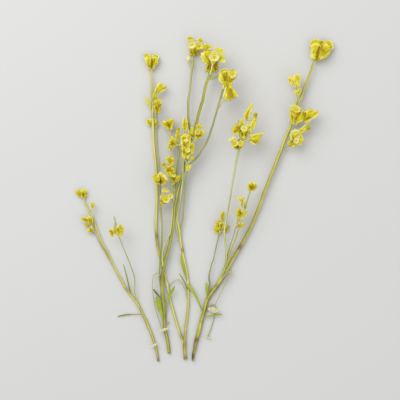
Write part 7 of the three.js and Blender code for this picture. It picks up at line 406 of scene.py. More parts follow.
# rows with a negative shade change and no warm mask are paler stretches: partly the stem's own colour, partly painted
# light on stretches shaded by the heads
# stem, across, along, size, shade change, warm mask
PATCHES = [
    ["stem_a", 100, 238, 12.0, -0.07, 0.0], ["stem_a", 88, 210, 10.0, -0.05, 0.0],
    ["branch_k", 163, 262, 9.0, -0.10, 0.0], ["branch_k", 167, 238, 10.0, -0.10, 0.0], ["branch_k", 172, 214, 9.0, -0.12, 0.0],
    ["stem_c", 177, 214, 9.0, -0.18, 0.0], ["stem_c", 176, 196, 9.0, -0.14, 0.0], ["stem_c", 174, 172, 12.0, -0.14, 0.0],
    ["branch_hj", 177, 222, 7.0, -0.12, 0.0], ["branch_hj", 181, 188, 9.0, -0.18, 0.0], ["branch_t", 175.5, 192, 10.0, -0.13, 0.0],
    ["branch_x", 225, 227, 6.0, -0.16, 0.0], ["branch_d_left", 208, 298, 3.0, -0.14, 0.0], ["stem_c_left", 152.5, 115, 9.0, -0.12, 0.0],
    ["stem_c_left", 156.5, 236, 3.5, 0.28, 0.1], ["stem_c", 183.3, 250, 2.2, 0.3, 0.6], ["stem_c", 188.2, 288, 2.4, 0.16, 0.55], ["stem_a", 127, 289, 3.0, 0.2, 0.2],
    ["stem_d", 240, 247, 2.6, 0.25, 0.6], ["stem_d", 216.5, 286, 2.6, 0.18, 0.2], ["stem_d", 196.4, 339.5, 2.6, 0.32, 0.25], ["stem_c_left", 152.4, 116, 3.0, 0.1, 0.45],
    ["stem_a", 158, 360, 3.0, 0.3, 0.1], ["stem_a", 155.5, 352, 5.0, 0.10, 0.15], ["stem_b", 169.2, 354, 1.6, 0.2, 0.1], ["stem_b", 166, 340, 9.0, -0.06, 0.0], ["stem_c", 185, 356.5, 3.5, 0.18, 0.3], ["stem_c", 184.6, 345, 6.0, 0.10, 0.45], ["stem_c", 183.6, 335, 4.0, 0.04, 0.25],
    ["stem_d", 192.7, 356, 3.0, 0.40, 0.15], ["stem_d", 194.6, 347, 5.0, 0.12, 0.2], ["stem_d", 200.6, 327, 5.0, -0.04, 0.0], ["stem_c_left", 181.0, 337, 4.0, 0.08, 0.4],
    ["stem_d", 200.4, 321, 1.2, 0.22, 0.1], ["stem_d", 212, 296.5, 2.4, 0.16, 0.0], ["stem_d", 213.6, 291, 1.6, 0.14, 0.1], ["stem_d", 224.6, 273.5, 2.6, 0.16, 0.1], ["stem_b", 161.8, 276, 4.0, 0.06, 0.1], ["stem_c_left", 163.6, 280, 3.0, 0.1, 0.4], ["stem_c_left", 160.5, 270, 3.0, 0.08, 0.35], ["stem_c_left", 157.6, 244, 4.0, 0.06, 0.3],
]
DRIFT = {"stem_d": [0.12, 0.06, 0.02, 0.0, 0.0, -0.02, -0.02], "stem_a": [0.06, 0.0, 0.0, -0.02, 0.02], "stem_c": [0.08, 0.0, 0.0, 0.0, -0.04], "stem_b": [0.04, 0.0, 0.0, -0.02, -0.04, -0.06]}
# stem, across, along, swelling, length mm
SWELLS = [["stem_a", 138, 304.5, 0.3, 2.5], ["stem_d", 221, 278, 0.25, 4.0], ["stem_c", 188.3, 286, 0.2, 3.0], ["branch_s1", 192.2, 68, 0.35, 1.6], ["stem_d", 312.2, 67, 0.3, 1.6],
          ["stem_d", 296.8, 108, 0.15, 2.0], ["stem_c_left", 151.4, 75.5, 0.2, 2.0], ["branch_x", 226.3, 218, 0.25, 2.0], ["stem_d", 209, 297, 0.12, 3.0], ["stem_c", 184.4, 347, 0.2, 4.0]]
LEAF_LOOK = {"leaf_b_dark": (0.62, 0.1, 0.0), "leaf_b_lime": (0.41, 0.10, 0.05), "leaf_b_right": (0.43, 0.1, 0.0), "leaf_c_lime": (0.41, 0.05, 0.0), "leaf_c_thin": (0.50, 0.0, 0.0),
             "leaf_c_long": (0.41, 0.05, -0.02), "leaf_d_tip": (0.34, 0.05, 0.0), "leaf_d_right": (0.40, 0.05, 0.05), "leaf_a_olive": (0.36, 0.05, 0.0), "leaf_a_stray": (0.46, 0.0, 0.0)}


# ------------------------------------------------------------------ small helpers
rng = np.random.default_rng(41)


def at(u, v, z):
    k = PLAN_UNIT * (1 - z / TAPER_HEIGHT)
    return np.array([(u - PLAN_CENTRE[0]) * k, (PLAN_CENTRE[1] - v) * k, z], float)


def unit(v):
    v = np.asarray(v, float)
    n = np.linalg.norm(v, axis=-1, keepdims=True)
    return v / np.maximum(n, 1e-9)


UP = np.array([0.0, 0.0, 1.0])


def smooth_route(points, step):
    """Centripetal Catmull-Rom through rows of [x, y, z, r], resampled about every step mm."""
    P = np.asarray(points, float)
    if len(P) == 2:
        P = np.array([P[0], (P[0] + P[1]) / 2, P[1]])
    ext = np.vstack([2 * P[0] - P[1], P, 2 * P[-1] - P[-2]])
    out = []
    for i in range(1, len(ext) - 2):
        p0, p1, p2, p3 = ext[i - 1], ext[i], ext[i + 1], ext[i + 2]
        t0 = 0.0
        t1 = t0 + max(1e-4, np.linalg.norm(p1[:3] - p0[:3])) ** 0.5
        t2 = t1 + max(1e-4, np.linalg.norm(p2[:3] - p1[:3])) ** 0.5
        t3 = t2 + max(1e-4, np.linalg.norm(p3[:3] - p2[:3])) ** 0.5
        m = max(2, int(math.ceil(np.linalg.norm(p2[:3] - p1[:3]) / (step * 0.5))))
        for s in range(m):
            t = t1 + (t2 - t1) * s / m
            a1 = (t1 - t) / (t1 - t0) * p0 + (t - t0) / (t1 - t0) * p1
            a2 = (t2 - t) / (t2 - t1) * p1 + (t - t1) / (t2 - t1) * p2
            a3 = (t3 - t) / (t3 - t2) * p2 + (t - t2) / (t3 - t2) * p3
            b1 = (t2 - t) / (t2 - t0) * a1 + (t - t0) / (t2 - t0) * a2
            b2 = (t3 - t) / (t3 - t1) * a2 + (t - t1) / (t3 - t1) * a3
            out.append((t2 - t) / (t2 - t1) * b1 + (t - t1) / (t2 - t1) * b2)
    out.append(P[-1])
    out = np.array(out)
    d = np.r_[0, np.cumsum(np.linalg.norm(np.diff(out[:, :3], axis=0), axis=1))]
    n = max(3, int(round(d[-1] / step)) + 1)
    t = np.linspace(0, d[-1], n)
    return np.c_[[np.interp(t, d, out[:, k]) for k in range(out.shape[1])]].T, t


def frames_of(p):
    t = unit(np.gradient(p, axis=0))
    side = np.cross(t, UP)
    bad = np.linalg.norm(side, axis=1) < 0.05
    side[bad] = (1, 0, 0)
    side = unit(side)
    up = unit(np.cross(side, t))
    return t, side, up


class Skin:
    """Collects grids of points into one mesh, with the surface values that the materials read."""

    def __init__(self):
        self.marks = []
        self.v, self.f, self.m = [], [], []
        self.shade, self.warm, self.along, self.around = [], [], [], []
        self.n = 0

    def add(self, grid, shade, warm, along, around, mat, wrap):
        rows, cols = grid.shape[:2]
        base = self.n
        self.v.append(grid.reshape(-1, 3))
        if self.marks:
            k = PLAN_UNIT * (1 - grid[..., 2] / TAPER_HEIGHT)
            uv = np.stack([grid[..., 0] / k + 200, 200 - grid[..., 1] / k], -1)
            shade = np.array(np.broadcast_to(np.asarray(shade, float), (rows, cols)))
            warm = np.array(np.broadcast_to(np.asarray(warm, float), (rows, cols)))
            for u1, v1, u2, v2, size, ds, dw in self.marks:
                ab = np.array([u2 - u1, v2 - v1], float)
                f = np.clip(((uv - (u1, v1)) @ ab) / max(1e-6, ab @ ab), 0, 1)
                d = np.linalg.norm(uv - (np.array([u1, v1]) + f[..., None] * ab), axis=-1)
                w = np.exp(-(d / size) ** 2)
                shade += ds * w
                warm = np.clip(warm + dw * w, 0, 1)
        for store, val in ((self.shade, shade), (self.warm, warm), (self.along, along), (self.around, around)):
            store.append(np.broadcast_to(np.asarray(val, float), (rows, cols)).reshape(-1))
        r, c = np.meshgrid(np.arange(rows - 1), np.arange(cols if wrap else cols - 1), indexing="ij")
        c2 = (c + 1) % cols
        q = np.stack([base + r * cols + c, base + r * cols + c2, base + (r + 1) * cols + c2, base + (r + 1) * cols + c], -1).reshape(-1, 4)
        self.f.append(q)
        self.m.append(np.full(len(q), mat))
        self.n += rows * cols
        return base

    def object(self, name, mats):
        v = np.concatenate(self.v) + np.array(OFFSET)
        f = np.concatenate(self.f)
        me = bpy.data.meshes.new(name)
        me.vertices.add(len(v))
        me.vertices.foreach_set("co", (v * MM).astype(np.float32).ravel())
        me.loops.add(f.size)
        me.loops.foreach_set("vertex_index", f.astype(np.int32).ravel())
        me.polygons.add(len(f))
        me.polygons.foreach_set("loop_start", np.arange(0, f.size, 4, dtype=np.int32))
        me.polygons.foreach_set("loop_total", np.full(len(f), 4, dtype=np.int32))
        me.polygons.foreach_set("material_index", np.concatenate(self.m).astype(np.int32))
        me.polygons.foreach_set("use_smooth", np.ones(len(f), dtype=bool))
        me.update(calc_edges=True)
        me.validate()
        for key, store in (("shade", self.shade), ("warm", self.warm), ("along", self.along), ("around", self.around)):
            a = me.attributes.new(key, "FLOAT", "POINT")
            a.data.foreach_set("value", np.concatenate(store).astype(np.float32))
        for m in mats:
            me.materials.append(m)
        ob = bpy.data.objects.new(name, me)
        bpy.context.scene.collection.objects.link(ob)
        return ob


def wobble(t, seed, amp, scale):
    """Smooth wandering value along t (mm), built from a few sines."""
    r = np.random.default_rng(seed)
    out = np.zeros_like(t)
    for k in range(4):
        out += np.sin(t / scale * (0.7 + 0.8 * k) + r.uniform(0, 6.28)) / (1 + 0.6 * k)
    return out * amp / 2.0


def seed_of(name):
    return sum((i + 3) * ord(c) for i, c in enumerate(name)) % 99991


# ------------------------------------------------------------------ stems
def tube(skin, pts, mat, shade=0.4, warm=0.0, sides=18, step=1.5, ridges=7, ridge=0.03, seed=1, taper_ends=(0.0, 0.0), spots=(), swell=(), shade_fn=None, rag=0.0, twist=0.02, streak_and_highlight=0.2):
    s, t = smooth_route(pts, step)
    p, r = s[:, :3], s[:, 3].copy()
    T, A, B = frames_of(p)
    n = len(t)
    r *= 1 + wobble(t, seed, 0.05, 6.0)
    for (c, amount, width) in swell:
        r *= 1 + amount * np.exp(-((t - c) / width) ** 2)
    ang = np.linspace(0, 2 * np.pi, sides, endpoint=False)
    rr = r[:, None] * (1 + ridge * np.cos(ridges * ang[None] + twist * t[:, None] + seed) + 0.5 * ridge * np.cos(3 * ang[None] - 0.07 * t[:, None]))
    grid = p[:, None] + rr[..., None] * (np.cos(ang)[None, :, None] * A[:, None] + np.sin(ang)[None, :, None] * B[:, None])
    if rag:
        jag = np.random.default_rng(seed + 5).uniform(-1, 1, sides) * rag
        grid[0] += T[0] * jag[:, None]
        grid[1] += T[1] * jag[:, None] * 0.3
    sh = np.full((n, sides), float(shade)) + wobble(t, seed + 7, 0.06, 9.0)[:, None]
    sh += 0.05 * np.cos(ridges * ang[None] + twist * t[:, None] + seed)
    turn = 0.5 * np.sin(t / 31.0 + seed)[:, None]
    # painted highlight: lighter along the top of the stem; painted shade: darker along its two side edges, the band
    # wandering around the stem along its length
    sh += streak_and_highlight * (0.8 * np.exp(-((ang[None] - 2.75 + turn) / 0.35) ** 2) + 0.6 * np.exp(-((ang[None] - 0.3 + turn) / 0.3) ** 2) - np.exp(-((ang[None] - 1.1 + turn) / 0.38) ** 2) - 0.45 * np.exp(-((ang[None] - 1.9 + turn) / 0.22) ** 2))
    wm = np.full((n, sides), float(warm))
    if shade_fn is not None:
        ds, dw = shade_fn(p, t, ang)
        sh += ds
        wm += dw
    ends = []
    for i, e in ((0, taper_ends[0]), (n - 1, taper_ends[1])):
        c = p[i] + T[i] * (-1 if i == 0 else 1) * r[i] * e
        ends.append(np.repeat(c[None], sides, 0)[None])
    # rounded or flat closing rings
    first = p[0][None] + (grid[0] - p[0]) * 0.55 - T[0] * r[0] * taper_ends[0] * 0.7
    last = p[-1][None] + (grid[-1] - p[-1]) * 0.55 + T[-1] * r[-1] * taper_ends[1] * 0.7
    grid = np.concatenate([ends[0], first[None], grid, last[None], ends[1]], 0)
    sh = np.concatenate([sh[:1], sh[:1], sh, sh[-1:], sh[-1:]], 0)
    wm = np.concatenate([wm[:1], wm[:1], wm, wm[-1:], wm[-1:]], 0)
    al = np.r_[t[0], t[0], t, t[-1], t[-1]]
    skin.add(grid, sh, wm, al[:, None], (ang / (2 * np.pi))[None], mat, True)


# ------------------------------------------------------------------ florets
TONES = {  # shade shift, warm mask
    "bright": (0.0, 0.0), "pale": (-0.13, 0.0), "cream": (-0.2, 0.0), "ochre": (0.13, 0.06), "orange": (0.06, 0.45),
    "olive": (0.1, 0.0), "dark": (0.34, 0.1), "bloom": (0.02, 0.0), "stem": (0.16, 0.0), "lime": (-0.12, 0.0), "bud": (0.0, 0.3), "calyx": (-0.12, 0.05),
}


def along_line(pts, n):
    """n points spaced evenly along a rounded line through the given plan points."""
    P = np.asarray(pts, float)
    ext = np.vstack([2 * P[0] - P[1], P, 2 * P[-1] - P[-2]])
    out = []
    for i in range(1, len(ext) - 2):
        for t in np.linspace(0, 1, 8, endpoint=False):
            p0, p1, p2, p3 = ext[i - 1:i + 3]
            c = 0.5 * ((2 * p1) + (p2 - p0) * t + (2 * p0 - 5 * p1 + 4 * p2 - p3) * t ** 2 + (3 * p1 - p0 - 3 * p2 + p3) * t ** 3)
            out.append(0.65 * c + 0.35 * (p1 * (1 - t) + p2 * t))
    out.append(P[-1])
    out = np.array(out)
    d = np.r_[0, np.cumsum(np.hypot(*np.diff(out, axis=0).T))]
    t = np.linspace(0, d[-1], n)
    return np.c_[np.interp(t, d, out[:, 0]), np.interp(t, d, out[:, 1])], t


def ripple(x, seed, count=6, low=1.0, high=4.0):
    """Smooth uneven wave between about -1 and 1."""
    r = np.random.default_rng(seed)
    w = np.zeros_like(x)
    for _ in range(count):
        w = w + np.sin(x * r.uniform(low, high) + r.uniform(0, 6.28)) * r.uniform(0.5, 1.0)
    return w / (0.55 * count)


FAN_ROWS = 16


def plan_distance(uv, line):
    """Smallest plan distance from each point of a grid to a line of points."""
    out = np.full(uv.shape[:-1], 1e9)
    for i in range(len(line)):
        out = np.minimum(out, np.hypot(uv[..., 0] - line[i, 0], uv[..., 1] - line[i, 1]))
    return out


def fan(skin, root, el, mat, seed):
    """Folded papery head part: petals spread from a narrow base to a scalloped margin, dished where it opens."""
    _, base, outline, depth, dz0, dz1, gape, petals, tone = el
    r = np.random.default_rng(seed)
    length = float(np.hypot(*np.diff(np.array(outline, float), axis=0).T).sum())
    cols = int(np.clip(length / 0.24, 27, 130)) | 1
    line, arc = along_line(outline, cols)
    q = np.linspace(-1, 1, cols)
    s = np.sqrt(np.clip(1 - q ** 2, 0, 1))
    thin = depth < 1.5
    b = np.array(base, float)
    ray = line - b
    reach = np.hypot(*ray.T)
    if isinstance(petals, list):
        cuts = np.array(petals, float)
    else:
        cuts = np.linspace(-1, 1, petals + 1)[1:-1] + r.uniform(-0.25, 0.25, petals - 1) / petals
    bounds = np.r_[-1, cuts, 1]
    pitch = 2.0 / (len(cuts) + 1)
    valley = np.zeros(cols)
    for i, c in enumerate(cuts):
        valley = np.maximum(valley, r.uniform(0.45, 0.85) * np.exp(-((q - c) / (0.2 * pitch)) ** 2))
    seat = np.clip(np.searchsorted(bounds, q, side="right") - 1, 0, len(bounds) - 2)
    inside = (q - bounds[seat]) / (bounds[seat + 1] - bounds[seat])
    crest = np.sin(np.pi * np.clip(inside, 0, 1))
    x = seat + inside
    scallop = (0.36 if not thin else 0.22) * ripple(arc, seed, 6, 2.0, 5.0) + (0.3 * (crest - 0.6) if not thin else 0) - (0.5 if not thin else 0.22) * valley
    edge = ray * (1 + (scallop * np.clip(s * 1.8, 0, 1) / np.maximum(reach, 1.0)))[:, None]
    n = FAN_ROWS
    t = np.linspace(0, 1, n)[:, None]
    rest = 0.84 if gape > 0.15 else (0.35 if not thin else 0.2)
    bulge = np.interp(t, [0, 0.08, 0.3, 0.62, 0.84, 0.94, 1.0], [0.12, 0.34, 0.72, 1.0, 0.96, rest + 0.45 * (0.96 - rest), rest])
    end = 1 - gape * s ** 0.7 * (1 + 0.16 * ripple(arc, seed + 5, 5, 1.0, 3.0) + 0.15 * valley)
    wave = ripple(x * 3.1, seed + 3, 5, 0.8, 2.6)
    fold = 0.5 + 0.5 * np.cos(x * 6.283 * 2 + wave)

    def plan_at(tt):
        return b + edge[None] * tt[..., None]

    def place(tt, z):
        uv = plan_at(tt)
        k = PLAN_UNIT * (1 - z / TAPER_HEIGHT)
        return np.stack([(uv[..., 0] - 200) * k, (200 - uv[..., 1]) * k, z], -1)

    zb, zm = root[2] + dz0, root[2] + dz1
    T = t * end[None]
    lift = s[None] ** 0.75 * bulge
    rough = 0.04 * ripple(x * 7.0 + 1.3, seed + 9, 4, 0.7, 2.0)[None] * ripple(t * 9.0 + x[None] * 2, seed + 4, 4, 0.6, 1.8) + 0.04 * np.sin(t * 17 + x[None] * 9 + seed)
    front = lift * (0.94 + 0.1 * crest[None] - (0.30 if not thin else 0.4) * valley[None] * np.interp(t, [0, 0.25, 0.8, 1], [0.3, 1, 0.9, 0.7]) - 0.07 * fold[None] + rough)
    curl = (0.25 if thin else 0.1) * np.clip(t - 0.75, 0, 1) * 4 * s[None]
    top = place(T, zb + (zm - zb) * T + depth * (front - curl))
    # hollow between the two lips
    m = 9
    w = np.linspace(0, 1, m)[:, None]
    zf = depth * (front[-1:] - curl[-1:])
    zk = -0.8 * depth * lift[-1:] * (0.35 if gape > 0.15 else 1.0)
    ti = end[None] * (1 - w) + 1.0 * w - (0.08 + 0.5 * gape) * np.sin(np.pi * w) * (1 - w) * s[None] * (0.35 if thin else 1)
    mouth = place(ti, zb + (zm - zb) * ti + zf * (1 - w) ** 1.5 + zk * np.sin(np.pi * w * 0.75) * 1.1 + 0.25 * depth * w ** 2 * s[None] * (1 if gape > 0.15 else 0))
    back_t = np.linspace(1, 0, 9)[:, None]
    back_l = s[None] ** 0.75 * np.interp(back_t, [0, 0.3, 0.7, 1], [0.14, 0.75, 1.0, 0.5])
    back = place(back_t * np.ones((1, cols)), zb + (zm - zb) * back_t - 0.8 * depth * back_l * (1 - 0.25 * valley[None]) + 0.0 * s[None])
    back[0] = mouth[-1]
    ds, dw = TONES.get(tone, (0, 0))
    aq = np.abs(q)[None]
    keep = s > 0.25
    lipline = plan_at(T[-1:])[0]
    d_lip = plan_distance(plan_at(T), lipline[keep][::2]) if keep.any() else np.full(T.shape, 9.0)
    size = float(np.median(reach))
    wide = float(np.clip((0.13 if thin else 0.15) * size, 0.3, 1.4)) * (1 + 0.35 * ripple(arc, seed + 31, 5, 0.8, 2.4))[None]
    margin = np.clip((wide - d_lip) / min(0.7, 0.2 * size), 0, 1) * 0.92
    side_margin = np.clip((aq - 0.93) / 0.05, 0, 1) * np.clip(t * 2.5, 0, 1) * 0.3
    margin = np.maximum(margin, side_margin)
    heart = np.interp(t, [0, 0.2, 0.45, 0.75, 1], [0.8, 1.0, 0.7, 0.2, 0.0])
    sf = 0.36 + ds * np.interp(t, [0, 0.5, 0.8, 1], [1.2, 1.0, 0.6, 0.25])
    # darker along the folds between petals and towards the heart at the base: partly the floret's own ochre, partly
    # painted shade in the creases and the hollow
    sf = sf + (0.30 + 0.5 * max(ds, 0)) * valley[None] * np.interp(t, [0, 0.2, 0.6, 0.9, 1], [0.3, 0.8, 0.8, 0.5, 0.2]) * (0.5 if thin else 1)
    sf = sf + 0.09 * heart * (0.5 if thin else 1) + 0.06 * (fold[None] - 0.5) + 0.06 * ripple(x * 11, seed + 21, 5, 0.8, 2.4)[None]
    sf = sf + 0.17 * ripple(arc * 0.9, seed + 41, 4, 0.6, 1.8)[None] * ripple(t * 8, seed + 42, 4, 0.6, 1.8)
    light = 0.15 + 0.3 * ds
    sf = sf * (1 - 0.85 * margin) + light * 0.85 * margin
    si = 0.33 + 0.5 * ds + 0.10 * np.sin(np.pi * w) * np.ones((1, cols)) + 0.12 * valley[None] + 0.05 * wave[None]
    d_out = plan_distance(plan_at(ti), plan_at(np.ones((1, cols)))[0][keep][::2]) if keep.any() else np.full(ti.shape, 9.0)
    lip = np.maximum(np.clip(1 - w / 0.12, 0, 1), np.clip((0.75 * wide - d_out) / 0.4, 0, 1))
    si = si * (1 - lip) + (0.08 + 0.3 * ds) * lip
    sb = 0.42 + ds * 0.8 + 0.25 * valley[None] * np.ones_like(back_t)
    wf = np.clip(dw * np.interp(t, [0, 0.5, 1], [1.0, 1.1, 0.3]) + 0.2 * valley[None] * heart, 0, 1) * (1 - margin)
    for _ in range(1 if thin else 2):
        q0, t0, wd = r.uniform(-0.75, 0.75), r.uniform(0.45, 0.95), r.uniform(0.05, 0.1)
        wf = np.clip(wf + 0.3 * np.exp(-((q[None] - q0) / (wd * 1.3)) ** 2 - ((t - t0) / wd) ** 2), 0, 1)
    wi = np.clip(0.3 * dw + 0.10 * np.sin(np.pi * w) * np.clip(s[None], 0, 1), 0, 1) * (1 - lip)
    ar = (x / 6.0)[None]
    skin.add(top, sf, wf, t * reach[None] * PLAN_UNIT, ar, mat, False)
    skin.add(mouth, si, wi, ti * reach[None] * PLAN_UNIT, ar, mat, False)
    skin.add(back, sb, 0.1, back_t * reach[None] * PLAN_UNIT, ar, mat, False)
    return at(b[0], b[1], zb), at(*(b * 0.4 + line.mean(0) * 0.6), (zb * 0.4 + zm * 0.6))


def disc(skin, root, el, mat, seed):
    """Open floret seen into its mouth: tapering body, thick pale lip, dished yellow inside with a packed middle."""
    _, centre, radii, base, dz0, height, lobes, tone = el
    r = np.random.default_rng(seed)
    rx, ry, turn = radii
    turn = math.radians(turn)
    z0, z1 = root[2] + dz0, root[2] + dz0 + height
    B, C = at(base[0], base[1], z0), at(centre[0], centre[1], z1)
    plan = C - B
    plan[2] = 0
    if np.linalg.norm(plan) < 0.2:
        plan = np.array([0, 1.0, 0])
    plan = unit(plan)
    side = unit(np.cross(plan, UP))
    elev = math.atan2(C[2] - B[2], max(1e-6, np.linalg.norm((C - B)[:2])))
    cols = 56
    ang = np.linspace(0, 2 * np.pi, cols, endpoint=False)
    d = np.cos(ang)[:, None] * side - np.sin(ang)[:, None] * plan
    phi = np.arctan2(-d[:, 1], d[:, 0]) - turn
    rim = rx * ry / np.sqrt((ry * np.cos(phi)) ** 2 + (rx * np.sin(phi)) ** 2) * PLAN_UNIT
    phase, rim_turn = r.uniform(0, 6.28), r.uniform(0, 6.28)
    lobe = np.abs(np.cos(lobes * ang / 2 + phase + 0.3 * np.sin(ang))) ** 0.6
    frill = 0.035 * ripple(ang * lobes, seed, 5, 1.0, 3.2) + 0.10 * (lobe - 0.7)
    rim = rim * (1 + frill)
    mean = (rx + ry) / 2 * PLAN_UNIT
    rows, sh, wm = [], [], []
    ds, dw = TONES.get(tone, (0, 0))
    for t in np.linspace(0, 1, 11):
        th = elev + (math.pi / 2 - elev) * t ** 1.5
        up = -math.sin(th) * plan + math.cos(th) * UP
        c = B + (C - B) * t + UP * 0.10 * height * math.sin(math.pi * t) * -1
        share = np.interp(t, [0, 0.1, 0.35, 0.7, 0.9, 1], [0.22, 0.36, 0.55, 0.78, 0.93, 1.0])
        rad = (mean * (1 - t) + rim * t) * share * (1 - 0.12 * (1 - lobe) * (1 - t * 0.4))
        rows.append(c + rad[:, None] * (np.cos(ang)[:, None] * side + np.sin(ang)[:, None] * up))
        # darker between the lobes and towards the base, paler at the rim: partly the floret's own ochre and cream,
        # partly painted shade in the creases between lobes
        sh.append(0.44 + ds + 0.22 * (1 - lobe) * (1.1 - t) + 0.1 * max(0, 0.3 - t) - 0.2 * max(0, t - 0.9) * 10 * 0.8)
        wm.append(np.full(cols, dw) + 0.2 * (1 - lobe) * (1 - t))
    flat = np.cos(ang)[:, None] * side - np.sin(ang)[:, None] * plan
    for share, lift in ((0.99, 0.08), (0.92, 0.13), (0.83, 0.10)):
        rows.append(C + flat * (rim * share)[:, None] + UP * lift * mean)
        sh.append(0.10 + 0.3 * ds + 0.17 * (0.5 + 0.5 * np.cos(ang - rim_turn)) + 0.05 * ripple(ang * 5, seed + 2))
        wm.append(np.zeros(cols))
    for share in (0.76, 0.69, 0.62, 0.54, 0.46, 0.36, 0.26, 0.16, 0.03):
        bowl = -0.26 * (1 - share ** 2) + 0.22 * math.exp(-(share / 0.4) ** 2)
        crumb = 0.045 * np.cos(7 * ang + 11 * share + phase) * (1 if share < 0.55 else 0.3) + 0.03 * np.cos(11 * ang - 23 * share + phase * 2)
        rows.append(C + flat * (rim * share * (1 + 0.5 * frill * share))[:, None] + UP * ((bowl + crumb) * mean)[:, None])
        ring = 0.28 + 0.75 * ds + 0.12 * (1 - lobe) * share + 0.04 * np.cos(lobes * 4 * ang + phase) + 0.05 * np.cos(5 * ang + 9 * share + seed)
        if share < 0.5:
            ring = ring + 0.08 + 0.07 * np.cos(7 * ang + 11 * share + phase)
        sh.append(ring)
        wm.append(np.full(cols, 0.05 + 0.5 * dw if share > 0.5 else 0.16 + 0.4 * dw) + 0.08 * np.cos(5 * ang + phase))
    for _ in range(2):
        a0 = r.uniform(0, 6.28)
        k = np.exp(-(np.angle(np.exp(1j * (ang - a0))) / 0.3) ** 2)
        for i in range(14, 18):
            wm[i] = wm[i] + 0.3 * k
    grid = np.array(rows)
    t = np.linspace(0, 1, len(rows))[:, None]
    skin.add(grid, np.array(sh), np.clip(np.array(wm), 0, 1), t * (np.linalg.norm(C - B) + mean), (ang / 6.28318)[None], mat, True)
    return B, C - UP * 0.3 * height


def bud(skin, root, el, mat, seed):
    _, bu, bv, tu, tv, radius, dz, tone = el
    a, b = at(bu, bv, root[2] + dz), at(tu, tv, root[2] + dz + 0.4)
    L = np.linalg.norm(b - a)
    n, m = 26, 28
    t = np.linspace(0, 1, n)
    p = a + (b - a) * t[:, None]
    T, A, B = frames_of(p)
    ang = np.linspace(0, 2 * np.pi, m, endpoint=False)
    R = radius * PLAN_UNIT
    prof = np.interp(t, [0, 0.08, 0.2, 0.38, 0.5, 0.68, 0.84, 0.94, 0.985, 1], [0.3, 0.55, 0.78, 0.84, 0.86, 1.0, 0.98, 0.76, 0.42, 0.05])
    seam = np.exp(-((np.abs(np.mod(ang / 6.28318 * 5 + 0.3 * np.sin(seed), 1) - 0.5) - 0.5) / 0.12) ** 2)
    scale = np.mod(t[:, None] * 3.4 + 0.35 * np.cos(3 * ang[None] + seed), 1.0) * (t[:, None] < 0.5)
    rr = R * prof[:, None] * (1 - 0.07 * seam[None] * np.clip(t[:, None] * 3, 0, 1) + 0.05 * scale + 0.02 * np.cos(4 * ang[None] + 14 * t[:, None]))
    grid = p[:, None] + rr[..., None] * (np.cos(ang)[None, :, None] * A[:, None] + np.sin(ang)[None, :, None] * B[:, None])
    ds, dw = TONES.get(tone, (0, 0))
    face = np.clip(np.sin(ang), 0, 1)[None] ** 2
    sh = np.interp(t, [0, 0.2, 0.45, 0.8, 1], [0.2, 0.26, 0.32, 0.36, 0.3])[:, None] + ds + 0.18 * face * np.interp(t, [0, 0.35, 0.55, 0.8, 1], [0, 0.1, 0.9, 1.0, 0.3])[:, None] + 0.12 * seam[None] - 0.12 * np.clip(scale - 0.75, 0, 1) * 3
    wm = np.clip(dw * face * np.interp(t, [0, 0.4, 0.6, 0.85, 1], [0.1, 0.2, 1.0, 1.1, 0.4])[:, None] * 1.3, 0, 1) * np.ones((n, m))
    skin.add(grid, sh, wm, (t * L)[:, None], (ang / 6.28318)[None], mat, True)


def stalk_rows(root, pts, width):
    return [list(at(u, v, root[2] + dz)) + [max(0.4, width * PLAN_UNIT / 2)] for u, v, dz in pts]


def nearest_on(rows, q):
    best = (1e9, None)
    P = np.array([r[:3] for r in rows])
    for i in range(len(P) - 1):
        ab = P[i + 1] - P[i]
        s = np.clip(np.dot(q - P[i], ab) / max(1e-9, np.dot(ab, ab)), 0, 1)
        c = P[i] + s * ab
        d = np.linalg.norm(q - c)
        if d < best[0]:
            best = (d, c)
    return best


# ------------------------------------------------------------------ blades
def blade(skin, rows, mat, seed, shade=0.4, fold=0.3, thickness=0.35, tip=0.0, base_shade=0.0, warm=0.0, ribs=0):
    s, t = smooth_route(rows, 0.8)
    p, w = s[:, :3], s[:, 3].copy()
    n, m = len(t), 15
    T, A, B = frames_of(p)
    a = np.linspace(-1, 1, m)
    u = t / t[-1]
    w = np.maximum(w * (1 + wobble(t, seed, 0.06, 3.0)), 0.15)
    tw = 0.25 * np.sin(t / 9.0 + seed)
    side = A * np.cos(tw)[:, None] + B * np.sin(tw)[:, None]
    up = B * np.cos(tw)[:, None] - A * np.sin(tw)[:, None]
    lift = np.abs(a)[None] ** 1.3 * (w * fold)[:, None] - 0.05 * w[:, None] + 0.05 * w[:, None] * np.sin(5 * a[None] + t[:, None] * 0.6)
    if ribs:
        lift = lift + 0.12 * w[:, None] * np.cos(ribs * np.pi * a)[None]
    top = p[:, None] + side[:, None] * (a[None] * w[:, None])[..., None] + up[:, None] * lift[..., None]
    th = thickness * (0.45 + 0.55 * (1 - np.abs(a)[None] ** 2)) * np.ones((n, 1))
    bot = top - up[:, None] * th[..., None]
    sh = shade + base_shade * np.clip(0.25 - u, 0, 1)[:, None] * 4 + tip * np.clip(u - 0.75, 0, 1)[:, None] * 4 - 0.12 * np.exp(-(a / 0.13) ** 2)[None] - 0.08 * np.abs(a)[None] ** 4 + wobble(t, seed + 3, 0.07, 4.0)[:, None] + 0.02 * np.cos(a * 11)[None]
    wm = np.full((n, m), warm)
    ring = np.concatenate([top, bot[:, ::-1]], 1)
    shr = np.concatenate([sh, (sh + 0.08)[:, ::-1]], 1)
    wmr = np.concatenate([wm, wm], 1)
    cap0, cap1 = np.repeat(p[:1, None], 2 * m, 1), np.repeat(p[-1:, None], 2 * m, 1)
    ring = np.concatenate([cap0, ring, cap1], 0)
    shr = np.concatenate([shr[:1], shr, shr[-1:]], 0)
    wmr = np.concatenate([wmr[:1], wmr, wmr[-1:]], 0)
    al = np.r_[t[0], t, t[-1]]
    skin.add(ring, shr, wmr, al[:, None], np.r_[a, a[::-1]][None], mat, True)


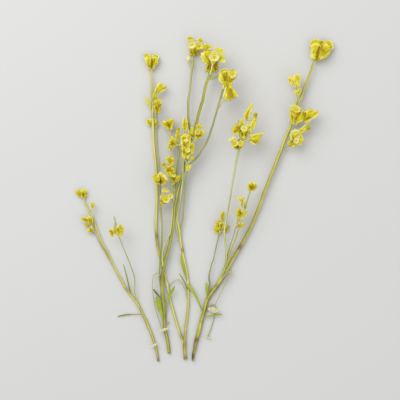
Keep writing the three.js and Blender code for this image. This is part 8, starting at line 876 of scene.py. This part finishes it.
# ------------------------------------------------------------------ materials
def material(name, ramp, warm_colour, noise_scale, noise_amount, rough, bump, streak_and_highlight=(0, 0), sss=0.0, sheen=0.0):
    m = bpy.data.materials.new(name)
    m.use_nodes = True
    nt = m.node_tree
    N, L = nt.nodes, nt.links
    b = N["Principled BSDF"]
    sh = N.new("ShaderNodeAttribute"); sh.attribute_name = "shade"
    wa = N.new("ShaderNodeAttribute"); wa.attribute_name = "warm"
    tc = N.new("ShaderNodeTexCoord")
    n1 = N.new("ShaderNodeTexNoise"); n1.inputs["Scale"].default_value = noise_scale; n1.inputs["Detail"].default_value = 5; n1.inputs["Roughness"].default_value = 0.6
    L.new(tc.outputs["Object"], n1.inputs["Vector"])
    n2 = N.new("ShaderNodeTexNoise"); n2.inputs["Scale"].default_value = noise_scale * 5.3; n2.inputs["Detail"].default_value = 3
    L.new(tc.outputs["Object"], n2.inputs["Vector"])

    def math_(op, a, bb):
        x = N.new("ShaderNodeMath"); x.operation = op
        for i, val in enumerate((a, bb)):
            if isinstance(val, (int, float)):
                x.inputs[i].default_value = val
            else:
                L.new(val, x.inputs[i])
        return x.outputs[0]
    d1 = math_("MULTIPLY", math_("SUBTRACT", n1.outputs["Fac"], 0.5), noise_amount * 2)
    d2 = math_("MULTIPLY", math_("SUBTRACT", n2.outputs["Fac"], 0.5), noise_amount)
    s = math_("ADD", math_("ADD", sh.outputs["Fac"], d1), d2)
    height = n2.outputs["Fac"]
    if streak_and_highlight[1]:
        ar = N.new("ShaderNodeAttribute"); ar.attribute_name = "around"
        al = N.new("ShaderNodeAttribute"); al.attribute_name = "along"
        cx = N.new("ShaderNodeCombineXYZ")
        L.new(math_("MULTIPLY", ar.outputs["Fac"], streak_and_highlight[0]), cx.inputs[0])
        L.new(math_("MULTIPLY", al.outputs["Fac"], 0.12), cx.inputs[1])
        n3 = N.new("ShaderNodeTexNoise"); n3.inputs["Scale"].default_value = 1.0; n3.inputs["Detail"].default_value = 3
        L.new(cx.outputs[0], n3.inputs["Vector"])
        s = math_("ADD", s, math_("MULTIPLY", math_("SUBTRACT", n3.outputs["Fac"], 0.5), streak_and_highlight[1]))
        height = math_("ADD", n2.outputs["Fac"], n3.outputs["Fac"])
    cr = N.new("ShaderNodeValToRGB")
    el = cr.color_ramp.elements
    el[0].position, el[0].color = ramp[0][0], (*ramp[0][1], 1)
    el[1].position, el[1].color = ramp[-1][0], (*ramp[-1][1], 1)
    for pos, col in ramp[1:-1]:
        e = el.new(pos); e.color = (*col, 1)
    L.new(s, cr.inputs[0])
    mix = N.new("ShaderNodeMix"); mix.data_type = "RGBA"
    L.new(cr.outputs[0], mix.inputs[6])
    mix.inputs[7].default_value = (*warm_colour, 1)
    L.new(math_("MULTIPLY", wa.outputs["Fac"], math_("ADD", math_("MULTIPLY", n1.outputs["Fac"], 0.9), 0.45)), mix.inputs[0])
    L.new(mix.outputs[2], b.inputs["Base Color"])
    rg = N.new("ShaderNodeMapRange")
    rg.inputs["To Min"].default_value = rough[0]; rg.inputs["To Max"].default_value = rough[1]
    L.new(n1.outputs["Fac"], rg.inputs["Value"])
    L.new(rg.outputs[0], b.inputs["Roughness"])
    bp = N.new("ShaderNodeBump"); bp.inputs["Strength"].default_value = bump; bp.inputs["Distance"].default_value = 0.0003
    L.new(height, bp.inputs["Height"])
    L.new(bp.outputs[0], b.inputs["Normal"])
    if sss:
        b.inputs["Subsurface Weight"].default_value = sss
        b.inputs["Subsurface Scale"].default_value = 0.0012
        b.inputs["Subsurface Radius"].default_value = (1.0, 0.8, 0.25)
    b.inputs["Specular IOR Level"].default_value = 0.3
    if sheen:
        b.inputs["Sheen Weight"].default_value = sheen
    return m


MAT = {
    "floret": material("papery_floret", FLORET_RAMP, WARM_FLORET, 420.0, 0.11, (0.55, 0.8), 0.35, (40, 0.1), sss=0.12),
    "stem": material("straw_stem", STEM_RAMP, WARM_STEM, 160.0, 0.06, (0.5, 0.75), 0.4, (26, 0.14)),
    "branch": material("pale_branch", BRANCH_RAMP, WARM_STEM, 170.0, 0.06, (0.5, 0.75), 0.4, (22, 0.14)),
    "stem_green": material("green_stem", GREEN_RAMP, WARM_STEM, 160.0, 0.06, (0.5, 0.75), 0.4, (26, 0.16)),
    "thread": material("pale_stalk", THREAD_RAMP, WARM_STEM, 200.0, 0.07, (0.6, 0.8), 0.3, (16, 0.1)),
    "leaf": material("lime_leaf", LEAF_RAMP, WARM_STEM, 180.0, 0.07, (0.5, 0.75), 0.4, (8, 0.12)),
    "leaf_dry": material("olive_leaf", DRY_RAMP, WARM_STEM, 180.0, 0.08, (0.6, 0.8), 0.4, (8, 0.12)),
    "spent": material("spent_head", SPENT_RAMP, WARM_SPENT, 220.0, 0.08, (0.6, 0.85), 0.5, (12, 0.12)),
}

# ------------------------------------------------------------------ build
pieces = {}


def finish_piece(name, node, skin, mats):
    ob = skin.object(name, mats)
    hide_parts(node)
    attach(ob, "root")
    pieces[node] = ob


stem_rows = {}
for name, parent, pts in STEMS:
    stem_rows[name] = [list(at(u, v, z)) + [w * PLAN_UNIT / 2] for u, v, w, z in pts]


def patch_fn(name):
    """Brown, tan and reddish patches, paler stretches that are partly the stem's own paler colour and partly painted
    light lifting stretches shaded by the heads above, and the stem's own drift of colour along its length.
    """
    spots = [q for q in PATCHES if q[0] == name]
    drift = DRIFT.get(name)

    def fn(p, t, ang):
        ds, dw = np.zeros((len(t), len(ang))), np.zeros((len(t), len(ang)))
        for _, u, v, size, s, w in spots:
            d = np.hypot(p[:, 0] - (u - 200) * PLAN_UNIT, p[:, 1] - (200 - v) * PLAN_UNIT)
            k = np.exp(-(d / (size * PLAN_UNIT)) ** 2)[:, None]
            ds += s * k
            dw += w * k
        if drift:
            ds += np.interp(t / t[-1], np.linspace(0, 1, len(drift)), drift)[:, None]
        return ds, dw
    return fn


def slot_of(n):
    if n == "stem_b":
        return "stem_green"
    if n.startswith(("pedicel", "strand")):
        return "thread"
    return "stem"


PALE_BRANCHES = ("branch_s1", "branch_k", "branch_hj", "branch_i", "branch_t", "branch_e", "branch_x", "branch_d_left", "branch_a_side")
for name, parent, pts in STEMS:
    sk = Skin()
    rows = stem_rows[name]
    thin = name.startswith(("pedicel", "strand"))
    L = [0.0]
    for i in range(1, len(rows)):
        L.append(L[-1] + float(np.linalg.norm(np.array(rows[i][:3]) - np.array(rows[i - 1][:3]))))
    swell = [(L[i], a, wd) for n2, i, a, wd in [(q[0], min(range(len(pts)), key=lambda k: (pts[k][0] - q[1]) ** 2 + (pts[k][1] - q[2]) ** 2), q[3], q[4]) for q in SWELLS if q[0] == name]]
    tube(sk, rows, 0, shade=BASE_SHADE.get(name, 0.4), sides=14 if thin else 20, step=1.2 if thin else 1.5, ridges=5 if thin else 8, ridge=0.02 if thin else 0.045,
         seed=seed_of(name), taper_ends=(0.05 if not parent else 0.3, 0.6), swell=swell, shade_fn=patch_fn(name), rag=0.0 if parent else 0.5)
    mats = [MAT["branch" if name in PALE_BRANCHES else slot_of(name)]]
    if name == "stem_c":
        z = rows[0][2]
        for a, b, w, sd in (((184.9, 356.6), (183.9, 359.2), 2.1, 3), ((185.7, 356.6), (186.8, 358.8), 1.7, 8)):
            tube(sk, [list(at(*a, z)) + [w * PLAN_UNIT / 2], list(at((a[0] + b[0]) / 2, (a[1] + b[1]) / 2, z)) + [w * PLAN_UNIT / 2], list(at(*b, z * 0.8)) + [w * PLAN_UNIT / 2 * 0.8]], 0,
                 shade=0.60, warm=0.1, sides=14, step=0.6, seed=sd, taper_ends=(0.2, 0.1), ridge=0.07)
    for sname, sp in SPENT:
        if sname != name:
            continue
        tipz = rows[-1][3 - 1]
        hr = [list(at(u, v, tipz + dz)) + [w * PLAN_UNIT / 2] for u, v, w, dz in sp]
        mats.append(MAT["spent"])
        blade(sk, hr, 1, seed_of(name), shade=0.24, fold=-0.25, thickness=1.5, ribs=3, warm=0.08, tip=0.1)
        mid = hr[len(hr) // 2]
        c = np.array(mid[:3])
        # dry scales spread from the stalk's end along the head
        r = np.random.default_rng(seed_of(name))
        d = unit(np.array(hr[-1][:3]) - np.array(hr[0][:3]))
        length = np.linalg.norm(np.array(hr[-1][:3]) - np.array(hr[0][:3]))
        for k in range(9):
            f = (k - 4) / 4.0
            s0 = c + d * f * length * 0.28 + UP * 0.3
            out = unit(d * f * 0.9 + np.array([d[1], -d[0], 0]) * (0.55 if k % 2 else -0.55) + UP * r.uniform(0.0, 0.35))
            e0 = s0 + out * mid[3] * r.uniform(0.75, 1.05)
            blade(sk, [list(s0) + [0.35], list((s0 + e0) / 2 + UP * 0.25) + [0.6], list(e0) + [0.2]], 1, k + 3, shade=0.16 + 0.34 * r.uniform(), thickness=0.22, fold=0.3, warm=0.16 * r.uniform())
    finish_piece("look_" + name, name, sk, mats)

for name, parent, pts in LEAVES:
    sk = Skin()
    dry = any(k in name for k in ("stray", "olive", "dark", "thin"))
    rows = [list(at(u, v, z)) + [w * PLAN_UNIT / 2] for u, v, w, z in pts]
    sh, tip, bs = LEAF_LOOK.get(name, (0.4, 0.0, 0.0))
    blade(sk, rows, 0, seed_of(name), shade=sh, tip=tip, base_shade=bs, fold=0.32)
    # the leaf's foot runs on to the middle of its stem
    foot = nearest_on(stem_rows[parent], np.array(rows[0][:3]))[1]
    if np.linalg.norm(foot - np.array(rows[0][:3])) > 0.6:
        tube(sk, [list(foot) + [0.4], rows[0][:3] + [max(0.35, rows[0][3] * 0.8)]], 0, shade=sh, sides=10, step=0.8, seed=5, taper_ends=(0, 0.3))
    finish_piece("look_" + name, name, sk, [MAT["leaf_dry" if dry else "leaf"]])

# head and element of the stalks that are paler than their tone
STALK_SHADES = {("florets_d4", 2): -0.08, ("florets_d4", 4): -0.16, ("florets_s2", 8): -0.14, ("florets_s3_lower", 2): -0.10}
# head, element, rows before a stalk that spring from its branch, rows after it that run into the next head
JOINS = [["florets_s2", 8, [], [[221.2, 76.0, 8.6], [222.8, 76.4, 10.2]]],
         ["florets_s3_lower", 2, [[217.5, 109.4, -0.5], [218.4, 108.3, -1.6]], []],
         ["florets_s3_lower", 3, [[222.3, 92.0, 2.2]], []],
         ["florets_d4", 10, [[281.9, 149.8, -2.1]], []]]
for jn, ji, before, after in JOINS:
    for name, strand, root, els in HEADS:
        if name == jn:
            els[ji][1] = before + els[ji][1] + after
# stalks that are thicker for the scales that wrap them
for name, strand, root, els in HEADS:
    for i, e in enumerate(els):
        if (name, i) in (("florets_s2", 8), ("florets_d4", 4)):
            e[2] *= 1.3

for name, strand, root, els in HEADS:
    sk = Skin()
    carrier = stem_rows[strand]
    base_seed = seed_of(name)
    stalks = [stalk_rows(root, e[1], e[2]) for e in els if e[0] == "stalk"]
    anchors = stalks + [carrier]
    rootp = at(*root)
    for i, e in enumerate(els):
        seed = base_seed + 17 * i
        if e[0] == "stalk":
            tone = e[3]
            ds, dw = TONES.get(tone, (0, 0))
            ds += STALK_SHADES.get((name, i), 0.0)
            tube(sk, stalk_rows(root, e[1], e[2]), 0 if tone in ("bright", "ochre", "cream", "pale", "orange") else 1, shade=0.4 + ds * (1 if tone in ("bright", "ochre", "cream", "lime") else 0), warm=dw * 0.5, sides=12, step=0.8,
                 ridges=5, ridge=0.05, seed=seed, taper_ends=(0.4, 0.4))
    sk.marks = [q[1:] for q in MARKS if q[0] == name]
    feet = []
    thin = []
    for i, e in enumerate(els):
        seed = base_seed + 17 * i
        if e[0] in ("fan", "disc"):
            b, c = (fan if e[0] == "fan" else disc)(sk, root, e, 0, seed)
            if e[0] == "fan" and e[3] < 1.0:
                thin.append((b, c, seed))
                continue
        elif e[0] == "bud":
            bud(sk, root, e, 0, seed)
            b, c = at(e[1], e[2], root[2] + e[6]), at(e[3], e[4], root[2] + e[6])
        else:
            continue
        feet.append([list(b) + [0.4], list(c) + [0.4]])
        near = min((nearest_on(a, b) for a in anchors), key=lambda q: q[0])
        if near[0] > 0.6:
            tube(sk, [list(near[1]) + [0.5], list((near[1] + b) / 2 - UP * 0.1) + [0.45], list(b + unit(b - near[1]) * 0.5) + [0.5]], 0, shade=0.42, sides=10, step=0.8, seed=seed + 1, taper_ends=(0.3, 0.3))
    for b, c, seed in thin:
        near = min((nearest_on(a, b) for a in feet + anchors), key=lambda q: q[0])
        if near[0] > 0.5:
            tube(sk, [list(near[1]) + [0.42], list((near[1] + b) / 2 - UP * 0.1) + [0.36], list(b * 0.8 + c * 0.2) + [0.3]], 0, shade=0.5, sides=10, step=0.7, seed=seed + 1, taper_ends=(0.3, 0.3))
    finish_piece("look_" + name, name, sk, [MAT["floret"], MAT["branch"]])

# ------------------------------------------------------------------ surface, light and camera
fl = bpy.data.meshes.new("floor")
e = 3.0
fl.from_pydata([(-e, -e, 0), (e, -e, 0), (e, e, 0), (-e, e, 0)], [], [(0, 1, 2, 3)])
floor = bpy.data.objects.new("floor", fl)
floor.location = (0, 0, -0.0002)
bpy.context.scene.collection.objects.link(floor)
fm = bpy.data.materials.new("pale_surface")
fm.use_nodes = True
fb = fm.node_tree.nodes["Principled BSDF"]
fb.inputs["Base Color"].default_value = FLOOR_COLOUR
fb.inputs["Roughness"].default_value = 0.9
fb.inputs["Specular IOR Level"].default_value = 0.1
fl.materials.append(fm)

world = bpy.data.worlds.new("soft")
bpy.context.scene.world = world
world.use_nodes = True
world.node_tree.nodes["Background"].inputs[0].default_value = (1, 1, 1, 1)
world.node_tree.nodes["Background"].inputs[1].default_value = WORLD_LIGHT


def area(name, loc, size, power, colour=(1, 1, 1)):
    li = bpy.data.lights.new(name, "AREA")
    li.size = size
    li.energy = power
    li.color = colour
    ob = bpy.data.objects.new(name, li)
    ob.location = loc
    ob.rotation_euler = (Vector((0, 0, 0)) - Vector(loc)).to_track_quat("-Z", "Y").to_euler()
    bpy.context.scene.collection.objects.link(ob)
    return ob


for args in LIGHTS:
    area(*args)
bpy.context.scene.view_settings.view_transform = "Standard"

cam = bpy.data.cameras.new("camera")
cam.sensor_width = 36.0
cam.lens = 36.0 * TAPER_HEIGHT / (400 * PLAN_UNIT)
cam.clip_start, cam.clip_end = 0.05, 20
cam.dof.use_dof = False
co = bpy.data.objects.new("camera", cam)
co.location = (OFFSET[0] * MM, OFFSET[1] * MM, (TAPER_HEIGHT + OFFSET[2]) * MM)
co.rotation_euler = (0, 0, 0)
bpy.context.scene.collection.objects.link(co)
bpy.context.scene.camera = co
